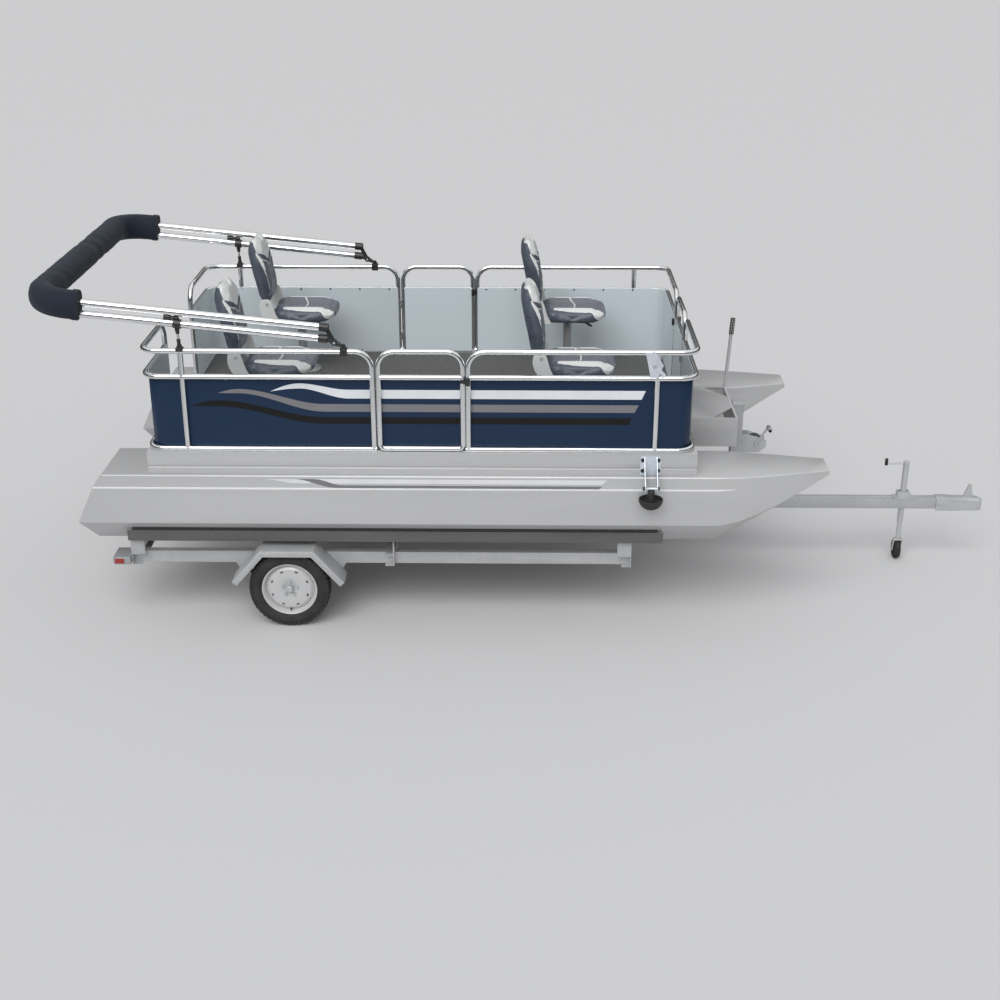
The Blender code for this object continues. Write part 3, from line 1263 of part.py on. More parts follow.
def bunk(side):
    """A pressed channel whose top flange slopes with the hull's bottom."""
    inner = BUNK_OUTER_Y - BUNK_WIDTH
    inside = BUNK_OUTER_Y - BUNK_WALL

    def seat(y):
        return hull_bottom(y) - 2 * GAP - PAD_THICKNESS

    foot = BUNK_FOOT_Z
    outline = ((BUNK_OUTER_Y, foot), (inner, foot),
               (inner, foot + BUNK_WALL), (inside, foot + BUNK_WALL),
               (inside, seat(inside) - BUNK_WALL), (inner, seat(inner) - BUNK_WALL),
               (inner, seat(inner)), (BUNK_OUTER_Y, seat(BUNK_OUTER_Y)))
    return prism([(side * y, z) for y, z in outline], "x", BUNK_AFT_X, BUNK_FORE_X)


def bunk_pad(side):
    """The strip between the bunk and the hull."""
    inner = BUNK_OUTER_Y - BUNK_WIDTH
    edges = (BUNK_OUTER_Y, inner)
    top = [(side * y, hull_bottom(y) - GAP) for y in edges]
    low = [(y, z - PAD_THICKNESS) for y, z in reversed(top)]
    return prism(top + low, "x", BUNK_AFT_X + PAD_INSET, BUNK_FORE_X - PAD_INSET)


def tail_lamp(side):
    """A box lamp behind the rear beam, with its lens round the outer corner."""
    fore = REAR_BEAM_X - GAP
    outer, inner = side * LAMP_OUTER_Y, side * (LAMP_OUTER_Y - LAMP_WIDTH)
    edges = sorted((outer, inner))
    low = LAMP_TOP - LAMP_HEIGHT
    aft = LAMP_AFT_X + LENS_OUT
    parts = [block((aft, edges[0], low), (fore, edges[1], LAMP_TOP))]
    back = sorted((outer - side * LENS_MARGIN, inner + side * LENS_MARGIN))
    parts.append(block((LAMP_AFT_X, back[0], low + LENS_MARGIN),
                       (aft + OVERRUN, back[1], LAMP_TOP - LENS_MARGIN)))
    face = sorted((outer + side * LENS_OUT / 2, outer - side * OVERRUN))
    parts.append(block((aft + LENS_MARGIN, face[0], low + LENS_MARGIN),
                       (fore - (fore - aft) / 3, face[1], LAMP_TOP - LENS_MARGIN)))
    return fused(parts)


def jack():
    """Outer tube with its cap, flange and crank, and the inner leg."""
    centre = (JACK_X, 0, 0)
    wheel_top = 2 * JACK_WHEEL_RADIUS
    leg_foot = wheel_top + FORK_SPACE + FORK_CROWN + 2 * GAP
    profile = (
        (leg_foot, 0), (leg_foot, JACK_LEG_RADIUS), (JACK_SLEEVE_FOOT, JACK_LEG_RADIUS),
        (JACK_SLEEVE_FOOT, JACK_RADIUS), (JACK_TOP, JACK_RADIUS),
        (JACK_TOP, JACK_RADIUS + GAP * 4), (JACK_TOP + JACK_CAP, JACK_RADIUS), (JACK_TOP + JACK_CAP, 0),
    )
    parts = [turned(profile, "z", centre, FINE_SIDES)]
    half = JACK_FLANGE_LENGTH / 2
    parts.append(block((JACK_X - half, -TONGUE_HALF_WIDTH, FRAME_TOP),
                       (JACK_X + half, TONGUE_HALF_WIDTH, FRAME_TOP + JACK_FLANGE_WALL)))
    crank_z = JACK_TOP - CRANK_DROP
    arm = Vector((JACK_X - CRANK_REACH, 0, crank_z))
    hub = Vector((JACK_X, 0, crank_z))
    parts.append(tube((hub, arm - Vector((CRANK_RADIUS, 0, 0))), CRANK_RADIUS))
    grip_foot = crank_z - CRANK_GRIP_LENGTH / 4
    parts.append(rod("z", (arm.x, 0, 0), grip_foot, grip_foot + CRANK_GRIP_LENGTH, CRANK_GRIP_RADIUS))
    return fused(parts)


def jack_fork():
    """The swivelling fork under the leg, with its wheel pin."""
    crown = 2 * JACK_WHEEL_RADIUS + FORK_SPACE
    half = JACK_WHEEL_HALF + FORK_SPACE
    outer = half + FORK_PLATE
    pin_y = FORK_TRAIL
    parts = [block((JACK_X - outer, -FORK_HALF_DEPTH, crown),
                   (JACK_X + outer, FORK_HALF_DEPTH, crown + FORK_CROWN))]
    for side in (-1, 1):
        edges = sorted((JACK_X + side * half, JACK_X + side * outer))
        outline = ((-FORK_HALF_DEPTH, crown + FORK_CROWN / 2),
                   (FORK_HALF_DEPTH, crown + FORK_CROWN / 2),
                   (pin_y + 2 * JACK_WHEEL_BORE, JACK_WHEEL_RADIUS - 2 * JACK_WHEEL_BORE),
                   (pin_y - 2 * JACK_WHEEL_BORE, JACK_WHEEL_RADIUS - 2 * JACK_WHEEL_BORE))
        parts.append(prism(outline, "x", edges[0], edges[1]))
    reach = outer + OVERRUN / 2
    centre = (0, pin_y, JACK_WHEEL_RADIUS)
    parts.append(rod("x", centre, JACK_X - reach, JACK_X + reach, JACK_PIN_RADIUS))
    return fused(parts)


def jack_wheel():
    """A small solid wheel with a bore for its pin."""
    half = JACK_WHEEL_HALF
    radius = JACK_WHEEL_RADIUS
    right = [(half * width, radius * size) for width, size in JACK_WHEEL_SHARES]
    profile = [(half, JACK_WHEEL_BORE), *right]
    profile += [(-distance, size) for distance, size in reversed(profile)]
    return turned(profile, "x", (JACK_X, FORK_TRAIL, radius), FINE_SIDES)


def coupler():
    """A pressed coupler over the tongue's end, hollow under its nose, with its latch lever."""
    top = FRAME_TOP + COUPLER_WALL
    side = TONGUE_HALF_WIDTH + GAP
    foot = FRAME_TOP - TONGUE_HEIGHT - COUPLER_DROP
    outer = side + COUPLER_WALL
    sleeve = ((-outer, foot), (-side, foot), (-side, FRAME_TOP), (side, FRAME_TOP), (side, foot),
              (outer, foot), (outer, top), (-outer, top))
    joint = TONGUE_END_X + GAP
    parts = [prism(sleeve, "x", COUPLER_AFT_X, joint + OVERRUN)]
    nose = COUPLER_NOSE_HALF_WIDTH
    plan = bent([Vector((joint, outer, 0)), Vector((COUPLER_SOCKET_X - nose, nose, 0)),
                 Vector((COUPLER_END_X, nose, 0)), Vector((COUPLER_END_X, -nose, 0)),
                 Vector((COUPLER_SOCKET_X - nose, -nose, 0)), Vector((joint, -outer, 0))],
                (nose, nose - OVERRUN, nose - OVERRUN, nose))
    flat = [(point.x, point.y) for point in plan]
    upper = [(joint + (x - joint) * COUPLER_CROWN_SHARE, y * COUPLER_CROWN_SHARE) for x, y in flat]
    rings = [[Vector((x, y, foot)) for x, y in flat],
             [Vector((x, y, FRAME_TOP - 2 * COUPLER_WALL)) for x, y in flat],
             [Vector((x, y, top - COUPLER_WALL / 2)) for x, y in upper]]
    parts.append(skin(rings))
    lever = COUPLER_LEVER_X
    seat = top - COUPLER_WALL
    outline = ((lever - COUPLER_LEVER_LENGTH / 2, seat), (lever + COUPLER_LEVER_LENGTH / 2, seat),
               (lever + COUPLER_LEVER_LENGTH / 4, top + COUPLER_LEVER_HEIGHT),
               (lever, top + COUPLER_LEVER_HEIGHT))
    parts.append(prism(outline, "y", -COUPLER_LEVER_HALF, COUPLER_LEVER_HALF))
    socket = foot - OVERRUN
    profile = [(socket, 0), (socket, COUPLER_SOCKET_RADIUS)]
    for step in range(BEND_STEPS + 1):
        angle = math.pi / 2 * step / BEND_STEPS
        profile.append((foot + COUPLER_SOCKET_RADIUS * (1 + math.sin(angle)),
                        COUPLER_SOCKET_RADIUS * math.cos(angle)))
    return fused(parts, [turned(profile, "z", (COUPLER_SOCKET_X, 0, 0), FINE_SIDES)])


def winch_post():
    """A square post on the tongue with its base plate and cap."""
    fore = WINCH_POST_X + WINCH_POST_LENGTH
    low = FRAME_TOP
    middle = (WINCH_POST_X + fore) / 2
    half = WINCH_POST_HALF_WIDTH
    foot = TONGUE_HALF_WIDTH + WINCH_BASE_WALL
    parts = [block((WINCH_POST_X, -half, low), (fore, half, WINCH_POST_TOP)),
             block((middle - WINCH_BASE_LENGTH / 2, -foot, low),
                   (middle + WINCH_BASE_LENGTH / 2, foot, low + WINCH_BASE_WALL))]
    lip = half + WINCH_CAP / 4
    parts.append(block((WINCH_POST_X - WINCH_CAP / 4, -lip, WINCH_POST_TOP - OVERRUN),
                       (fore + WINCH_CAP / 4, lip, WINCH_POST_TOP + WINCH_CAP)))
    return fused(parts)


def winch():
    """Two cheeks on a back plate, a full drum between them and a cranked handle."""
    back = WINCH_POST_X + WINCH_POST_LENGTH + GAP
    low, high = WINCH_Z - WINCH_HEIGHT / 2, WINCH_Z + WINCH_HEIGHT / 2
    half = WINCH_HALF_WIDTH
    parts = [block((back, -half, low), (back + WINCH_WALL, half, high))]
    front = back + WINCH_REACH
    outline = ((back, low), (front - WINCH_HEIGHT / 3, low), (front, WINCH_Z - WINCH_HEIGHT / 6),
               (front, WINCH_Z + WINCH_HEIGHT / 6), (back + WINCH_HEIGHT / 3, high), (back, high))
    for side in (-1, 1):
        parts.append(prism(outline, "y", *sorted((side * half, side * (half - WINCH_WALL)))))
    drum = (back + WINCH_REACH * DRUM_X_SHARE, 0, WINCH_Z)
    parts.append(rod("y", drum, -half + WINCH_WALL / 2, half - WINCH_WALL / 2, DRUM_RADIUS, 16))
    crank_y = -half - 3 * WINCH_HANDLE_RADIUS
    shaft = (crank_y - WINCH_HANDLE_RADIUS, -half + WINCH_WALL / 2)
    parts.append(rod("y", drum, *shaft, WINCH_HANDLE_RADIUS))
    hub = Vector((drum[0], crank_y, WINCH_Z))
    turn = math.radians(WINCH_HANDLE_TURN)
    tip = hub + Vector((math.cos(turn), 0, math.sin(turn))) * WINCH_HANDLE_LENGTH
    parts.append(tube((hub, tip), WINCH_HANDLE_RADIUS))
    grip = Vector((0, WINCH_GRIP_LENGTH, 0))
    parts.append(tube((tip + Vector((0, WINCH_HANDLE_RADIUS, 0)), tip - grip), WINCH_GRIP_RADIUS))
    return fused(parts)


def build_trailer(paint):
    """The trailer's pieces."""
    place("trailer_frame", trailer_frame(), paint["galvanised"])
    place("axle", axle(), paint["dark_steel"])
    for name, side in SIDES:
        hub = (AXLE_X, side * (TYRE_FACE_Y - TYRE_HALF_WIDTH), TYRE_RADIUS)
        place("tyre_" + name, tyre(side), paint["tyre"], hub)
        place("rim_" + name, rim(side), paint["rim"], hub)
        place("fender_" + name, fender(side), paint["galvanised"])
        place("bunk_" + name, bunk(side), paint["bunk"])
        place("bunk_pad_" + name, bunk_pad(side), paint["black"])
        place("tail_lamp_" + name, tail_lamp(side), paint["lamp"])
    place("jack", jack(), paint["zinc"])
    place("jack_fork", jack_fork(), paint["zinc"], (JACK_X, 0, 2 * JACK_WHEEL_RADIUS))
    place("jack_wheel", jack_wheel(), paint["black"], (JACK_X, FORK_TRAIL, JACK_WHEEL_RADIUS))
    place("coupler", coupler(), paint["zinc"])
    place("winch_post", winch_post(), paint["galvanised"])
    place("winch", winch(), paint["zinc"])


def build_hull(paint):
    """Pontoons, deck and what is fixed below the fence."""
    for name, side in SIDES:
        place("pontoon_" + name, pontoon(side), paint["hull"])
    place("deck_frame", deck_frame(), paint["hull"])
    place("deck_floor", floor_panel(), paint["floor"])
    place("bow_step", bow_step(), paint["hull"])


def build_fence(paint):
    """Fence panels with their sheets, and the three gates."""
    for name, side, end, stop in fence_panels():
        place("fence_" + name, fence_panel(side, end, stop), paint["chrome"])
        place("sheet_" + name, fence_sheet(side, end, stop), paint["navy"])
    posts = gate_posts(SIDE_GATE_X)
    for name, side in SIDES:
        hinge = (posts[1], side * FENCE_HALF_WIDTH)
        latch = (posts[2], side * FENCE_HALF_WIDTH)
        inward = (0, -side)
        axis = side_hinge_axis(side)
        pivot = (*axis, DECK_TOP)
        place("gate_" + name, gate_frame(hinge, latch, inward, axis), paint["chrome"], pivot)
        place("gate_sheet_" + name, gate_sheet(hinge, latch, inward), paint["navy"], pivot)
    posts = gate_posts(BOW_GATE_Y)
    hinge = (FENCE_HALF_LENGTH, posts[1])
    latch = (FENCE_HALF_LENGTH, posts[2])
    axis = bow_hinge_axis()
    place("gate_bow", gate_frame(hinge, latch, (-1, 0), axis), paint["chrome"], (*axis, DECK_TOP))
    place("gate_sheet_bow", gate_sheet(hinge, latch, (-1, 0)), paint["navy"], (*axis, DECK_TOP))


def build_canopy(paint):
    """The folded canopy with its two struts."""
    hinge = canopy_hinge(0)
    place("canopy_frame", canopy_frame(), paint["chrome"], hinge)
    place("canopy_sleeve", canopy_sleeve(), paint["cloth"], hinge)
    for name, side in SIDES:
        place("canopy_strut_" + name, canopy_strut(side), paint["black"], canopy_knuckle(side))


def build_seats(paint):
    """Four seats, each a shell that swivels and a back that folds."""
    for end, x in zip(("aft", "fore"), SEAT_X):
        for name, side in SIDES:
            label = name + "_" + end
            y = side * SEAT_Y
            shell, _, _, hinge = seat_levels()
            place("seat_" + label, seat_shell(x, y), paint["vinyl"], (x, y, shell))
            pivot = (x - BACK_HINGE_BACK, y, hinge)
            place("seat_back_" + label, seat_back(x, y), paint["vinyl"], pivot)


def build_anchor(paint):
    """The anchor with its davit and rope lock."""
    place("anchor_davit", anchor_davit(), paint["zinc"])
    place("anchor", anchor(), paint["black"])
    place("rope_lock", rope_lock(), paint["zinc"])


clear_scene()
WHOLE = bpy.data.objects.new("boat_on_trailer", None)
WHOLE.location = (-ORIGIN_AHEAD, ORIGIN_TO_STARBOARD, 0)
bpy.context.scene.collection.objects.link(WHOLE)

PAINT = {
    "hull": finish("hull_aluminium", (0.72, 0.73, 0.74), 0.45, 0.3),
    "galvanised": finish("galvanised_steel", (0.62, 0.64, 0.65), 0.50, 0.6),
    "dark_steel": finish("dark_steel", (0.10, 0.10, 0.11), 0.55, 0.6),
    "zinc": finish("zinc_plate", (0.66, 0.68, 0.70), 0.30, 0.9),
    "chrome": finish("polished_tube", (0.80, 0.82, 0.84), 0.12, 1.0),
    "rim": finish("painted_rim", (0.80, 0.81, 0.82), 0.35, 0.2),
    "tyre": finish("tyre_rubber", (0.025, 0.025, 0.025), 0.85),
    "black": finish("black_plastic", (0.02, 0.02, 0.022), 0.55),
    "bunk": finish("painted_bunk", (0.09, 0.09, 0.10), 0.60),
    "lamp": finish("lamp_red", (0.55, 0.02, 0.02), 0.25),
    "floor": finish("floor_grey", (0.16, 0.16, 0.17), 0.80),
    "navy": finish("navy_sheet", (0.012, 0.030, 0.085), 0.30),
    "cloth": finish("navy_cloth", (0.030, 0.045, 0.085), 0.90),
    "vinyl": finish("seat_vinyl", (0.060, 0.085, 0.150), 0.50),
}

build_trailer(PAINT)
build_hull(PAINT)
build_fence(PAINT)
build_canopy(PAINT)
build_seats(PAINT)
build_anchor(PAINT)
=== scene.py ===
"""The looks of a small pontoon boat on its single-axle trailer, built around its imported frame.

X points to the bow, Y to port and Z up, in metres. Each section makes one group of pieces, from the
studio and the trailer up to the seats, and takes its places from the frame's boxes.
"""
import json
import math
import random

import bmesh
import bpy
from mathutils import Matrix, Vector
from mathutils.bvhtree import BVHTree


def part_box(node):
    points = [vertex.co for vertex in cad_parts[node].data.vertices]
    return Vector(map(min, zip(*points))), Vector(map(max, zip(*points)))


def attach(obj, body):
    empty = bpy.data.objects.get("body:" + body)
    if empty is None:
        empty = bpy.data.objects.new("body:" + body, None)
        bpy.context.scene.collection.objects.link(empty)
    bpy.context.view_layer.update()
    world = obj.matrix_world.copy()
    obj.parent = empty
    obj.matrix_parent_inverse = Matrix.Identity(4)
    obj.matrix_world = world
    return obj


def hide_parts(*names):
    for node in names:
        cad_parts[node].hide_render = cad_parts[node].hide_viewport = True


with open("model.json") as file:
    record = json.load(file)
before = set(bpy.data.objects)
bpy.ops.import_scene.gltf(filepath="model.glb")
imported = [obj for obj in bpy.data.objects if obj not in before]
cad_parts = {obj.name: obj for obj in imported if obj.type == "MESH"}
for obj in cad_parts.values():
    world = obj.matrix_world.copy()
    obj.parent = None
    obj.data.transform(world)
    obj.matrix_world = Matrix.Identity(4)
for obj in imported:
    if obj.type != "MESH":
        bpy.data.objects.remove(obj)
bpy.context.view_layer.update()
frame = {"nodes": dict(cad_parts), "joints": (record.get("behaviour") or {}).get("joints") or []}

# Studio. A plain pale floor under a wide soft light overhead and an even sky, seen by a camera
# beside the boat. In reflections only, the sky darkens towards its horizon and the far floor is painted dark,
# a painted reflection that gives the bright metal its dark edges.
CAMERA_PLACE = (-0.1679, -9.4379, 4.4974)
CAMERA_TURN = (math.radians(66.865), 0.0, 0.0133)
CAMERA_LENS = 52.67
CAMERA_SENSOR = 36.0
FLOOR_REACH = 90.0
FLOOR_COLOUR = (0.60, 0.60, 0.603, 1.0)
FLOOR_DARK_IN_REFLECTIONS = (0.10, 0.10, 0.102, 1.0)
FLOOR_FADE = (4.5, 11.0)
FLOOR_ROUGHNESS = 0.62
FLOOR_SHINE = 0.25
SKY_COLOUR = (0.97, 0.98, 1.0, 1.0)
SKY_LIGHT = 0.58
BACKDROP = (0.60, 0.60, 0.603, 1.0)
# Height in the sky as a share, and how bright the studio shows there in a reflection
REFLECTED_SHARES = ((0.0, 0.05), (0.20, 0.06), (0.34, 0.30), (0.52, 0.80), (1.0, 0.95))
LAMP_LIGHT = 2.05
LAMP_SPREAD = math.radians(48.0)
LAMP_PLACE = Vector((-0.25, -0.95, 1.0))


def linked(name, mesh, material=None):
    """A mesh as an object in the scene."""
    item = bpy.data.objects.new(name, mesh)
    bpy.context.scene.collection.objects.link(item)
    if material:
        mesh.materials.append(material)
    return item


def fed(tree, node, inputs):
    """Gives a node its inputs: plain values, or links from other nodes' outputs."""
    for name, value in inputs.items():
        if isinstance(value, bpy.types.NodeSocket):
            tree.links.new(value, node.inputs[name])
        else:
            node.inputs[name].default_value = value
    return node


def added(tree, kind, inputs=None, **settings):
    """A new node of a kind, with its settings and its inputs."""
    node = tree.nodes.new(kind)
    for name, value in settings.items():
        setattr(node, name, value)
    return fed(tree, node, inputs or {})


def blended(tree, share, first, second):
    """The colour of a Mix node between two colours."""
    return added(tree, "ShaderNodeMix", {"Factor": share, 6: first, 7: second}, data_type="RGBA").outputs[2]


def painted(name):
    """A new Principled material, its node tree and its shader."""
    made = bpy.data.materials.new(name)
    made.use_nodes = True
    return made, made.node_tree, made.node_tree.nodes["Principled BSDF"]


floor_paint, tree, shader = painted("studio_floor")
place = added(tree, "ShaderNodeTexCoord")
away = added(tree, "ShaderNodeVectorMath", {0: place.outputs["Object"]}, operation="LENGTH")
fade = added(tree, "ShaderNodeMapRange", {"Value": away.outputs["Value"], "From Min": FLOOR_FADE[0],
                                          "From Max": FLOOR_FADE[1]})
# The far floor turns dark only where a reflection sees it: painted darkness for the metal's reflections, not
# the floor's own colour.
looked = added(tree, "ShaderNodeLightPath")
mirrored = added(tree, "ShaderNodeMath", {0: fade.outputs["Result"], 1: looked.outputs["Is Glossy Ray"]},
                 operation="MULTIPLY")
fed(tree, shader, {"Base Color": blended(tree, mirrored.outputs[0], FLOOR_COLOUR, FLOOR_DARK_IN_REFLECTIONS),
                   "Roughness": FLOOR_ROUGHNESS, "Specular IOR Level": FLOOR_SHINE})
shape = bpy.data.meshes.new("studio_floor")
shape.from_pydata([(x * FLOOR_REACH, y * FLOOR_REACH, 0) for x, y in ((-1, -1), (1, -1), (1, 1), (-1, 1))],
                  [], [(0, 1, 2, 3)])
studio = [linked("studio_floor", shape, floor_paint)]

world = bpy.data.worlds.new("studio_sky")
bpy.context.scene.world = world
world.use_nodes = True
tree = world.node_tree
tree.nodes.clear()
looked = added(tree, "ShaderNodeLightPath")
lit = added(tree, "ShaderNodeBackground", {"Color": SKY_COLOUR, "Strength": SKY_LIGHT})
backdrop = added(tree, "ShaderNodeBackground", {"Color": BACKDROP})
place = added(tree, "ShaderNodeTexCoord")
split = added(tree, "ShaderNodeSeparateXYZ", {0: place.outputs["Generated"]})
rise = added(tree, "ShaderNodeValToRGB", {"Fac": split.outputs["Z"]})
while len(rise.color_ramp.elements) < len(REFLECTED_SHARES):
    rise.color_ramp.elements.new(1.0)
for stop, (height, light) in zip(rise.color_ramp.elements, REFLECTED_SHARES):
    stop.position = height
    stop.color = (light, light, light, 1.0)
shown = added(tree, "ShaderNodeBackground", {"Color": rise.outputs["Color"]})
mirrored = added(tree, "ShaderNodeMixShader", {0: looked.outputs["Is Glossy Ray"], 1: lit.outputs[0],
                                               2: shown.outputs[0]})
seen = added(tree, "ShaderNodeMath", {0: looked.outputs["Is Camera Ray"],
                                      1: looked.outputs["Is Transmission Ray"]}, operation="MAXIMUM")
mixed = added(tree, "ShaderNodeMixShader", {0: seen.outputs[0], 1: mirrored.outputs[0],
                                            2: backdrop.outputs[0]})
added(tree, "ShaderNodeOutputWorld", {"Surface": mixed.outputs[0]})

lamp = bpy.data.lights.new("overhead_light", "SUN")
lamp.energy = LAMP_LIGHT
lamp.angle = LAMP_SPREAD
item = bpy.data.objects.new("overhead_light", lamp)
item.rotation_euler = (-LAMP_PLACE).to_track_quat("-Z", "Y").to_euler()
bpy.context.scene.collection.objects.link(item)
studio.append(item)

camera = bpy.data.objects.new("camera", bpy.data.cameras.new("camera"))
camera.location = CAMERA_PLACE
camera.rotation_euler = CAMERA_TURN
camera.data.lens = CAMERA_LENS
camera.data.sensor_width = CAMERA_SENSOR
bpy.context.scene.collection.objects.link(camera)
bpy.context.scene.camera = camera
bpy.context.scene.view_settings.view_transform = "Standard"

# Trailer frame. Rails, cross beams and tongue are hot-dip galvanised steel channel,
# welded together, with a dull zinc skin that shows faint crystals and handling marks.
GALVANISED_GREY = (0.54, 0.545, 0.55)
GALVANISED_DARK = (0.34, 0.345, 0.35)
ZINC_GREY = (0.56, 0.57, 0.575)
BOLT_WIDTH = 0.017
BOLT_HEIGHT = 0.0075
HEX_SHARE = 0.577
WASHER_WIDE_SHARE, WASHER_HIGH_SHARE = 0.78, 0.44
WASHER_SIDES = 16
PLATE_EDGE = 0.0012
MERGE_REACH = 0.00002
FLAT_ANGLE = math.radians(1.0)
SHARP_ANGLE = math.radians(28.0)
BEAM_BOLT_INSETS = (0.030, 0.070)
BEAM_BOLT_BELOW = 0.140
STAIN_START, STAIN_SLOPE = 0.38, 3.2
STAIN_SHADE = 0.72
BUMP_STRENGTH = 0.6
COAT_ROUGHNESS = 0.12
CRYSTAL_SCALE = 90.0
FLAKE_SHARE = 0.45


def node_group(name, kind, inputs, outputs):
    """A node group with named sockets, what it takes in and its last node."""
    made = bpy.data.node_groups.new(name, kind)
    for way, sockets in (("INPUT", inputs), ("OUTPUT", outputs)):
        for label, sort in sockets.items():
            made.interface.new_socket(label, in_out=way, socket_type="NodeSocket" + sort)
    return made, made.nodes.new("NodeGroupInput").outputs, made.nodes.new("NodeGroupOutput")


def worked(tree, operation, first, second, clamp=False):
    """The result of a Math node over two values or sockets."""
    return added(tree, "ShaderNodeMath", {0: first, 1: second}, operation=operation,
                 use_clamp=clamp).outputs[0]


def noise(tree, place, scale, detail=4.0, rough=0.6):
    """The value of a noise texture at a place."""
    return added(tree, "ShaderNodeTexNoise", {"Vector": place, "Scale": scale, "Detail": detail,
                                              "Roughness": rough}).outputs["Fac"]


# One group carries patches, stains and fine grain, stretched along the way a metal was rolled
skin_group, taken, given = node_group(
    "handled_surface", "ShaderNodeTree",
    {"Colour": "Color", "Stain": "Color", "Stain Share": "Float", "Patch Scale": "Float", "Stretch": "Vector",
     "Roughness": "Float", "Roughness Spread": "Float", "Grain Scale": "Float"},
    {"Colour": "Color", "Roughness": "Float", "Height": "Float"})
where = added(skin_group, "ShaderNodeTexCoord").outputs["Object"]
pulled = added(skin_group, "ShaderNodeVectorMath", {0: where, 1: taken["Stretch"]},
               operation="MULTIPLY").outputs[0]
patches = noise(skin_group, pulled, taken["Patch Scale"], 6.0, 0.62)
stained = worked(skin_group, "MULTIPLY", worked(skin_group, "SUBTRACT", patches, STAIN_START), STAIN_SLOPE,
                 clamp=True)
share = worked(skin_group, "MULTIPLY", stained, taken["Stain Share"])
wander = worked(skin_group, "MULTIPLY", worked(skin_group, "SUBTRACT", patches, 0.5),
                taken["Roughness Spread"])
fed(skin_group, given, {"Colour": blended(skin_group, share, taken["Colour"], taken["Stain"]),
                        "Roughness": worked(skin_group, "ADD", taken["Roughness"], wander),
                        "Height": noise(skin_group, pulled, taken["Grain Scale"], 3.0, 0.7)})


def finish(name, colour, roughness, metallic=0.0, stain=None, stain_share=0.35, patch=4.0,
           stretch=(1, 1, 1), spread=0.15, grain=300.0, depth=0.0002, coat=0.0, shine=0.5):
    """A Principled material that wears the handled surface."""
    made, tree, shader = painted(name)
    stain = stain or tuple(part * STAIN_SHADE for part in colour)
    surface = added(tree, "ShaderNodeGroup", {
        "Colour": (*colour, 1), "Stain": (*stain, 1), "Stain Share": stain_share, "Patch Scale": patch,
        "Stretch": stretch, "Roughness": roughness, "Roughness Spread": spread, "Grain Scale": grain},
        node_tree=skin_group)
    bump = added(tree, "ShaderNodeBump", {"Strength": BUMP_STRENGTH, "Distance": depth,
                                          "Height": surface.outputs["Height"]})
    fed(tree, shader, {
        "Base Color": surface.outputs["Colour"], "Roughness": surface.outputs["Roughness"],
        "Normal": bump.outputs["Normal"], "Metallic": metallic, "Coat Weight": coat,
        "Specular IOR Level": shine, "Coat Roughness": COAT_ROUGHNESS})
    return made


# Zinc crystals: cells of slightly different grey, mixed into the colour of hot-dipped steel
crystal_group, taken, given = node_group(
    "zinc_crystals", "ShaderNodeTree",
    {"Light": "Color", "Dark": "Color", "Crystal Scale": "Float", "Contrast": "Float"}, {"Colour": "Color"})
where = added(crystal_group, "ShaderNodeTexCoord").outputs["Object"]
cells = added(crystal_group, "ShaderNodeTexVoronoi", {"Vector": where, "Scale": taken["Crystal Scale"]})
flake = added(crystal_group, "ShaderNodeSeparateColor", {0: cells.outputs["Color"]}).outputs[0]
clouds = noise(crystal_group, where, 5.0, 6.0, 0.65)
flecks = worked(crystal_group, "ADD", worked(crystal_group, "MULTIPLY", flake, FLAKE_SHARE), clouds)
share = worked(crystal_group, "MULTIPLY", flecks, taken["Contrast"], clamp=True)
fed(crystal_group, given, {"Colour": blended(crystal_group, share, taken["Light"], taken["Dark"])})


def galvanised(name, light, dark, roughness, contrast=0.55):
    """Hot-dipped steel: the handled surface under zinc crystals."""
    made = finish(name, light, roughness, metallic=0.35, stain=dark, grain=160.0, depth=0.0003)
    tree = made.node_tree
    crystals = added(tree, "ShaderNodeGroup", {
        "Light": (*light, 1), "Dark": (*dark, 1), "Crystal Scale": CRYSTAL_SCALE, "Contrast": contrast},
        node_tree=crystal_group)
    surface = next(node for node in tree.nodes if node.type == "GROUP" and node.node_tree == skin_group)
    fed(tree, surface, {"Colour": crystals.outputs["Colour"]})
    return made


def smooth(mesh, angle=35.0):
    """Round shading with sharp edges kept."""
    mesh.shade_smooth()
    mesh.set_sharp_from_angle(angle=math.radians(angle))


def made_object(name, shape, material, body, angle=35.0):
    """A bmesh as a finished piece that rides on a body."""
    bmesh.ops.recalc_face_normals(shape, faces=shape.faces)
    mesh = bpy.data.meshes.new(name)
    shape.to_mesh(mesh)
    shape.free()
    smooth(mesh, angle)
    item = linked(name, mesh, material)
    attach(item, body)
    return item


def dressed(node, name, material, body, edge=PLATE_EDGE, segments=2):
    """A CAD piece's own shape with its edges broken, in its place."""
    shape = bmesh.new()
    shape.from_mesh(frame["nodes"][node].data)
    bmesh.ops.remove_doubles(shape, verts=shape.verts, dist=MERGE_REACH)
    bmesh.ops.dissolve_limit(shape, angle_limit=FLAT_ANGLE, verts=shape.verts, edges=shape.edges)
    sharp = [line for line in shape.edges
             if len(line.link_faces) == 2 and line.calc_face_angle() > SHARP_ANGLE]
    bmesh.ops.bevel(shape, geom=sharp, offset=edge, segments=segments, profile=0.5,
                    affect="EDGES", clamp_overlap=True)
    item = made_object(name, shape, material, body)
    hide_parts(node)
    return item


def realised(tree, instances, material, given):
    """Ends a geometry tree: real meshes in their material."""
    real = added(tree, "GeometryNodeRealizeInstances", {0: instances.outputs[0]})
    coated = added(tree, "GeometryNodeSetMaterial", {"Geometry": real.outputs[0], "Material": material})
    fed(tree, given, {0: coated.outputs[0]})
    return tree


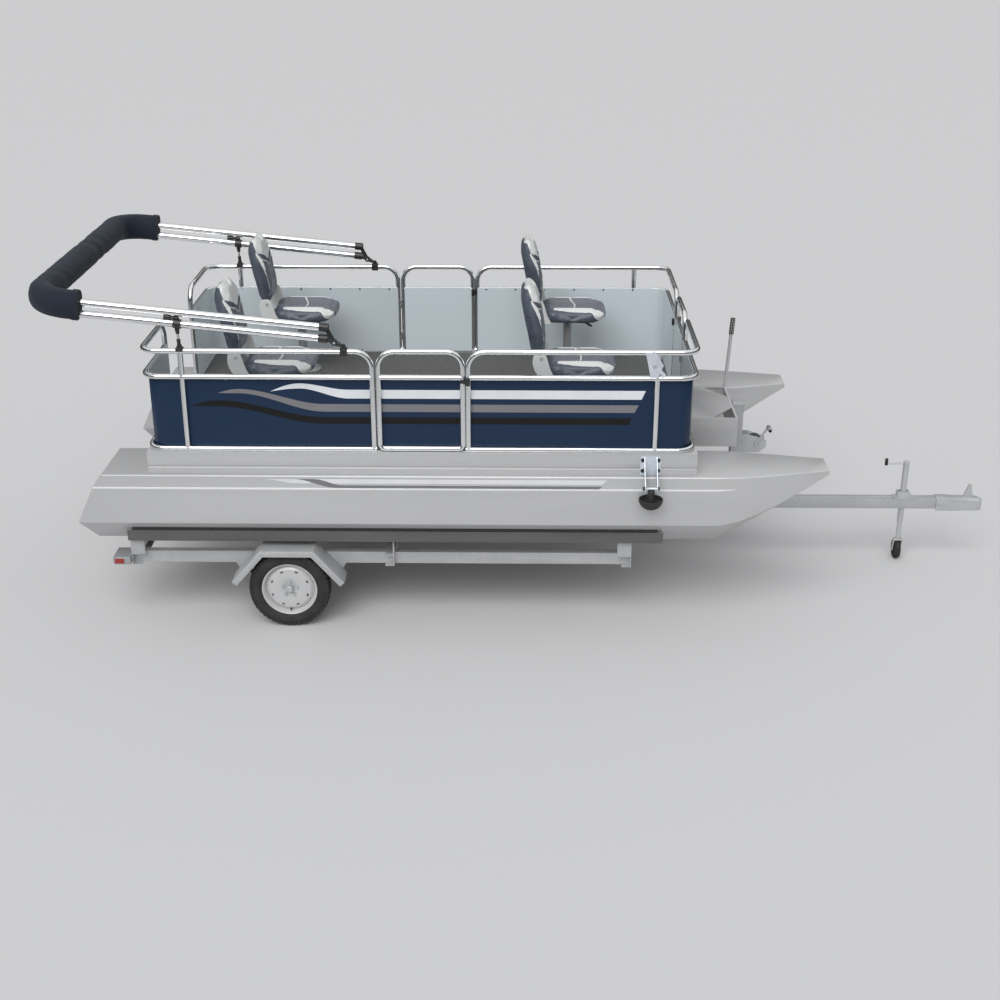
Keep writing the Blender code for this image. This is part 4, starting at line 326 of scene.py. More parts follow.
def fastener_tree():
    """Geometry nodes: a hexagon head on a round washer at every point, turned to its facing."""
    tree, taken, given = node_group(
        "fasteners", "GeometryNodeTree",
        {"Points": "Geometry", "Head Width": "Float", "Head Height": "Float", "Sides": "Int",
         "Metal": "Material"}, {"Fasteners": "Geometry"})
    head = added(tree, "GeometryNodeMeshCylinder", {
        "Vertices": taken["Sides"], "Radius": worked(tree, "MULTIPLY", taken["Head Width"], HEX_SHARE),
        "Depth": taken["Head Height"]})
    washer = added(tree, "GeometryNodeMeshCylinder", {
        "Vertices": WASHER_SIDES,
        "Radius": worked(tree, "MULTIPLY", taken["Head Width"], WASHER_WIDE_SHARE),
        "Depth": worked(tree, "MULTIPLY", taken["Head Height"], WASHER_HIGH_SHARE)})
    lift = added(tree, "ShaderNodeCombineXYZ", {"Z": worked(tree, "MULTIPLY", taken["Head Height"], 0.5)})
    raised = added(tree, "GeometryNodeTransform", {"Geometry": head.outputs["Mesh"],
                                                   "Translation": lift.outputs[0]})
    both = added(tree, "GeometryNodeJoinGeometry", {0: raised.outputs[0]})
    fed(tree, both, {0: washer.outputs["Mesh"]})
    facing = added(tree, "GeometryNodeInputNamedAttribute", {"Name": "facing"}, data_type="FLOAT_VECTOR")
    turned = added(tree, "FunctionNodeAlignRotationToVector", {"Vector": facing.outputs["Attribute"]},
                   axis="Z")
    placed = added(tree, "GeometryNodeInstanceOnPoints", {
        "Points": taken["Points"], "Instance": both.outputs[0], "Rotation": turned.outputs[0]})
    return realised(tree, placed, taken["Metal"], given)


FASTENERS = fastener_tree()


def evaluated(item):
    """An object as its modifiers leave it, as a plain mesh."""
    bpy.context.view_layer.update()
    return bpy.data.meshes.new_from_object(item.evaluated_get(bpy.context.evaluated_depsgraph_get()))


def grown(item, tree, values):
    """Runs a node tree on an object and makes its result the object's plain mesh."""
    modifier = item.modifiers.new("grown", "NODES")
    modifier.node_group = tree
    keys = {entry.name: entry.identifier for entry in tree.interface.items_tree
            if entry.item_type == "SOCKET" and entry.in_out == "INPUT"}
    for label, value in values.items():
        modifier[keys[label]] = value
    item.update_tag()
    result = evaluated(item)
    item.modifiers.remove(modifier)
    old = item.data
    item.data = result
    bpy.data.meshes.remove(old)
    return item


def fasteners(name, places, material, body, width=BOLT_WIDTH, height=BOLT_HEIGHT, sides=6):
    """Bolts or rivets at pairs of a point and a facing, as one piece."""
    points = bpy.data.meshes.new(name)
    points.from_pydata([tuple(point) for point, _ in places], [], [])
    attribute = points.attributes.new("facing", "FLOAT_VECTOR", "POINT")
    for index, (_, facing) in enumerate(places):
        attribute.data[index].vector = facing
    item = grown(linked(name, points), FASTENERS,
                 {"Head Width": width, "Head Height": height, "Sides": sides, "Metal": material})
    smooth(item.data)
    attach(item, body)
    return item


ROOT = "boat_and_trailer"
SIDES = (("starboard", -1), ("port", 1))
galvanised_steel = galvanised("galvanised_steel", GALVANISED_GREY, GALVANISED_DARK, 0.50)
zinc_plate = galvanised("zinc_plate", ZINC_GREY, GALVANISED_DARK, 0.36, contrast=0.35)
dressed("trailer_frame", "trailer_frame_channel", galvanised_steel, ROOT)

frame_low, frame_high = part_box("trailer_frame")
middle_y = (frame_low.y + frame_high.y) / 2
beam_places = []
for _, side in SIDES:
    edge = middle_y + side * (frame_high.y - frame_low.y) / 2
    for inset in BEAM_BOLT_INSETS:
        beam_places.append(((frame_low.x, edge - side * inset, frame_high.z - BEAM_BOLT_BELOW), (-1, 0, 0)))
fasteners("rear_beam_bolts", beam_places, zinc_plate, ROOT)

# Axle. A square tube beam with leaf springs over it, all in black paint that has
# dulled and picked up road dust, held down by U-bolts.
BLACK_PAINT = (0.055, 0.055, 0.058)
AXLE_HALF = 0.0225
SPRING_PLACE = 0.930
SPRING_HALF = 0.020
U_BOLT_RADIUS = 0.0055
U_BOLT_TOP = 0.045
U_BOLT_FOOT = 0.036
U_BOLT_BEND = 0.010

def arc_path(corners, radii, steps=8):
    """A path through the corners with each one rounded to its radius."""
    points = [Vector(corner) for corner in corners]
    if not isinstance(radii, (tuple, list)):
        radii = [radii] * (len(points) - 2)
    path = [points[0]]
    for before, corner, after, radius in zip(points, points[1:], points[2:], radii):
        inward = (corner - before).normalized()
        outward = (after - corner).normalized()
        turn = inward.angle(outward)
        start = corner - inward * radius * math.tan(turn / 2)
        pivot = inward.cross(outward).normalized()
        centre = start + pivot.cross(inward) * radius
        for step in range(steps + 1):
            path.append(centre + Matrix.Rotation(turn * step / steps, 3, pivot) @ (start - centre))
    path.append(points[-1])
    return path


def lofted(shape, rings, looped=False):
    """A closed body over equal rings of points, with flat ends or looped round."""
    rows = [[shape.verts.new(point) for point in ring] for ring in rings]
    for near, far in zip(rows, rows[1:] + rows[:1] if looped else rows[1:]):
        for j in range(len(near)):
            k = (j + 1) % len(near)
            shape.faces.new((near[j], near[k], far[k], far[j]))
    if not looped:
        shape.faces.new(rows[0][::-1])
        shape.faces.new(rows[-1])
    return shape


def swept(shape, path, section, looped=False):
    """Carries a flat section of (side, up) pairs along a path, cut square at each bend."""
    count = len(path)
    heading = ((path[0] - path[-1]) if looped else (path[1] - path[0])).normalized()
    start = path[-1] if looped else path[0]
    up = Vector((0, 0, 1)) if abs(heading.z) < 0.9 else Vector((1, 0, 0))
    side = heading.cross(up).normalized()
    up = side.cross(heading)
    ring = [start + side * a + up * b for a, b in section]
    rings = []
    for index, point in enumerate(path):
        arriving = path[index] - path[index - 1] if index or looped else None
        leaving = path[(index + 1) % count] - point if index < count - 1 or looped else None
        arriving = (arriving or leaving).normalized()
        leaving = (leaving or arriving).normalized()
        across = (arriving + leaving).normalized()
        ring = [corner + arriving * ((point - corner).dot(across) / arriving.dot(across)) for corner in ring]
        rings.append(ring)
    lofted(shape, rings, looped)


def oval(half_width, half_height, sides):
    """A circle or an oval as a section."""
    turns = [2 * math.pi * step / sides for step in range(sides)]
    return [(half_width * math.cos(turn), half_height * math.sin(turn)) for turn in turns]


def piped(shape, path, radius, sides=20, looped=False):
    """A round tube along a path."""
    swept(shape, [Vector(point) for point in path], oval(radius, radius, sides), looped)


black_paint = finish("chassis_black", BLACK_PAINT, 0.52, stain=(0.16, 0.15, 0.14), stain_share=0.45,
                     patch=7.0)
dressed("axle", "axle_beam", black_paint, ROOT)
wheel_box = {name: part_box("tyre_" + name) for name, _ in SIDES}
axle_x = sum(corner.x for corner in wheel_box["starboard"]) / 2
axle_z = sum(corner.z for corner in wheel_box["starboard"]) / 2
top, foot = axle_z + U_BOLT_TOP, axle_z - U_BOLT_FOOT
clamps = bmesh.new()
for _, side in SIDES:
    spring_y = middle_y + side * SPRING_PLACE
    near, far = spring_y - SPRING_HALF, spring_y + SPRING_HALF
    for end in (-1, 1):
        x = axle_x + end * (AXLE_HALF + U_BOLT_RADIUS)
        path = arc_path(((x, near, foot), (x, near, top), (x, far, top), (x, far, foot)), U_BOLT_BEND, 4)
        piped(clamps, path, U_BOLT_RADIUS, 10)
made_object("axle_u_bolts", clamps, zinc_plate, ROOT)

# Wheels. Small trailer tyres on pressed steel rims that were sprayed pale grey; the tread is
# cut in blocks, the wall carries moulded ribs, and five plated nuts hold each rim.
TYRE_RUBBER = (0.024, 0.024, 0.025)
RIM_PAINT = (0.50, 0.503, 0.507)
WHEEL_STEPS = 96
TREAD_DEPTH = 0.008
TREAD_COUNT = 46
# Share of the tyre's half width, share of the radius, and turn in block pitches
TREAD_ROWS = ((-0.80, 0.978, 0.0), (-0.38, 0.998, 0.5), (0.0, 1.0, 0.0), (0.38, 0.998, 0.5),
              (0.80, 0.978, 0.0))
TREAD_SPREAD = 0.92
# A block's length round the tyre as a share of its pitch, and its width as one of the tyre's half
BLOCK_SHARES = (0.80, 0.30)
BEAD_RADIUS = 0.168
RIM_HALF, RIM_NEAR = 0.0458, 0.0403
NUT_CIRCLE = 0.050
NUT_COUNT = 5
NUT_WIDTH, NUT_HEIGHT = 0.015, 0.014
NUT_FACE = 0.0275
NUT_TURN = 0.3
SLOT_COUNT = 8
SLOT_RADIUS = 0.122
SLOT_SIZE = (0.022, 0.012)
SLOT_CORNER = 0.005
CUTTER_HALF = 0.06
VALVE_FOOT = (0.012, -0.151)
VALVE_TIP = (0.042, -0.147)
VALVE_RADIUS = 0.0042


def revolved(shape, profile, axis, centre, steps=WHEEL_STEPS):
    """A closed profile of (distance along the axis, radius) turned about it."""
    rings = []
    for step in range(steps):
        turn = 2 * math.pi * step / steps
        ring = []
        for distance, radius in profile:
            a, b = radius * math.cos(turn), radius * math.sin(turn)
            spot = {"x": (distance, a, b), "y": (a, distance, b), "z": (a, b, distance)}[axis]
            ring.append(Vector(centre) + Vector(spot))
        rings.append(ring)
    lofted(shape, rings, looped=True)
    bmesh.ops.remove_doubles(shape, verts=shape.verts, dist=0.000005)
    return shape


def rounded(points, radius, steps=3):
    """A flat closed outline with each corner rounded."""
    count = len(points)
    result = []
    for index in range(count):
        before, corner, after = (Vector(points[(index + step) % count]) for step in (-1, 0, 1))
        inward, outward = (before - corner).normalized(), (after - corner).normalized()
        reach = min(radius, (before - corner).length / 2.2, (after - corner).length / 2.2)
        start, stop = corner + inward * reach, corner + outward * reach
        for step in range(steps + 1):
            share = step / steps
            result.append((start * (1 - share) ** 2 + corner * 2 * share * (1 - share) + stop * share ** 2))
    return [tuple(point) for point in result]


def tread_tree():
    """Geometry nodes: a ring of blocks about the wheel's axis for each row point."""
    tree, taken, given = node_group(
        "tread_blocks", "GeometryNodeTree",
        {"Rows": "Geometry", "Radius": "Float", "Count": "Int", "Block": "Vector", "Rubber": "Material"},
        {"Tread": "Geometry"})
    ring = added(tree, "GeometryNodeMeshCircle", {"Vertices": taken["Count"], "Radius": taken["Radius"]})
    block = added(tree, "GeometryNodeMeshCube", {"Size": taken["Block"]})
    spot = added(tree, "GeometryNodeInputPosition")
    outward = added(tree, "FunctionNodeAlignRotationToVector", {"Vector": spot.outputs[0]}, axis="X")
    blocks = added(tree, "GeometryNodeInstanceOnPoints", {
        "Points": ring.outputs["Mesh"], "Instance": block.outputs["Mesh"], "Rotation": outward.outputs[0]})
    upright = added(tree, "GeometryNodeTransform", {"Geometry": blocks.outputs[0],
                                                    "Rotation": (math.pi / 2, 0, 0)})
    turn = added(tree, "GeometryNodeInputNamedAttribute", {"Name": "turn"}).outputs["Attribute"]
    size = added(tree, "GeometryNodeInputNamedAttribute", {"Name": "size"}).outputs["Attribute"]
    about = added(tree, "ShaderNodeCombineXYZ", {"Y": turn})
    scaled = added(tree, "ShaderNodeCombineXYZ", {"X": size, "Y": 1.0, "Z": size})
    rows = added(tree, "GeometryNodeInstanceOnPoints", {
        "Points": taken["Rows"], "Instance": upright.outputs[0], "Rotation": about.outputs[0],
        "Scale": scaled.outputs[0]})
    return realised(tree, rows, taken["Rubber"], given)


rubber = finish("tyre_rubber", TYRE_RUBBER, 0.78, stain=(0.060, 0.057, 0.054), stain_share=0.5, patch=12.0,
                grain=420.0, depth=0.0004, shine=0.3)
rim_paint = finish("rim_paint", RIM_PAINT, 0.34, metallic=0.1, stain=(0.55, 0.54, 0.52), stain_share=0.25,
                   patch=9.0, grain=240.0, depth=0.0001, coat=0.2)
TREAD = tread_tree()
for name, side in SIDES:
    low, high = wheel_box[name]
    centre = Vector((axle_x, (low.y + high.y) / 2, axle_z))
    radius = axle_z
    half = (high.y - low.y) / 2
    body = "wheel_" + name
    floor_of_tread = radius - TREAD_DEPTH
    wall = [(0.78 * half, floor_of_tread - 0.006), (0.90 * half, floor_of_tread - 0.018),
            (0.97 * half, floor_of_tread - 0.032), (0.995 * half, 0.222), (half, 0.214),
            (0.985 * half, 0.206), (0.985 * half, 0.203), (0.955 * half, 0.200), (0.955 * half, 0.197),
            (0.90 * half, 0.190), (0.80 * half, 0.183), (0.70 * half, 0.179), (0.67 * half, BEAD_RADIUS)]
    crown = [(share * 0.78 * half, floor_of_tread - 0.006 * share ** 2) for share in (0.8, 0.5, 0.2)]
    profile = crown[::-1] + wall
    profile = profile + [(-distance, size) for distance, size in reversed(profile)]
    carcass = revolved(bmesh.new(), profile, "y", centre)
    tyre = made_object("tyre_wall_" + name, carcass, rubber, body, angle=22)
    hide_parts("tyre_" + name)
    rows = bpy.data.meshes.new("tread_" + name)
    rows.from_pydata([(0, share * half * TREAD_SPREAD, 0) for share, _, _ in TREAD_ROWS], [], [])
    pitch = 2 * math.pi / TREAD_COUNT
    for label, column, factor in (("size", 1, 1.0), ("turn", 2, pitch)):
        attribute = rows.attributes.new(label, "FLOAT", "POINT")
        for index, row in enumerate(TREAD_ROWS):
            attribute.data[index].value = row[column] * factor
    block = (TREAD_DEPTH * 2, pitch * radius * BLOCK_SHARES[0], half * BLOCK_SHARES[1])
    tread = grown(linked("tread_" + name, rows), TREAD,
                  {"Radius": radius - TREAD_DEPTH, "Count": TREAD_COUNT, "Block": block, "Rubber": rubber})
    tread.data.transform(Matrix.Translation(centre))
    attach(tread, body)
    disc = [(0.018, 0.0), (0.018, 0.030), (0.024, 0.046), (0.030, 0.062), (0.0305, 0.100), (0.028, 0.134),
            (0.018, 0.148), (0.010, 0.156), (RIM_HALF - 0.016, 0.161), (RIM_HALF - 0.002, 0.172),
            (RIM_HALF, 0.176), (RIM_HALF, 0.1785), (RIM_NEAR, 0.1785), (RIM_NEAR, 0.1677),
            (-RIM_NEAR, 0.1677), (-RIM_NEAR, 0.1785), (-RIM_HALF, 0.1785), (-RIM_HALF, 0.174),
            (-RIM_NEAR, 0.163), (0.006, 0.157), (0.010, 0.148), (0.022, 0.134), (0.0245, 0.100),
            (0.022, 0.058), (0.010, 0.032), (0.010, 0.0)]
    pressed = revolved(bmesh.new(), [(side * d, r) for d, r in disc], "y", centre, 80)
    holes = bmesh.new()
    outline = rounded([(SLOT_RADIUS + a * SLOT_SIZE[1] / 2, b * SLOT_SIZE[0] / 2)
                       for a, b in ((-1, -1), (1, -1), (1, 1), (-1, 1))], SLOT_CORNER)
    for index in range(SLOT_COUNT):
        turn = Matrix.Rotation(2 * math.pi * (index + 0.5) / SLOT_COUNT, 4, "Y")
        lofted(holes, [[turn @ Vector((a, depth, b)) + centre for a, b in outline]
                       for depth in (-CUTTER_HALF, CUTTER_HALF)])
    solids = []
    for label, solid in (("rim_" + name + "_disc", pressed), ("slots", holes)):
        bmesh.ops.recalc_face_normals(solid, faces=solid.faces)
        mesh = bpy.data.meshes.new(label)
        solid.to_mesh(mesh)
        solid.free()
        solids.append(linked(label, mesh))
    rim, cutter = solids
    rim.data.materials.append(rim_paint)
    cut = rim.modifiers.new("slots", "BOOLEAN")
    cut.operation, cut.solver, cut.object = "DIFFERENCE", "EXACT", cutter
    result = evaluated(rim)
    rim.modifiers.clear()
    rim.data = result
    bpy.data.objects.remove(cutter, do_unlink=True)
    smooth(rim.data, 25)
    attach(rim, body)
    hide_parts("rim_" + name)
    hub = [(-0.052, 0.0), (-0.052, 0.034), (0.010, 0.034), (0.019, 0.0335), (0.019, 0.024), (0.030, 0.0235),
           (0.048, 0.0215), (0.0515, 0.018), (0.0525, 0.0)]
    cap = revolved(bmesh.new(), [(side * d, r) for d, r in hub], "y", centre, 40)
    made_object("hub_" + name, cap, zinc_plate, body)
    nuts = []
    for index in range(NUT_COUNT):
        turn = 2 * math.pi * index / NUT_COUNT + NUT_TURN
        spot = Vector((NUT_CIRCLE * math.cos(turn), side * NUT_FACE, NUT_CIRCLE * math.sin(turn)))
        nuts.append((centre + spot, (0, side, 0)))
    fasteners("wheel_nuts_" + name, nuts, zinc_plate, body, NUT_WIDTH, NUT_HEIGHT)
    valve = bmesh.new()
    piped(valve, [centre + Vector((0, side * y, z)) for y, z in (VALVE_FOOT, VALVE_TIP)], VALVE_RADIUS, 10)
    made_object("valve_" + name, valve, rubber, body)

# Mudguards and bunks. Plate mudguards are welded to stays on the rail; each bunk is a pressed
# channel in charcoal paint under a strip of marine carpet on a board.
BUNK_PAINT = (0.088, 0.088, 0.091)
CARPET_BLACK = (0.022, 0.022, 0.024)
bunk_paint = finish("bunk_charcoal", BUNK_PAINT, 0.50, stain=(0.17, 0.17, 0.165), stain_share=0.4, patch=3.0,
                    stretch=(0.3, 1, 1), grain=220.0, depth=0.0003)
carpet = finish("bunk_carpet", CARPET_BLACK, 0.95, stain=(0.06, 0.06, 0.06), stain_share=0.5, patch=30.0,
                grain=900.0, depth=0.0012)
for name, _ in SIDES:
    dressed("fender_" + name, "fender_" + name + "_plate", galvanised_steel, ROOT)
    dressed("bunk_" + name, "bunk_" + name + "_channel", bunk_paint, ROOT)
    dressed("bunk_pad_" + name, "bunk_" + name + "_carpet", carpet, ROOT, edge=0.004, segments=3)

# Tail lamps. Plated boxes bolted behind the rear beam, with moulded red lenses
# on the back and round the outer corner.
LAMP_GREY = (0.40, 0.405, 0.41)
LENS_RED = (0.30, 0.012, 0.010)
LENS_RIBS = 9
LENS_RIB_SHARE = 0.86
LENS_THICK = 0.0030
LENS_BORDER = 0.0085
LENS_OUTER, LENS_INNER = 0.013, 0.009
# Where the lens starts and stops round the corner, as shares of the lamp's depth past its start
CORNER_START = 0.013
CORNER_SHARES = (0.01, 0.53)


def joined(shape, part):
    """Adds one bmesh to another."""
    carrier = bpy.data.meshes.new("carrier")
    part.to_mesh(carrier)
    part.free()
    shape.from_mesh(carrier)
    bpy.data.meshes.remove(carrier)


def slab(shape, low, high, edge=0.0, segments=2):
    """A box between two corners, with its edges broken."""
    part = bmesh.new()
    centre = [(a + b) / 2 for a, b in zip(low, high)]
    size = [abs(b - a) for a, b in zip(low, high)]
    bmesh.ops.create_cube(part, size=1.0, matrix=Matrix.Translation(centre) @ Matrix.Diagonal((*size, 1)))
    if edge:
        bmesh.ops.bevel(part, geom=part.edges[:], offset=edge, segments=segments, affect="EDGES",
                        clamp_overlap=True)
    joined(shape, part)


def faces_of(node, side):
    """A node's box, with its outer and inner faces on one side of the boat."""
    low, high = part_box(node)
    outer, inner = (high.y, low.y) if side > 0 else (low.y, high.y)
    return low, high, outer, inner


lamp_shell = finish("lamp_shell", LAMP_GREY, 0.42, metallic=0.5, patch=20.0)
lens_red = finish("lens_red", LENS_RED, 0.14, stain=(0.22, 0.01, 0.01), stain_share=0.2, grain=500.0,
                  depth=0.00005, coat=0.6)
for name, side in SIDES:
    dressed("tail_lamp_" + name, "lamp_" + name + "_shell", lamp_shell, ROOT, edge=0.0015)
    low, high, outer, inner = faces_of("tail_lamp_" + name, side)
    top, foot = high.z - LENS_BORDER, low.z + LENS_BORDER
    start, stop = outer - side * LENS_OUTER, inner + side * LENS_INNER
    lens = bmesh.new()
    for index in range(LENS_RIBS):
        near, far = (start + (stop - start) * (index + part) / LENS_RIBS for part in (0, LENS_RIB_SHARE))
        slab(lens, (low.x + 0.0001, near, foot), (low.x + 0.0001 + LENS_THICK, far, top), 0.0007)
    near, far = (low.x + CORNER_START + (high.x - low.x) * share for share in CORNER_SHARES)
    slab(lens, (near, outer - side * 0.0023, foot), (far, outer + side * 0.0007, top), 0.0007)
    made_object("lamp_" + name + "_lens", lens, lens_red, ROOT)

# Jack and coupler. A plated tube jack is clamped through the tongue, with a crank, a swivelling
# fork and a solid rubber wheel; the pressed ball coupler is bolted over the tongue's end.
JACK_TUBE = 0.0205
JACK_LEG = 0.0165
JACK_LEG_TOP = 0.285
JACK_CAP_DROP = 0.020
CRANK_DROP = 0.0375
CRANK_REACH = 0.012
CRANK_RISE = 0.036
CRANK_RADIUS = 0.0055
KNOB_DROP = 0.012
# Height up the knob and its radius
KNOB = ((0, 0), (0, 0.009), (0.004, 0.0118), (0.030, 0.0105), (0.045, 0.0118), (0.0495, 0.008), (0.0495, 0))
TONGUE_TOP = 0.474
FLANGE_HALF = (0.070, 0.040)
FLANGE_THICK = 0.006
CHEEK_HALF = 0.045
CHEEK_INNER, CHEEK_OUTER = 0.0205, 0.0265
CHEEK_RISE = 0.050
JACK_BOLT_HALF = (0.055, 0.028)
COUPLER_BOLT_START, COUPLER_BOLT_STEP = 0.020, 0.038
COUPLER_BOLT_SIDE, COUPLER_BOLT_HEIGHT = 0.0453, 0.440
jack_low, jack_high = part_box("jack")
fork_low, fork_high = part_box("jack_fork")
jack_x = (fork_low.x + fork_high.x) / 2
tube = bmesh.new()
foot, top = jack_low.z, jack_high.z - JACK_CAP_DROP
revolved(tube, [(foot, 0), (foot, JACK_LEG - 0.001), (foot + 0.001, JACK_LEG), (JACK_LEG_TOP, JACK_LEG),
                (JACK_LEG_TOP, JACK_TUBE - 0.001), (JACK_LEG_TOP + 0.003, JACK_TUBE),
                (top - 0.022, JACK_TUBE), (top - 0.022, JACK_TUBE + 0.001), (top - 0.003, JACK_TUBE + 0.001),
                (top, JACK_TUBE - 0.003), (top, 0)], "z", (jack_x, middle_y, 0), 40)
made_object("jack_tube", tube, zinc_plate, ROOT)
arm = bmesh.new()
crank_z = jack_high.z - CRANK_DROP
reach = jack_low.x + CRANK_REACH
piped(arm, arc_path(((jack_x, middle_y, crank_z), (reach, middle_y, crank_z),
                     (reach, middle_y, crank_z + CRANK_RISE)), 0.010, 6), CRANK_RADIUS, 14)
made_object("jack_crank", arm, zinc_plate, ROOT)
knob = bmesh.new()
revolved(knob, [(crank_z - KNOB_DROP + rise, radius) for rise, radius in KNOB], "z", (reach, middle_y, 0), 24)
grip_black = finish("grip_black", (0.018, 0.018, 0.019), 0.55, grain=500.0, depth=0.0002)
made_object("jack_knob", knob, grip_black, ROOT)
plate = bmesh.new()
flange_top = TONGUE_TOP + FLANGE_THICK
slab(plate, (jack_x - FLANGE_HALF[0], middle_y - FLANGE_HALF[1], TONGUE_TOP),
     (jack_x + FLANGE_HALF[0], middle_y + FLANGE_HALF[1], flange_top), 0.0015)
for side in (-1, 1):
    slab(plate, (jack_x - CHEEK_HALF, middle_y + side * CHEEK_INNER, TONGUE_TOP + 0.004),
         (jack_x + CHEEK_HALF, middle_y + side * CHEEK_OUTER, TONGUE_TOP + CHEEK_RISE), 0.002)
flange = made_object("jack_flange", plate, zinc_plate, ROOT)
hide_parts("jack")
fasteners("jack_bolts", [((jack_x + a * JACK_BOLT_HALF[0], middle_y + b * JACK_BOLT_HALF[1], flange_top),
                          (0, 0, 1)) for a in (-1, 1) for b in (-1, 1)], zinc_plate, ROOT, 0.013, 0.006)
dressed("jack_fork", "jack_fork_plates", zinc_plate, "jack_swivel", edge=0.0008)
wheel_low, wheel_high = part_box("jack_wheel")
centre = (wheel_low + wheel_high) / 2
half = (wheel_high.x - wheel_low.x) / 2
profile = [(half, 0.0066), (half, 0.019), (half * 0.62, 0.024), (half * 0.60, 0.044), (half * 0.95, 0.048),
           (half, 0.052), (half, 0.060), (half * 0.93, 0.066), (half * 0.62, centre.z)]
profile += [(-d, r) for d, r in reversed(profile)]
solid = revolved(bmesh.new(), profile, "x", centre, 56)
jack_tyre = made_object("jack_wheel_solid", solid, rubber, "jack_roller")
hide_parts("jack_wheel")
dressed("coupler", "coupler_pressing", zinc_plate, ROOT, edge=0.002, segments=3)
coupler_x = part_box("coupler")[0].x + COUPLER_BOLT_START
fasteners("coupler_bolts", [((coupler_x + step * COUPLER_BOLT_STEP, middle_y + side * COUPLER_BOLT_SIDE,
                              COUPLER_BOLT_HEIGHT), (0, side, 0)) for step in (0, 1) for side in (-1, 1)],
          zinc_plate, ROOT, 0.016, 0.007)

# Winch. A hand winch bolted to a square post on the tongue, with webbing wound
# on its drum and a black grip on its crank.
WEBBING = (0.045, 0.05, 0.06)
DRUM_PLACE = (0.0935, 0.890)
DRUM_HALF = 0.034
WOUND_RADIUS, WOUND_STEP = 0.0493, 0.0005
WOUND_RINGS = 69
CRANK_TURN = math.radians(58.0)
CRANK_LENGTH = 0.151
# Distance along the grip and its radius
WINCH_GRIP = ((0, 0), (0, 0.010), (0.004, 0.0136), (0.030, 0.0128), (0.055, 0.0138), (0.076, 0.0128),
              (0.080, 0.009), (0.080, 0))
dressed("winch_post", "winch_post_tube", galvanised_steel, ROOT, edge=0.003, segments=3)
dressed("winch", "winch_cheeks", zinc_plate, ROOT, edge=0.0008)
winch_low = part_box("winch")[0]
webbing = finish("winch_webbing", WEBBING, 0.85, stretch=(1, 6, 1), grain=700.0, depth=0.0008)
drum = Vector((winch_low.x + DRUM_PLACE[0], middle_y, DRUM_PLACE[1]))
turns = [(-DRUM_HALF, 0.0)]
for index in range(WOUND_RINGS):
    turns.append((-DRUM_HALF + 0.001 * index, WOUND_RADIUS + WOUND_STEP * (index % 2)))
turns.append((DRUM_HALF, 0.0))
made_object("winch_strap", revolved(bmesh.new(), turns, "y", drum, 40), webbing, ROOT)
tip = drum + Vector((math.cos(CRANK_TURN), 0, math.sin(CRANK_TURN))) * CRANK_LENGTH
handle = revolved(bmesh.new(), WINCH_GRIP, "y", (tip.x, winch_low.y, tip.z), 24)
made_object("winch_grip", handle, grip_black, ROOT)

# Pontoons. Two welded aluminium hulls, mill finished with faint rolling lines along their length,
# with a lap joint, welded seams whose pale beads are partly a painted highlight, and a short printed flash on
# the outer side.
HULL_GREY = (0.515, 0.517, 0.520)
HULL_STAIN = (0.41, 0.413, 0.417)
WELD_RADIUS = 0.0028
SEAM_HEIGHT = 0.9735
SEAM_AFT, SEAM_FORE = 0.118, 0.165
SEAM_SINK = 0.0065
FLASH_LIFT = 0.0006
FLASH_SINK = 0.009
hull_skin = finish("hull_aluminium", HULL_GREY, 0.40, metallic=0.30, stain=HULL_STAIN, stain_share=0.40,
                   patch=2.2, stretch=(0.22, 1.0, 1.6), spread=0.18, grain=260.0, depth=0.00012)
# The seam beads are painted paler than the hull: partly the weld's own bright metal, partly a painted
# highlight along the seam line.
seam_bead_highlight = finish("weld_bead_painted_highlight", (0.72, 0.725, 0.73), 0.34, metallic=0.4, patch=40.0, grain=600.0,
                    depth=0.0008)
flash_white = finish("flash_white", (0.68, 0.69, 0.70), 0.35, grain=400.0, depth=0.00003)
flash_grey = finish("flash_grey", (0.175, 0.175, 0.183), 0.35, grain=400.0, depth=0.00003)
BOAT_MIDDLE = 0.7715
FLASH_TOP = 1.0365
WHITE_FOOT = 1.0070
GREY_TOP = 0.9950
GREY_FOOT = 0.9770


def curve_share(value):
    """An even ease from nought to one."""
    value = min(max(value, 0.0), 1.0)
    return value * value * (3 - 2 * value)


def wave_band(tip, crest_x, level_x, level_heights, crest_heights):
    """Top and bottom heights of a stripe that starts at a tip, swells over a crest and runs level."""
    tip_x, tip_z = tip

    def heights(x):
        if x < crest_x:
            share = math.sin(math.pi / 2 * max(x - tip_x, 0.0) / (crest_x - tip_x))
            return [tip_z + (crest - tip_z) * share for crest in crest_heights]
        share = curve_share((x - crest_x) / (level_x - crest_x))
        return [crest + (level - crest) * share for crest, level in zip(crest_heights, level_heights)]
    return heights


def band_mesh(shape, heights, start, stop, rake, face_y, side, lift, columns=60):
    """A thin printed band on an upright face, from one station to another, with a raked end."""
    near, far = face_y, face_y + side * lift
    rings = []
    for index in range(columns + 1):
        x = start + (stop - start) * index / columns
        top, low = heights(x)
        lean = rake * (index == columns)
        rings.append([(x + lean, near, top), (x + lean, far, top), (x, far, low), (x, near, low)])
    lofted(shape, rings)
    bmesh.ops.remove_doubles(shape, verts=shape.verts, dist=0.00001)


def moved(heights, shift):
    """The same stripe in the frame's own stations."""
    return lambda x: heights(x + shift)


def swoop(x, start, run, foot, top=FLASH_TOP):
    """A height that eases from the flash's top down to its foot."""
    return top - (top - foot) * curve_share((x - start) / run)


def swoop_foot(x):
    """The grey flash's lower edge: it drops across the white one and runs level."""
    return swoop(x, -0.79, 0.26, GREY_FOOT)


def swoop_top(x):
    """The grey flash's upper edge."""
    return swoop(x, -0.67, 0.18, GREY_TOP)


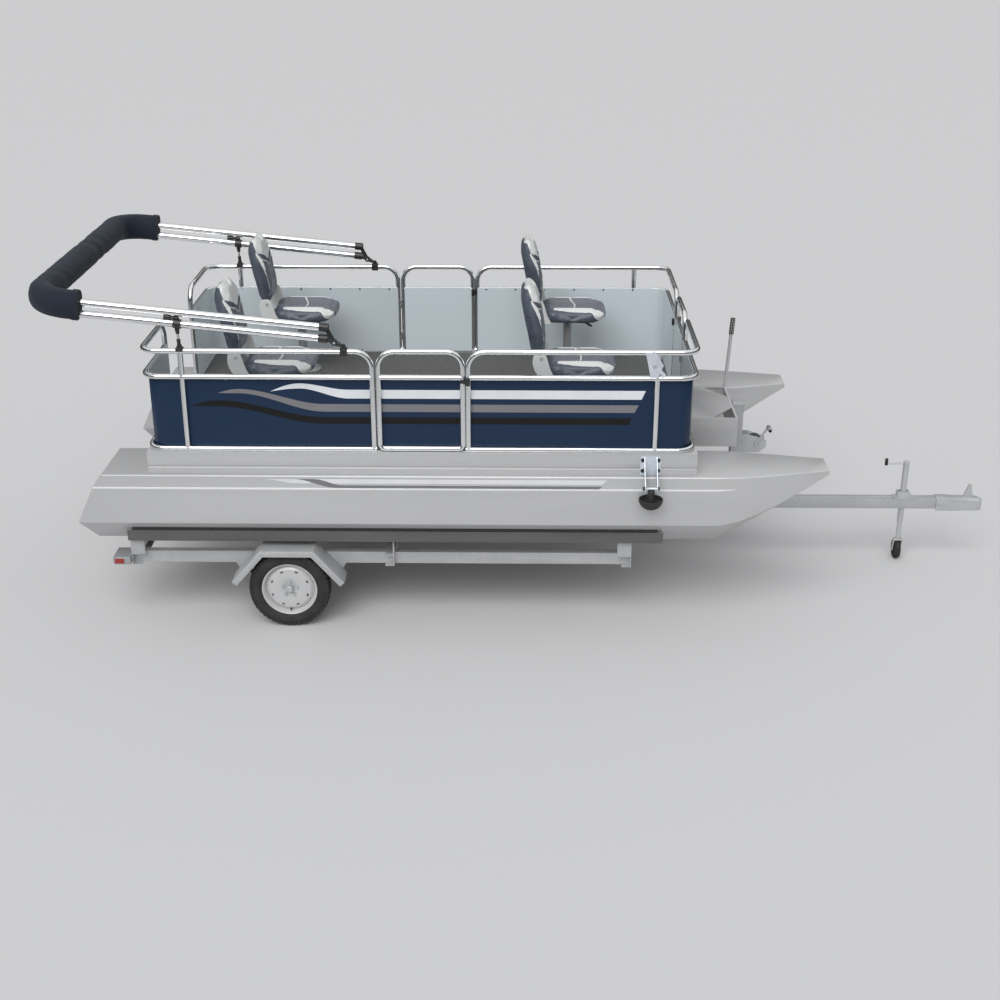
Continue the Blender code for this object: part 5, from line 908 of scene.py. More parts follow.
def white_tip(x):
    """The white flash's aft tip, cut by the grey one."""
    foot = swoop(x, -0.96, 0.17, WHITE_FOOT, FLASH_TOP - 0.003)
    return max(min(FLASH_TOP, swoop_foot(x) - 0.001), foot), foot


FLASHES = (
    # name, paint, its top and foot at a station, first and last station, and the fore end's rake
    ("tip", flash_white, white_tip, -0.96, -0.69, 0.0),
    ("grey", flash_grey, lambda x: (min(FLASH_TOP, swoop_top(x)), swoop_foot(x)), -0.79, 1.108, 0.021),
    ("white", flash_white, lambda x: (FLASH_TOP, min(FLASH_TOP, max(WHITE_FOOT, swoop_top(x) + 0.001))),
     -0.67, 1.126, 0.030),
)
deck_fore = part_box("deck_frame")[1].x
for name, side in SIDES:
    dressed("pontoon_" + name, "pontoon_" + name + "_skin", hull_skin, ROOT, edge=0.003, segments=3)
    low, high, outer, inner = faces_of("pontoon_" + name, side)
    beads = bmesh.new()
    for y in (outer - side * SEAM_SINK, inner + side * SEAM_SINK):
        ends = [(x, y, SEAM_HEIGHT) for x in (low.x + SEAM_AFT, deck_fore + SEAM_FORE)]
        piped(beads, ends, WELD_RADIUS, 8)
    made_object("hull_seam_" + name, beads, seam_bead_highlight, ROOT)
    for label, paint, heights, start, stop, rake in FLASHES:
        band = bmesh.new()
        band_mesh(band, moved(heights, BOAT_MIDDLE), start - BOAT_MIDDLE, stop - BOAT_MIDDLE, rake,
                  outer - side * FLASH_SINK, side, FLASH_LIFT)
        made_object("hull_flash_" + label + "_" + name, band, paint, ROOT)

# Deck. An extruded aluminium edge rail with a groove runs round a floor of grey marine matting;
# four round pedestals with bolted base plates carry the seats.
RAIL_GREY = (0.535, 0.537, 0.540)
MAT_GREY = (0.088, 0.087, 0.086)
PEDESTAL_GREY = (0.40, 0.405, 0.41)
MAT_SCALE = 900.0
# Height above the deck and radius of a pedestal's foot
PEDESTAL_FOOT = ((0, 0), (0, 0.125), (0.006, 0.125), (0.011, 0.117), (0.012, 0.060), (0.018, 0.045),
                 (0.030, 0.036), (0.055, 0.0305))
SCREW_COUNT = 6
SCREW_CIRCLE = 0.092
SCREW_RISE = 0.0118
RAIL_RIVET_COUNT = 14
RAIL_RIVET_INSET = 0.12
RAIL_RIVET_HEIGHT = 1.082


def joint_place(name):
    """Where a joint's axis lies."""
    return Vector(next(joint for joint in frame["joints"] if joint["name"] == name)["pos_m"])
rail_skin = finish("deck_rail_aluminium", RAIL_GREY, 0.36, metallic=0.35, stain=HULL_STAIN, stain_share=0.25,
                   patch=2.0, stretch=(0.2, 0.2, 3.0), grain=300.0, depth=0.0001)
matting = finish("deck_matting", MAT_GREY, 0.92, stain=(0.125, 0.124, 0.122), stain_share=0.6, patch=28.0,
                 grain=MAT_SCALE, depth=0.0015)
pedestal_skin = finish("pedestal_aluminium", PEDESTAL_GREY, 0.33, metallic=0.7, patch=15.0, grain=300.0,
                       depth=0.0001)
dressed("deck_frame", "deck_edge_rail", rail_skin, ROOT, edge=0.0015)
deck_low, deck_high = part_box("deck_frame")
deck_top = deck_high.z
floor_low, floor_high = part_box("deck_floor")
mat = bmesh.new()
slab(mat, floor_low, (floor_high.x, floor_high.y, deck_top), 0.002)
deck_mat = made_object("deck_mat", mat, matting, ROOT)
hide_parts("deck_floor")
PEDESTALS = {}
posts = bmesh.new()
screws = []
top = floor_high.z
for label in ("starboard_aft", "starboard_fore", "port_aft", "port_fore"):
    spot = joint_place("seat_" + label + "_swivel")
    PEDESTALS[label] = spot
    profile = [(deck_top + rise, radius) for rise, radius in PEDESTAL_FOOT]
    revolved(posts, profile + [(top - 0.002, 0.030), (top, 0.029), (top, 0)], "z", (spot.x, spot.y, 0), 48)
    for index in range(SCREW_COUNT):
        turn = 2 * math.pi * (index + 0.5) / SCREW_COUNT
        screws.append(((spot.x + SCREW_CIRCLE * math.cos(turn), spot.y + SCREW_CIRCLE * math.sin(turn),
                        deck_top + SCREW_RISE), (0, 0, 1)))
made_object("seat_pedestals", posts, pedestal_skin, ROOT)
fasteners("pedestal_screws", screws, zinc_plate, ROOT, 0.010, 0.004)
rivets = []
rivet_run = (deck_high.x - deck_low.x - 2 * RAIL_RIVET_INSET) / (RAIL_RIVET_COUNT - 1)
for face, side in ((deck_low.y, -1), (deck_high.y, 1)):
    for index in range(RAIL_RIVET_COUNT):
        x = deck_low.x + RAIL_RIVET_INSET + index * rivet_run
        rivets.append(((x, face, RAIL_RIVET_HEIGHT), (0, side, 0)))
fasteners("deck_rail_rivets", rivets, rail_skin, ROOT, 0.009, 0.002, 12)

# Bow step. A welded tray of aluminium sheet bridges the hull noses; its grab bar
# is a bare tube with a black rubber grip at the top.
BAR_PLACE = (2.057, 0.322)
BAR_BEND_HEIGHT = 1.175
GRIP_LENGTH = 0.115
GRIP_LEAN = 0.030
GRIP_RINGS = 12
GRIP_RIDGE, GRIP_GROOVE = 0.0172, 0.0163
GRIP_GAP = 0.0003
dressed("bow_step", "bow_step_tray", hull_skin, ROOT, edge=0.0012)
bar_x, bar_y = BAR_PLACE[0] - BOAT_MIDDLE, middle_y + BAR_PLACE[1]
bar_top = Vector((bar_x + GRIP_LEAN, bar_y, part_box("bow_step")[1].z))
down = (Vector((bar_x, bar_y, BAR_BEND_HEIGHT)) - bar_top).normalized()
profile = [(0.0005, 0), (0.0005, 0.012)]
for index in range(GRIP_RINGS + 1):
    radius = GRIP_RIDGE if index % 2 else GRIP_GROOVE
    profile.append((index * (GRIP_LENGTH - 0.002) / GRIP_RINGS + 0.001, radius))
profile += [(GRIP_LENGTH, 0.0125), (GRIP_LENGTH, 0)]
grip = revolved(bmesh.new(), [(-distance, radius) for distance, radius in profile], "z", (0, 0, 0), 28)
lean = Vector((0, 0, -1)).rotation_difference(down).to_matrix().to_4x4()
bar_top.z += GRIP_GAP
bmesh.ops.transform(grip, matrix=Matrix.Translation(bar_top) @ lean, verts=grip.verts)
made_object("grab_bar_grip", grip, grip_black, ROOT)

# Fence. Bent and welded aluminium tube, polished bright, stands on the deck's edge in four panels;
# flat painted sheets are riveted to its inner side, navy outside and pale grey-blue inside.
TUBE = 0.0172
TUBE_INSIDE = 0.014
GAP = 0.0003
FENCE_CORNER = 0.100
POST_BEND = 0.104
POST_SETBACK = 0.2445
SHEET_LAP = 0.012
SHEET_THICK = 0.003
END_REACH, SIDE_REACH = 1.25, 0.70
RIVETS_A_RAIL = 6
RIVET_START = 0.3
TUBE_BRIGHT = (0.83, 0.84, 0.85)
SHEET_NAVY = (0.0120, 0.0270, 0.0620)
SHEET_PALE = (0.655, 0.725, 0.765)
STRIPE_WHITE = (0.68, 0.705, 0.73)
STRIPE_GREY = (0.185, 0.181, 0.195)
STRIPE_BLACK = (0.010, 0.010, 0.010)
STRIPE_LIFT = 0.0005
polished = finish("polished_tube", TUBE_BRIGHT, 0.13, metallic=1.0, stain=(0.62, 0.63, 0.64), stain_share=0.3,
                  patch=5.0, spread=0.10, grain=700.0, depth=0.00003)
pale_paint = finish("sheet_inside", SHEET_PALE, 0.34, metallic=0.1, stain=(0.61, 0.68, 0.72), stain_share=0.3,
                    patch=2.0, grain=260.0, depth=0.00005, coat=0.1)
navy_paint = finish("sheet_navy", SHEET_NAVY, 0.30, stain=(0.015, 0.031, 0.066), stain_share=0.6, patch=1.5,
                    grain=260.0, depth=0.00005, shine=0.18)
stripe_paint = {"white": finish("stripe_white", STRIPE_WHITE, 0.32, grain=300.0, depth=0.00003, coat=0.3),
                "grey": finish("stripe_grey", STRIPE_GREY, 0.34, grain=300.0, depth=0.00003, shine=0.3),
                "black": finish("stripe_black", STRIPE_BLACK, 0.34, grain=300.0, depth=0.00003, shine=0.2)}
fitting_black = finish("fitting_black", (0.014, 0.014, 0.015), 0.42, stain=(0.05, 0.05, 0.05), patch=30.0,
                       grain=500.0, depth=0.0002, coat=0.15)
rail_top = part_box("gate_port")[1].z - TUBE_INSIDE
rail_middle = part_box("sheet_port_fore")[1].z - SHEET_LAP
rail_foot = deck_top + TUBE_INSIDE + GAP
STRIPES = (
    # name, tip, crest, where it levels out, level heights, crest heights, fore end and its rake
    ("white", (-0.918, 1.588), -0.735, -0.440, (1.6015, 1.5450), (1.6410, 1.6085), 1.357, 0.024),
    ("grey", (-1.241, 1.577), -1.110, -0.590, (1.5085, 1.4590), (1.6035, 1.5760), 1.316, 0.026),
    ("black", (-1.417, 1.494), -1.235, -0.600, (1.4235, 1.3800), (1.5290, 1.4900), 1.286, 0.014),
)


def two_sided(name, node, body, outward):
    """A painted sheet from its CAD node: navy where it faces outwards, pale elsewhere."""
    item = dressed(node, name, pale_paint, body, edge=0.0005, segments=1)
    item.data.materials.append(navy_paint)
    for face in item.data.polygons:
        if outward(face):
            face.material_index = 1
    return item


cockpit_middle = Vector(((deck_low.x + deck_high.x) / 2, middle_y, 0))


def faces_out(face):
    """True where a fence sheet's face looks away from the cockpit."""
    away = face.center - cockpit_middle
    flat = Vector((away.x if abs(away.x) > END_REACH else 0, away.y if abs(away.y) > SIDE_REACH else 0, 0))
    return abs(face.normal.z) < 0.5 and face.normal.dot(flat) > 0.02


def striped(label, body, face_y, side, start, stop):
    """The three stripes where they cross one sheet."""
    for name, tip, crest, level, level_heights, crest_heights, end, rake in STRIPES:
        first = max(start, tip[0] - BOAT_MIDDLE)
        last = min(stop, end - BOAT_MIDDLE)
        if last <= first:
            continue
        raked = rake if last < stop else 0.0
        heights = moved(wave_band(tip, crest, level, level_heights, crest_heights), BOAT_MIDDLE)
        band = bmesh.new()
        columns = 70 if first < -1.0 else 4
        band_mesh(band, heights, first, last, raked, face_y, side, STRIPE_LIFT, columns)
        made_object("stripe_" + name + "_" + label, band, stripe_paint[name], body)


FENCE_PLACES = {}
for name, side in SIDES:
    for end_name, end in (("aft", -1), ("fore", 1)):
        label = name + "_" + end_name
        low, high, outer, inner = faces_of("sheet_" + label, side)
        gate_x, last_x = (high.x, low.x) if end < 0 else (low.x, high.x)
        last_x += end * (TUBE_INSIDE + GAP)
        rail_y = outer + side * (TUBE_INSIDE + GAP)
        FENCE_PLACES[label] = (last_x, rail_y)
        plan = [(gate_x, rail_y), (last_x, rail_y), (last_x, inner)]
        tubes = bmesh.new()
        path = [(x, y, rail_top) for x, y in plan]
        path = [(gate_x, rail_y, rail_foot), *path, (last_x, inner, rail_foot)]
        piped(tubes, arc_path(path, (POST_BEND, FENCE_CORNER, POST_BEND), 10), TUBE, 24)
        piped(tubes, arc_path([(x, y, rail_middle) for x, y in plan], FENCE_CORNER, 10), TUBE * 0.995, 24)
        foot_plan = [(gate_x - end * TUBE, rail_y), (last_x, rail_y), (last_x, inner - side * TUBE)]
        piped(tubes, arc_path([(x, y, rail_foot) for x, y in foot_plan], FENCE_CORNER, 10), TUBE, 24)
        post_x = last_x - end * POST_SETBACK
        piped(tubes, [(post_x, rail_y, rail_foot), (post_x, rail_y, rail_top)], TUBE * 0.99, 24)
        fence = made_object("fence_" + label + "_tubes", tubes, polished, ROOT)
        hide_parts("fence_" + label)
        two_sided("fence_" + label + "_sheet", "sheet_" + label, ROOT, faces_out)
        straight = last_x - end * FENCE_CORNER
        striped(label, ROOT, outer, side, min(gate_x, straight), max(gate_x, straight))
        rivets = []
        for z in (rail_middle, rail_foot):
            for step in range(RIVETS_A_RAIL):
                x = gate_x + (straight - gate_x) * (step + RIVET_START) / RIVETS_A_RAIL
                rivets.append(((x, outer - side * SHEET_THICK, z), (0, -side, 0)))
        fasteners("sheet_rivets_" + label, rivets, polished, ROOT, 0.009, 0.0022, 12)

# Gates. Three looped tube gates with their own sheets hang on stacked knuckles and
# close with black spring latches on the inner side.
GATE_BEND = 0.098
GATE_FOOT_BEND = 0.030
HINGE_OFFSET = 0.024
KNUCKLE_RADIUS = 0.0065
KNUCKLE_LENGTH = 0.030
KNUCKLE_EDGE = 0.0008
HINGE_SHARES = (0.24, 0.76)
HINGE_SPACE = 0.0106
LEAF_HALF = (0.0015, 0.012)
# Height up a pin's cap and its radius
PIN_CAP = ((0, 0), (0, 0.0045), (0.002, 0.0040), (0.003, 0.002), (0.003, 0))
SHEET_INSET = 0.010
LATCH_SHARE = 0.95
# Start and stop across the post, near and far off the tube, half the height, edge and its segments
LATCH_SLABS = ((-0.009, 0.012, 0.0005, 0.016, 0.024, 0.003, 3), (0.004, 0.028, 0.007, 0.014, 0.009, 0.002, 2))
# Start and stop across the post, thickness off the tube and height
CATCH_SLABS = ((-0.016, 0.040, 0.006, 0.022), (0.016, 0.046, 0.014, 0.050))
CATCH_DROP = 0.020
CATCH_GAP = 0.0008
hinge_metal = finish("hinge_steel", (0.62, 0.63, 0.64), 0.28, metallic=0.95, patch=30.0, grain=400.0,
                     depth=0.0001)


def gate(label, hinge, latch, inward, body, outward_test):
    """One gate: loop, middle tube, knuckles with their pins, latch and sheet."""
    hinge, latch, inward = Vector(hinge), Vector(latch), Vector(inward)
    width = (latch - hinge).normalized()
    foot = deck_top + 0.006 + TUBE_INSIDE
    corners = [Vector((*place, z)) for place, z in ((hinge, foot), (hinge, rail_top), (latch, rail_top),
                                                    (latch, foot))]
    middle = (corners[0] + corners[3]) / 2
    path = arc_path([middle, *corners, middle], (GATE_FOOT_BEND, GATE_BEND, GATE_BEND, GATE_FOOT_BEND), 10)
    loop = bmesh.new()
    piped(loop, path[1:-1], TUBE, 24, looped=True)
    piped(loop, [(*hinge, rail_middle), (*latch, rail_middle)], TUBE * 0.985, 24)
    item = made_object("gate_" + label + "_loop", loop, polished, body)
    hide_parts("gate_" + label)
    axis = hinge - width * (TUBE_INSIDE + HINGE_SPACE / 2) + inward * HINGE_OFFSET
    fixed, hung, pins = bmesh.new(), bmesh.new(), bmesh.new()
    post = hinge - width * (2 * TUBE_INSIDE + HINGE_SPACE)
    for share in HINGE_SHARES:
        z = rail_foot + (rail_middle - rail_foot) * share
        for lift, target, holder in ((1, hinge, hung), (-1, post, fixed)):
            centre = z + lift * (KNUCKLE_LENGTH + GAP) / 2
            low, high = centre - KNUCKLE_LENGTH / 2, centre + KNUCKLE_LENGTH / 2
            near, far = KNUCKLE_RADIUS - KNUCKLE_EDGE, KNUCKLE_RADIUS
            revolved(holder, [(low, 0), (low, near), (low + KNUCKLE_EDGE, far), (high - KNUCKLE_EDGE, far),
                              (high, near), (high, 0)], "z", (*axis, 0), 20)
            reach = target - axis
            across = Vector((-reach.y, reach.x)).normalized() * LEAF_HALF[0]
            leaf = [axis + across, axis - across, target - across, target + across]
            lofted(holder, [[(*point, centre + way * LEAF_HALF[1]) for point in leaf] for way in (-1, 1)])
        cap = z + KNUCKLE_LENGTH + GAP
        revolved(pins, [(cap + height, radius) for height, radius in PIN_CAP], "z", (*axis, 0), 16)
    made_object("gate_" + label + "_knuckles", hung, hinge_metal, body)
    made_object("gate_" + label + "_pin_caps", pins, hinge_metal, body)
    made_object("post_knuckles_" + label, fixed, hinge_metal, ROOT)
    z = foot + (rail_middle - foot) * LATCH_SHARE
    housing = bmesh.new()
    for start, stop, near, far, half, edge, segments in LATCH_SLABS:
        slab(housing, (*(latch + width * start + inward * (TUBE + near)), z - half),
             (*(latch + width * stop + inward * (TUBE + far)), z + half), edge, segments)
    made_object("gate_" + label + "_latch", housing, fitting_black, body)
    z = rail_middle - CATCH_DROP
    strap = bmesh.new()
    for start, stop, thick, tall in CATCH_SLABS:
        slab(strap, (*(latch + width * start - inward * (TUBE + CATCH_GAP)), z - tall / 2),
             (*(latch + width * stop - inward * (TUBE + thick)), z + tall / 2), 0.002, 3)
    made_object("gate_catch_" + label, strap, fitting_black, ROOT)
    two_sided("gate_" + label + "_panel", "gate_sheet_" + label, body, outward_test)


for name, side in SIDES:
    low, high, outer, _ = faces_of("gate_sheet_" + name, side)
    rail_y = FENCE_PLACES[name + "_aft"][1]
    hinge, latch = (low.x - SHEET_INSET, rail_y), (high.x + SHEET_INSET, rail_y)
    gate(name, hinge, latch, (0, -side), "gate_" + name, lambda face, side=side: face.normal.y * side > 0.5)
    striped("gate_" + name, "gate_" + name, outer, side, low.x + 0.0005, high.x - 0.0005)
low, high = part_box("gate_sheet_bow")
bow_x = FENCE_PLACES["port_fore"][0]
gate("bow", (bow_x, low.y - SHEET_INSET), (bow_x, high.y + SHEET_INSET), (-1, 0), "gate_bow",
     lambda face: face.normal.x > 0.5)

# Folding canopy. Two polished bows hinge on black clamps over the side rails and lie aft, resting
# on short black struts; the rolled cloth is packed in a zipped navy sleeve round their ends.
CANOPY_TUBE = 0.0232
CANOPY_SLOPE = math.radians(5.8)
FITTING_DROP = math.radians(24.0)
FITTING_LENGTH = 0.115
BOW_SPACE = 0.070
CANOPY_REACH = 1.755
CANOPY_CORNER = 0.200
SLEEVE_ARM = 0.262
SLEEVE_LIFT = 0.053
SLEEVE_HALF = (0.076, 0.088)
CLOTH_NAVY = (0.0130, 0.0185, 0.0300)
CLOTH_WORN = (0.020, 0.027, 0.041)
EYE_RADIUS = 0.0130
STRUT_DROP = 0.034
CLAMP_WALL = 0.006
MOUNT_RISE = 0.0125
SOCKET_RADIUS, SOCKET_END_RADIUS = 0.0262, 0.0246
FORK_SHARE = 0.50
PIN_RADIUS = 0.0045
COLLAR_RADIUS = 0.0285
REST_RADIUS = 0.0155
LINK_RADIUS, LINK_END_RADIUS = 0.0118, 0.0100
LINK_BEAD = 0.002
# Where the link's two sleeves end and start along its length
LINK_SHARES = (0.40, 0.72)
CORE_SHARES = (0.39, 0.73)
CORE_RADIUS = 0.0072
hinge_mid = joint_place("canopy_raise")
last_x, rail_y = FENCE_PLACES["port_aft"]
rail_half = rail_y - middle_y
strut_foot_x = last_x + POST_SETBACK


def bow_line(distance, lift):
    """A point in the canopy's side view, aft of the hinge along its tubes."""
    start = Vector((-math.cos(FITTING_DROP), 0, math.sin(FITTING_DROP))) * FITTING_LENGTH
    run = Vector((-math.cos(CANOPY_SLOPE), 0, math.sin(CANOPY_SLOPE))) * distance
    return hinge_mid + start + run + Vector((math.sin(CANOPY_SLOPE), 0, math.cos(CANOPY_SLOPE))) * lift


def bow_path(lift, reach, corner, steps=12):
    """One bow, from the starboard fitting round to the port one."""
    far, near = bow_line(reach, lift), bow_line(0, lift)
    half = Vector((0, rail_half, 0))
    return arc_path([near - half, far - half, far + half, near + half], corner, steps)


bows = bmesh.new()
for lift in (0.0, BOW_SPACE):
    piped(bows, bow_path(lift, CANOPY_REACH, CANOPY_CORNER), CANOPY_TUBE, 22)
bow_piece = made_object("canopy_bows", bows, polished, "canopy")
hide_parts("canopy_frame")

def peg(shape, x, z, near, far, radius, steps):
    """A plain pin across the boat."""
    revolved(shape, [(near, 0), (near, radius), (far, radius), (far, 0)], "y", (x, 0, z), steps)


def ringed(shape, path, radii, sides):
    """A round tube with a smaller bead at each end, from four points along it."""
    near, far = radii
    piped(shape, path[:2], near, sides)
    piped(shape, path[1:-1], far, sides)
    piped(shape, path[-2:], near, sides)


knuckle_run = (bow_line(0, 0).x - strut_foot_x) / math.cos(CANOPY_SLOPE)
run = (bow_line(1, 0) - bow_line(0, 0)).normalized()
clamp_half = TUBE + CLAMP_WALL
mount_rise = clamp_half + MOUNT_RISE + GAP
for name, side in SIDES:
    aside = Vector((0, side * rail_half, 0))
    hinge = hinge_mid + aside
    fittings = bmesh.new()
    low_end, high_end = bow_line(0.004, 0.0) + aside, bow_line(0.004, BOW_SPACE) + aside
    toward = (low_end - hinge).normalized()
    for end in (low_end, high_end):
        piped(fittings, [end + run * reach for reach in (-0.016, -0.013, 0.030, 0.034)], SOCKET_RADIUS, 24)
        piped(fittings, [end + run * reach for reach in (0.034, 0.040)], SOCKET_END_RADIUS, 24)
    fork = hinge + (low_end - hinge) * FORK_SHARE
    piped(fittings, [fork, hinge + toward * 0.012], 0.0115, 16)
    piped(fittings, [fork - toward * 0.004, hinge + toward * 0.026], 0.0145, 20)
    piped(fittings, [low_end, fork], 0.0130, 16)
    piped(fittings, [high_end, fork], 0.0130, 16)
    for spot, size in ((hinge, EYE_RADIUS), (fork, 0.0185), (high_end, 0.0215), (low_end, 0.0205)):
        wide = 0.0068 if spot is hinge else 0.0150
        revolved(fittings, [(-wide, 0.0), (-wide, size - 0.0015), (0.0015 - wide, size),
                            (wide - 0.0015, size), (wide, size - 0.0015), (wide, 0.0)], "y", spot, 28)
    made_object("canopy_fittings_" + name, fittings, fitting_black, "canopy")
    bolts = [(spot + Vector((0, out * 0.0155, 0)), (0, out, 0))
             for spot in (fork, high_end, low_end) for out in (-1, 1)]
    fasteners("canopy_fitting_bolts_" + name, bolts, zinc_plate, "canopy", 0.010, 0.004)
    clamp = bmesh.new()
    y = middle_y + side * rail_half
    for x, rise, slot, pinned in ((hinge.x, hinge.z - rail_top, 0.0073, True),
                                  (strut_foot_x, mount_rise, 0.0063, False)):
        foot = rail_top - clamp_half if pinned else rail_top
        crown = rail_top + clamp_half
        slab(clamp, (x - 0.023, y - clamp_half, foot), (x + 0.023, y + clamp_half, crown), 0.004, 3)
        for ear in (-1, 1):
            ear_shape = bmesh.new()
            slab(ear_shape, (x - EYE_RADIUS, y + ear * slot, crown - 0.004),
                 (x + EYE_RADIUS, y + ear * (slot + 0.005), rail_top + rise + EYE_RADIUS))
            upright = [edge for edge in ear_shape.edges
                       if abs((edge.verts[0].co - edge.verts[1].co).y) > 0.001
                       and edge.verts[0].co.z > rail_top + rise]
            bmesh.ops.bevel(ear_shape, geom=upright, offset=EYE_RADIUS * 0.7, segments=5, affect="EDGES")
            joined(clamp, ear_shape)
        if pinned:
            peg(clamp, x, rail_top + rise, y - 0.0135, y + 0.0135, PIN_RADIUS, 20)
    made_object("rail_clamps_" + name, clamp, fitting_black, ROOT)
    fasteners("rail_clamp_bolts_" + name,
              [((hinge.x + step, middle_y + side * (rail_half + out * 0.020), rail_top), (0, out, 0))
               for step in (-0.013, 0.013) for out in (-1, 1)], zinc_plate, ROOT, 0.008, 0.003)
    pin = bow_line(knuckle_run, -STRUT_DROP) + aside
    collar = bmesh.new()
    centre = pin + (bow_line(0, STRUT_DROP) - bow_line(0, 0))
    piped(collar, [centre + run * reach for reach in (-0.024, -0.021, 0.021, 0.024)], COLLAR_RADIUS, 26)
    rest = centre + (bow_line(0, BOW_SPACE * 0.50) - bow_line(0, 0))
    piped(collar, [rest + run * reach for reach in (0.082, 0.078, 0.046)], REST_RADIUS, 18)
    piped(collar, [rest + run * 0.048, rest - run * 0.006], 0.0105, 16)
    piped(collar, [centre, rest], 0.0125, 16)
    for ear in (-1, 1):
        slab(collar, (pin.x - 0.0125, pin.y + ear * 0.0063, pin.z - 0.0125),
             (pin.x + 0.0125, pin.y + ear * 0.0113, centre.z - 0.012), 0.002)
    peg(collar, pin.x, pin.z, pin.y - 0.0125, pin.y + 0.0125, 0.004, 18)
    made_object("canopy_collar_" + name, collar, fitting_black, "canopy")
    foot = Vector((strut_foot_x, pin.y, rail_top + mount_rise))
    link = bmesh.new()
    for spot in (pin, foot):
        revolved(link, [(-0.006, 0.0046), (-0.006, 0.0115), (-0.005, 0.0125), (0.005, 0.0125),
                        (0.006, 0.0115), (0.006, 0.0046)], "y", spot, 28)
    line = (pin - foot).normalized()
    length = (pin - foot).length
    for start, stop in ((foot + line * 0.010, foot + line * length * LINK_SHARES[0]),
                        (foot + line * length * LINK_SHARES[1], pin - line * 0.010)):
        bead = (stop - start).normalized() * LINK_BEAD
        ringed(link, [start, start + bead, stop - bead, stop], (LINK_END_RADIUS, LINK_RADIUS), 18)
    strut = made_object("strut_link_" + name, link, fitting_black, "strut_" + name)
    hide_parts("canopy_strut_" + name)
    core = bmesh.new()
    piped(core, [foot + line * length * share for share in CORE_SHARES], CORE_RADIUS, 16)
    made_object("strut_core_" + name, core, polished, "strut_" + name)


# One group gives woven cloth: two crossed sets of threads in the height, slubs in the colour
weave_group, taken, given = node_group(
    "plain_weave", "ShaderNodeTree",
    {"Colour": "Color", "Worn": "Color", "Threads": "Float", "Wear": "Float"},
    {"Colour": "Color", "Height": "Float"})
where = added(weave_group, "ShaderNodeTexCoord").outputs["Object"]
sets = []
for direction in ("X", "Y", "Z"):
    wave = added(weave_group, "ShaderNodeTexWave", {"Vector": where, "Scale": taken["Threads"],
                                                    "Distortion": 0.6}, bands_direction=direction)
    sets.append(wave.outputs["Fac"])
crossed = worked(weave_group, "MAXIMUM", worked(weave_group, "MULTIPLY", sets[0], sets[1]), sets[2])
slubs = worked(weave_group, "SUBTRACT", noise(weave_group, where, 7.0, 7.0, 0.7), 0.35)
slubs = worked(weave_group, "MULTIPLY", slubs, 2.4, clamp=True)
share = worked(weave_group, "MULTIPLY", slubs, taken["Wear"])
fed(weave_group, given, {"Colour": blended(weave_group, share, taken["Colour"], taken["Worn"]),
                         "Height": crossed})


def woven(name, colour, worn, threads, wear, roughness):
    """A woven cloth material."""
    made, tree, shader = painted(name)
    cloth = added(tree, "ShaderNodeGroup", {"Colour": (*colour, 1), "Worn": (*worn, 1), "Threads": threads,
                                            "Wear": wear}, node_tree=weave_group)
    bump = added(tree, "ShaderNodeBump", {"Strength": 0.5, "Distance": 0.0005,
                                          "Height": cloth.outputs["Height"]})
    fed(tree, shader, {
        "Base Color": cloth.outputs["Colour"], "Normal": bump.outputs["Normal"], "Roughness": roughness,
        "Specular IOR Level": 0.25, "Sheen Weight": 0.08, "Sheen Roughness": 0.4})
    return made


# How a stuffed cover stretches and bends while it is blown up
COVER_CLOTH = {"quality": 4, "mass": 0.3, "tension_stiffness": 18, "compression_stiffness": 18,
               "shear_stiffness": 8, "bending_stiffness": 0.8, "use_pressure": True}


def plump(name, shape, voxel, pressure, cap, held=None, frames=20):
    """A closed shape filled out as a stuffed cover: remeshed evenly, blown up a little and held."""
    bmesh.ops.recalc_face_normals(shape, faces=shape.faces)
    mesh = bpy.data.meshes.new(name)
    shape.to_mesh(mesh)
    shape.free()
    item = linked(name, mesh)
    remesh = item.modifiers.new("even", "REMESH")
    remesh.mode = "VOXEL"
    remesh.voxel_size = voxel
    even = evaluated(item)
    item.modifiers.clear()
    item.data = even
    start = [vertex.co.copy() for vertex in even.vertices]
    if held:
        group = item.vertex_groups.new(name="held")
        group.add([index for index, point in enumerate(start) if held(point)], 1.0, "REPLACE")
    cloth = item.modifiers.new("filling", "CLOTH")
    for label, value in COVER_CLOTH.items():
        setattr(cloth.settings, label, value)
    cloth.settings.uniform_pressure_force = pressure
    cloth.settings.effector_weights.gravity = 0
    if held:
        cloth.settings.vertex_group_mass = "held"
    cloth.point_cache.frame_start = 1
    cloth.point_cache.frame_end = frames
    for step in range(1, frames + 1):
        bpy.context.scene.frame_set(step)
    blown = item.evaluated_get(bpy.context.evaluated_depsgraph_get()).data
    ends = [vertex.co.copy() for vertex in blown.vertices]
    item.modifiers.clear()
    for vertex, before, after in zip(item.data.vertices, start, ends):
        step = after - before
        if step.length > cap:
            step = step.normalized() * cap
        vertex.co = before + step
    bpy.context.scene.frame_set(1)
    return item


def subdivided(item):
    """One round of subdivision, kept in the mesh."""
    finer = item.modifiers.new("finer", "SUBSURF")
    finer.levels = finer.render_levels = 1
    result = evaluated(item)
    item.modifiers.clear()
    item.data = result
    result.shade_smooth()
    return item


def sleeve_path(lift, reach):
    """The sleeve's path round the bows' ends, cut short on its two arms."""
    path = bow_path(lift, reach, CANOPY_CORNER)
    end = bow_line(CANOPY_REACH - SLEEVE_ARM, lift)
    return [end - half, *path[1:-1], end + half]


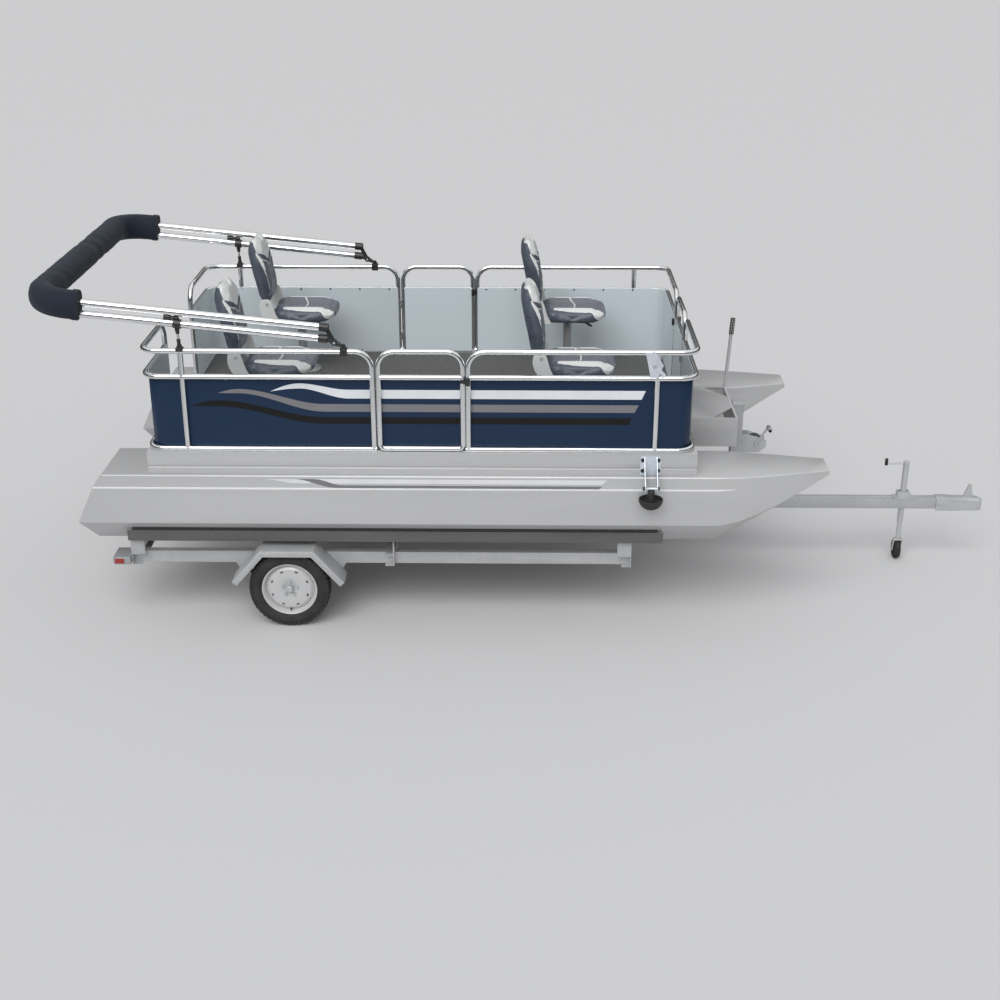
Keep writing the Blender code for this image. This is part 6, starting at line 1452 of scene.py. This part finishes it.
# Distance along the bow from the sleeve's end, and the sleeve's section as a share
HEM_RINGS = ((-0.010, 0.90), (-0.012, 1.01), (-0.010, 1.045), (0.022, 1.055), (0.024, 1.00))
SECTION_POWER = 0.85
FOLD_COUNT = 26
FOLD_LEAN = 0.6
FOLD_END = 0.12
ZIP_HALF = (0.010, 0.003)
sleeve_cloth = woven("sleeve_cloth", CLOTH_NAVY, CLOTH_WORN, 420.0, 0.55, 0.82)
half = Vector((0, rail_half, 0))
section = []
for a, b in oval(1.0, 1.0, 32):
    section.append((SLEEVE_HALF[0] * math.copysign(abs(a) ** SECTION_POWER, a),
                    SLEEVE_HALF[1] * math.copysign(abs(b) ** SECTION_POWER, b)))
roll = bmesh.new()
swept(roll, sleeve_path(SLEEVE_LIFT, CANOPY_REACH), section)
sleeve = plump("canopy_sleeve_cover", roll, 0.009, 3.0, 0.006)
slack = random.Random(7)
folds = []
for _ in range(FOLD_COUNT):
    folds.append((slack.uniform(-1.0, 1.0), slack.uniform(0.02, 0.05), slack.uniform(0.0008, 0.0022)))
middle = bow_line(CANOPY_REACH, SLEEVE_LIFT)
for vertex in sleeve.data.vertices:
    along_bar = vertex.co.y - middle_y
    lean = (vertex.co.z - middle.z) * FOLD_LEAN
    dent = 0.0
    for spot, width, depth in folds:
        dent += depth * math.exp(-((along_bar - spot * rail_half + lean) / width) ** 2)
    inward = Vector((middle.x, vertex.co.y, middle.z)) - vertex.co
    if abs(along_bar) < rail_half - FOLD_END:
        vertex.co += inward.normalized() * dent
subdivided(sleeve)
sleeve.data.materials.append(sleeve_cloth)
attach(sleeve, "canopy")
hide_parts("canopy_sleeve")
zip_black = finish("zip_tape", (0.012, 0.014, 0.020), 0.7, grain=900.0, depth=0.0004)
tape = bmesh.new()
swept(tape, sleeve_path(SLEEVE_LIFT - SLEEVE_HALF[1] - 0.001, CANOPY_REACH - 0.004), oval(*ZIP_HALF, 10))
made_object("canopy_sleeve_zip", tape, zip_black, "canopy")
up = Vector((math.sin(CANOPY_SLOPE), 0, math.cos(CANOPY_SLOPE)))
for name, side in SIDES:
    start = bow_line(CANOPY_REACH - SLEEVE_ARM, SLEEVE_LIFT) + half * side
    rings = []
    for reach, scale in HEM_RINGS:
        rings.append([start + run * reach + Vector((0, a * scale, 0)) + up * b * scale for a, b in section])
    made_object("canopy_sleeve_hem_" + name, lofted(bmesh.new(), rings), sleeve_cloth, "canopy")

# Seats. Moulded folding seats: a stitched vinyl cushion and back over foam, slate with navy sides
# and white stripes, on a plastic shell with white hinge arms and a plated swivel.
VINYL_NAVY = (0.068, 0.082, 0.108)
VINYL_SLATE = (0.135, 0.145, 0.175)
VINYL_WHITE = (0.66, 0.67, 0.66)
CUSHION_BACK, CUSHION_FRONT = 0.190, 0.272
CUSHION_HALF = 0.215
CUSHION_CORNER = 0.120
CUSHION_REAR_CORNER = 0.095
CUSHION_THICK = 0.085
SHELL_THICK = 0.018
SWIVEL_THICK = 0.012
BACK_LEAN = math.radians(10.0)
BACK_FACE = 0.028
BACK_DEPTH = 0.075
BACK_BELOW, BACK_LENGTH, BACK_HALF = 0.030, 0.455, 0.195

# One group gives vinyl grain: small rounded cells with finer pores between them
grain_group, taken, given = node_group("vinyl_grain", "ShaderNodeTree", {"Cells": "Float"},
                                       {"Height": "Float", "Roughness Shift": "Float"})
where = added(grain_group, "ShaderNodeTexCoord").outputs["Object"]
cells = added(grain_group, "ShaderNodeTexVoronoi", {"Vector": where, "Scale": taken["Cells"]},
              feature="DISTANCE_TO_EDGE")
fed(grain_group, given, {
    "Height": worked(grain_group, "MULTIPLY", cells.outputs["Distance"], 4.0, clamp=True),
    "Roughness Shift": worked(grain_group, "MULTIPLY", noise(grain_group, where, 18.0), 0.16)})
SEAM_HALF = 0.0006
VINYL_CELLS = 420.0
VINYL_ROUGHNESS = 0.26


def vinyl(name, base, panels):
    """Vinyl whose colour changes at the seams that the piece's own attributes mark."""
    made, tree, shader = painted(name)
    colour = (*base, 1)
    for label, value in panels.items():
        mark = added(tree, "ShaderNodeAttribute", attribute_name=label)
        edge = added(tree, "ShaderNodeMapRange", {"From Min": -SEAM_HALF, "From Max": SEAM_HALF,
                                                  "Value": mark.outputs["Fac"]})
        colour = blended(tree, edge.outputs["Result"], colour, (*value, 1))
    cells = added(tree, "ShaderNodeGroup", {"Cells": VINYL_CELLS}, node_tree=grain_group)
    bump = added(tree, "ShaderNodeBump", {"Strength": 0.35, "Distance": 0.0004,
                                          "Height": cells.outputs["Height"]})
    fed(tree, shader, {"Base Color": colour, "Normal": bump.outputs["Normal"],
                       "Roughness": worked(tree, "ADD", VINYL_ROUGHNESS, cells.outputs["Roughness Shift"])})
    return made


STRIPE_INSIDE = 0.132
STRIPE_START = 0.085
SEAM_WIDTH, SEAM_DEPTH = 0.0035, 0.0022


def stripe_reach(u):
    """How far from the middle a cushion's white stripe runs, and its half width."""
    forward, flare = max(u + 0.10, 0.0), max(u - 0.15, 0.0)
    width = 0.019 + 0.070 * forward ** 1.5 + 0.95 * flare ** 1.5
    return STRIPE_INSIDE + width + 0.6 * flare * flare, width


def cushion_marks(u, v, w):
    """Signed distances into the white panels and the middle panel of a cushion."""
    reach, width = stripe_reach(u)
    wrap = w - (0.050 - 0.048 * curve_share((u - 0.15) / 0.08))
    stripe = min(width - math.hypot(abs(v) - reach, min(u + STRIPE_START, 0.0)), wrap)
    bow = min(0.0050 - abs(u - (0.050 - 2.0 * v * v)), STRIPE_INSIDE + 0.005 - abs(v), w - 0.04)
    middle = min(STRIPE_INSIDE + 0.005 - abs(v), u + 0.125)
    return max(stripe, bow), middle


def marked(item, marks, origin, turn=None):
    """Writes a piece's panel distances on its points, and draws the seams in."""
    mesh = item.data
    normals = [vertex.normal.copy() for vertex in mesh.vertices]
    values = []
    for vertex in mesh.vertices:
        local = vertex.co - origin
        if turn:
            local = turn @ local
        values.append(marks(*local))
    for index, label in enumerate(("white_panel", "middle_panel")):
        attribute = mesh.attributes.new(label, "FLOAT", "POINT")
        attribute.data.foreach_set("value", [pair[index] for pair in values])
    for vertex, pair, normal in zip(mesh.vertices, values, normals):
        sink = max(math.exp(-(distance / SEAM_WIDTH) ** 2) for distance in pair)
        vertex.co -= normal * SEAM_DEPTH * sink
    mesh.materials.clear()
    mesh.materials.append(seat_vinyl)
    return mesh


seat_vinyl = vinyl("seat_vinyl", VINYL_NAVY, {"middle_panel": VINYL_SLATE, "white_panel": VINYL_WHITE})
white_plastic = finish("seat_arm_white", (0.62, 0.63, 0.62), 0.40, stain=(0.5, 0.5, 0.48), stain_share=0.3,
                       grain=500.0, depth=0.0001)
shell_plastic = finish("seat_shell_plastic", (0.05, 0.054, 0.06), 0.45, grain=500.0, depth=0.0002)
first = PEDESTALS["starboard_aft"]
shell_z = first.z + SWIVEL_THICK
foot_z = shell_z + SHELL_THICK


def plan_ring(back, front, half, corner, rear_corner, steps=10):
    """A rectangle in plan with rounded corners, about the seat's middle."""
    corners = [(front, 0, 0), (front, half, 0), (back, half, 0), (back, -half, 0), (front, -half, 0),
               (front, 0, 0)]
    radii = (corner, rear_corner, rear_corner, corner)
    return [(point.x, point.y) for point in arc_path(corners, radii, steps)[1:-1]]


# How far in from the cushion's outline and how high over its foot each ring of its foam lies
CUSHION_RINGS = ((0.075, 0.000), (0.060, -0.010), (0.036, -0.013), (0.013, -0.003), (0.003, 0.016),
                 (0.002, 0.038), (0.006, 0.058), (0.016, 0.071), (0.031, 0.079), (0.055, 0.083))
foam = bmesh.new()
rings = []
for inset, rise in CUSHION_RINGS:
    ring = plan_ring(-CUSHION_BACK + inset, CUSHION_FRONT - inset, CUSHION_HALF - inset,
                     CUSHION_CORNER - inset / 2, CUSHION_REAR_CORNER - inset / 2)
    rings.append([Vector((first.x + a, first.y + b, foot_z + rise)) for a, b in ring])
lofted(foam, rings)
cushion = plump("cushion", foam, 0.0055, 4.0, 0.012, held=lambda point: point.z < foot_z + 0.001)
for vertex in cushion.data.vertices:
    local = vertex.co - first
    height = min(max(0.0, (vertex.co.z - foot_z) / CUSHION_THICK), 1.0)
    dish = curve_share((STRIPE_INSIDE + 0.006 - abs(local.y)) / 0.055)
    dish *= curve_share((local.x + 0.150) / 0.060) * (1 - 0.6 * curve_share((local.x - 0.17) / 0.08))
    fall = curve_share((local.x - 0.12) / 0.15)
    vertex.co.z -= height * height * (0.009 + 0.018 * dish + 0.008 * fall)
    vertex.co.z += (1 - height) * 0.018 * curve_share((local.x - 0.17) / 0.10)
subdivided(cushion)
cushion_mesh = marked(cushion, cushion_marks, Vector((first.x, first.y, foot_z)))
cushion_top = BVHTree.FromPolygons([vertex.co for vertex in cushion_mesh.vertices],
                                   [face.vertices for face in cushion_mesh.polygons])
bpy.data.objects.remove(cushion)

back_axle = joint_place("seat_back_starboard_aft_fold")
lean_back = Matrix.Rotation(-BACK_LEAN, 3, "Y")


def back_outline(inset, steps=8):
    """The back's outline as (across, up) pairs, inset evenly."""
    half, low, high = BACK_HALF - inset, -BACK_BELOW + inset, BACK_LENGTH - inset
    corners = [(0, low, 0), (half * 0.74, low, 0), (half * 0.96, BACK_LENGTH * 0.33, 0),
               (half, BACK_LENGTH * 0.58, 0), (half * 0.74, high, 0), (-half * 0.74, high, 0),
               (-half, BACK_LENGTH * 0.58, 0), (-half * 0.96, BACK_LENGTH * 0.33, 0), (-half * 0.74, low, 0),
               (0, low, 0)]
    radii = (0.050, 0.25, 0.25, 0.080, 0.080, 0.25, 0.25, 0.050)
    return [(point.x, point.y) for point in arc_path(corners, radii, steps)[1:-1]]


def back_marks(depth, across, up):
    """Signed distances into the white panels and the middle panel of a back."""
    aside = abs(across)
    behind = back_middle(up) + 0.004 - depth
    share = curve_share((behind + 0.012) / 0.024)
    cap = up - ((0.277 + 0.30 * aside + 1.3 * aside * aside) * (1 - share) + 0.428 * share)
    girth = behind + BACK_DEPTH * 0.5 * back_section(up)[1] - (BACK_HALF - aside)
    leaf_line = -0.046 + 0.040 * curve_share((up - 0.10) / 0.28)
    leaf_half = 0.006 + 0.013 * curve_share((up - 0.13) / 0.15)
    leaf = min(leaf_half - abs(girth - leaf_line), 0.372 - 1.3 * (0.012 - girth) - up, up - 0.090,
               -behind)
    seam = 0.232 + 0.50 * aside
    arc = min(0.0040 - abs(up - seam), leaf_line - girth, -behind)
    middle = min(leaf_line - girth, seam - up, up + 0.005, -behind)
    return max(cap, leaf, arc), middle


BACK_MIDDLE = BACK_FACE - BACK_DEPTH / 2
# Share of the back's length, how far forward its middle lies, and its thickness as a share
BACK_SECTIONS = ((-0.07, -0.014, 0.85), (0.10, -0.004, 1.05), (0.30, 0.006, 1.26), (0.55, 0.004, 1.30),
                 (0.78, 0.000, 1.26), (0.92, 0.002, 1.14), (1.00, 0.002, 0.95))


def back_section(up):
    """The middle and the thickness share of the back at a height."""
    share = min(max(up / BACK_LENGTH, BACK_SECTIONS[0][0]), BACK_SECTIONS[-1][0])
    for low, high in zip(BACK_SECTIONS, BACK_SECTIONS[1:]):
        if share <= high[0]:
            part = curve_share((share - low[0]) / (high[0] - low[0]))
            return low[1] + (high[1] - low[1]) * part, low[2] + (high[2] - low[2]) * part
    return BACK_SECTIONS[-1][1:]


def back_middle(up):
    """Where the back's middle lies at a height."""
    return BACK_MIDDLE + back_section(up)[0]


# How far forward of the back's face and how far in from its outline each ring of its foam lies
BACK_RINGS = ((-0.004, 0.075), (-0.007, 0.045), (-0.013, 0.022), (-0.024, 0.006), (-0.0375, 0.001),
              (-0.051, 0.006), (-0.062, 0.022), (-0.068, 0.045), (-0.071, 0.075))
pad = bmesh.new()
rings = []
for depth, inset in BACK_RINGS:
    rings.append([back_axle + lean_back @ Vector((BACK_FACE + depth, across, up))
                  for across, up in back_outline(inset)])
lofted(pad, rings)
backrest = plump("backrest", pad, 0.0055, 4.0, 0.012)
upright = lean_back.inverted()
# The back folds down flat on the cushion, so its front keeps clear of the cushion's top
FOLDED_GAP = 0.004
for vertex in backrest.data.vertices:
    local = upright @ (vertex.co - back_axle)
    shift, share = back_section(local.z)
    offset = (local.x - BACK_MIDDLE) * share
    if offset > 0:
        roll = curve_share((abs(local.y) - 0.070) / 0.050) * curve_share((0.188 - abs(local.y)) / 0.040)
        offset *= 0.86 + 0.20 * roll * curve_share((0.400 - local.z) / 0.10)
    depth = BACK_MIDDLE + shift + offset
    over = Vector((back_axle.x + local.z, vertex.co.y, back_axle.z))
    under = cushion_top.ray_cast(over, Vector((0, 0, -1)))[0]
    if under:
        depth = min(depth, over.z - under.z - FOLDED_GAP)
    vertex.co = back_axle + lean_back @ Vector((depth, local.y, local.z))
subdivided(backrest)
back_mesh = marked(backrest, back_marks, back_axle, upright)
bpy.data.objects.remove(backrest)

# How far in from the shell's outline and how high each of its rings lies
SHELL_RINGS = ((0.022, 0.0), (0.006, 0.006), (0.004, SHELL_THICK), (0.012, SHELL_THICK + 0.0005))
SHELL_INSET, SHELL_FRONT_INSET = 0.074, 0.080
SHELL_CORNER = 0.05
# Height up the swivel plate and its radius
SWIVEL_RINGS = ((0, 0), (0, 0.084), (0.004, 0.085), (0.004, 0.080), (0.008, 0.080), (0.008, 0.085),
                (0.0118, 0.084), (0.0118, 0))
LEVER_SIDE = 0.118
ARM_INNER, ARM_OUTER = 0.2005, 0.2125
ARM_CORNER = 0.024
AXLE_INNER, AXLE_OUTER = 0.184, 0.2145
AXLE_RADIUS = 0.0078
for label, spot in PEDESTALS.items():
    shift = Vector((spot.x - first.x, spot.y - first.y, 0))
    seat_body, back_body = "seat_" + label, "seat_back_" + label
    for kind, source, body in (("cushion_", cushion_mesh, seat_body), ("backrest_", back_mesh, back_body)):
        mesh = source.copy()
        mesh.transform(Matrix.Translation(shift))
        piece = linked(kind + label, mesh)
        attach(piece, body)
        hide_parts(body)
    rings = []
    for inset, rise in SHELL_RINGS:
        outline = plan_ring(-CUSHION_BACK + inset + SHELL_INSET, CUSHION_FRONT - inset - SHELL_FRONT_INSET,
                            CUSHION_HALF - inset - SHELL_INSET, CUSHION_CORNER - SHELL_CORNER,
                            CUSHION_REAR_CORNER - SHELL_CORNER)
        rings.append([Vector((spot.x + a, spot.y + b, shell_z + rise)) for a, b in outline])
    made_object("seat_shell_" + label, lofted(bmesh.new(), rings), shell_plastic, seat_body)
    swivel = revolved(bmesh.new(), [(spot.z + rise, radius) for rise, radius in SWIVEL_RINGS], "z",
                      (spot.x, spot.y, 0), 48)
    made_object("swivel_plate_" + label, swivel, zinc_plate, seat_body)
    lever = bmesh.new()
    y = spot.y - LEVER_SIDE
    corners = ((spot.x - 0.010, spot.y - 0.070, shell_z - 0.006), (spot.x + 0.020, y, shell_z - 0.006),
               (spot.x + 0.120, y, shell_z - 0.010), (spot.x + 0.160, y, shell_z - 0.030))
    piped(lever, arc_path(corners, 0.012, 5), 0.0045, 10)
    piped(lever, [(spot.x + 0.136, y, shell_z - 0.0175), (spot.x + 0.168, y, shell_z - 0.034)], 0.0078, 12)
    made_object("swivel_lever_" + label, lever, fitting_black, seat_body)
    arms = bmesh.new()
    axle = back_axle + shift
    outline = rounded([(axle.x - 0.048, axle.z + 0.032), (axle.x + 0.022, axle.z + 0.036),
                       (axle.x + 0.040, axle.z - 0.012), (axle.x + 0.055, axle.z - 0.070),
                       (axle.x + 0.085, shell_z + 0.012), (axle.x + 0.076, shell_z + 0.001),
                       (axle.x + 0.008, shell_z + 0.001), (axle.x - 0.036, shell_z + 0.045),
                       (axle.x - 0.057, axle.z - 0.035)], ARM_CORNER, 5)
    for side in (-1, 1):
        part = lofted(bmesh.new(), [[(x, spot.y + side * face, z) for x, z in outline]
                                    for face in (ARM_INNER, ARM_OUTER)])
        bmesh.ops.recalc_face_normals(part, faces=part.faces)
        rim_edges = [edge for edge in part.edges
                     if len(edge.link_faces) == 2 and edge.calc_face_angle() > 1.2]
        bmesh.ops.bevel(part, geom=rim_edges, offset=0.003, segments=3, affect="EDGES", clamp_overlap=True)
        joined(arms, part)
        near, far = sorted((spot.y + side * AXLE_INNER, spot.y + side * AXLE_OUTER))
        peg(arms, axle.x, axle.z, near, far, AXLE_RADIUS, 20)
    made_object("seat_arms_" + label, arms, white_plastic, seat_body)
    fasteners("seat_arm_bolts_" + label, [((axle.x, spot.y + side * 0.2140, axle.z), (0, side, 0))
                                          for side in (-1, 1)], zinc_plate, seat_body, 0.014, 0.004)

# Anchor. A cast iron mushroom anchor, dipped black, hangs from a plated davit on the deck's edge;
# its rope lock is a small plate with a slotted lever on the fence.
IRON_BLACK = (0.016, 0.016, 0.017)
cast_black = finish("anchor_iron", IRON_BLACK, 0.62, stain=(0.055, 0.045, 0.038), stain_share=0.5, patch=18.0,
                    grain=260.0, depth=0.0012)
ANCHOR_NECK = 0.060
CUP_WALL = 0.009
CUP_STEPS = 12
SHANK_RADIUS = 0.022
DAVIT_BLUE = (0.64, 0.69, 0.76)
DAVIT_GAP = 0.0055
DAVIT_BOLT_HALF = 0.048
DAVIT_BOLT_HEIGHTS = (1.095, 1.165)
PIN_RISE = 0.0083
PIN_NUT_HALF = 0.0435
LOCK_BOLT_DROP = 0.075
anchor_low, anchor_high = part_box("anchor")
spot = Vector(((anchor_low.x + anchor_high.x) / 2, (anchor_low.y + anchor_high.y) / 2, 0))
cup_radius = (anchor_high.x - anchor_low.x) / 2
brim = anchor_high.z - ANCHOR_NECK
depth = brim - anchor_low.z
profile = [(anchor_high.z, 0), (anchor_high.z, 0.020), (anchor_high.z - 0.004, SHANK_RADIUS),
           (brim - 0.03, 0.0175), (brim - depth + CUP_WALL + 0.004, SHANK_RADIUS)]
for wall, order in ((CUP_WALL, 1), (0, -1)):
    arc = []
    for step in range(CUP_STEPS + 1):
        turn = math.pi / 2 * step / CUP_STEPS
        arc.append((brim - (depth - wall) * math.cos(turn), (cup_radius - wall) * math.sin(turn)))
    profile += [point for point in arc[::order] if order < 0 or point[1] > SHANK_RADIUS + 0.004]
mushroom = made_object("anchor_mushroom", revolved(bmesh.new(), profile, "z", spot, 56), cast_black, ROOT)
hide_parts("anchor")
davit_skin = finish("davit_plate", DAVIT_BLUE, 0.30, metallic=0.35, patch=20.0, grain=300.0, depth=0.0001)
dressed("anchor_davit", "anchor_davit_arms", davit_skin, ROOT, edge=0.0010)
face_y = deck_low.y - DAVIT_GAP
fasteners("davit_bolts", [((spot.x + a * DAVIT_BOLT_HALF, face_y, z), (0, -1, 0))
                          for a in (-1, 1) for z in DAVIT_BOLT_HEIGHTS], fitting_black, ROOT, 0.017, 0.008)
fasteners("davit_pin_nuts", [((spot.x + a * PIN_NUT_HALF, spot.y, anchor_high.z + PIN_RISE), (a, 0, 0))
                             for a in (-1, 1)], fitting_black, ROOT, 0.020, 0.009)
dressed("rope_lock", "rope_lock_plate", davit_skin, ROOT, edge=0.0008)
lock_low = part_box("rope_lock")[0]
fasteners("rope_lock_bolt", [((spot.x, lock_low.y, rail_top - LOCK_BOLT_DROP), (0, -1, 0))],
          zinc_plate, ROOT, 0.016, 0.005)
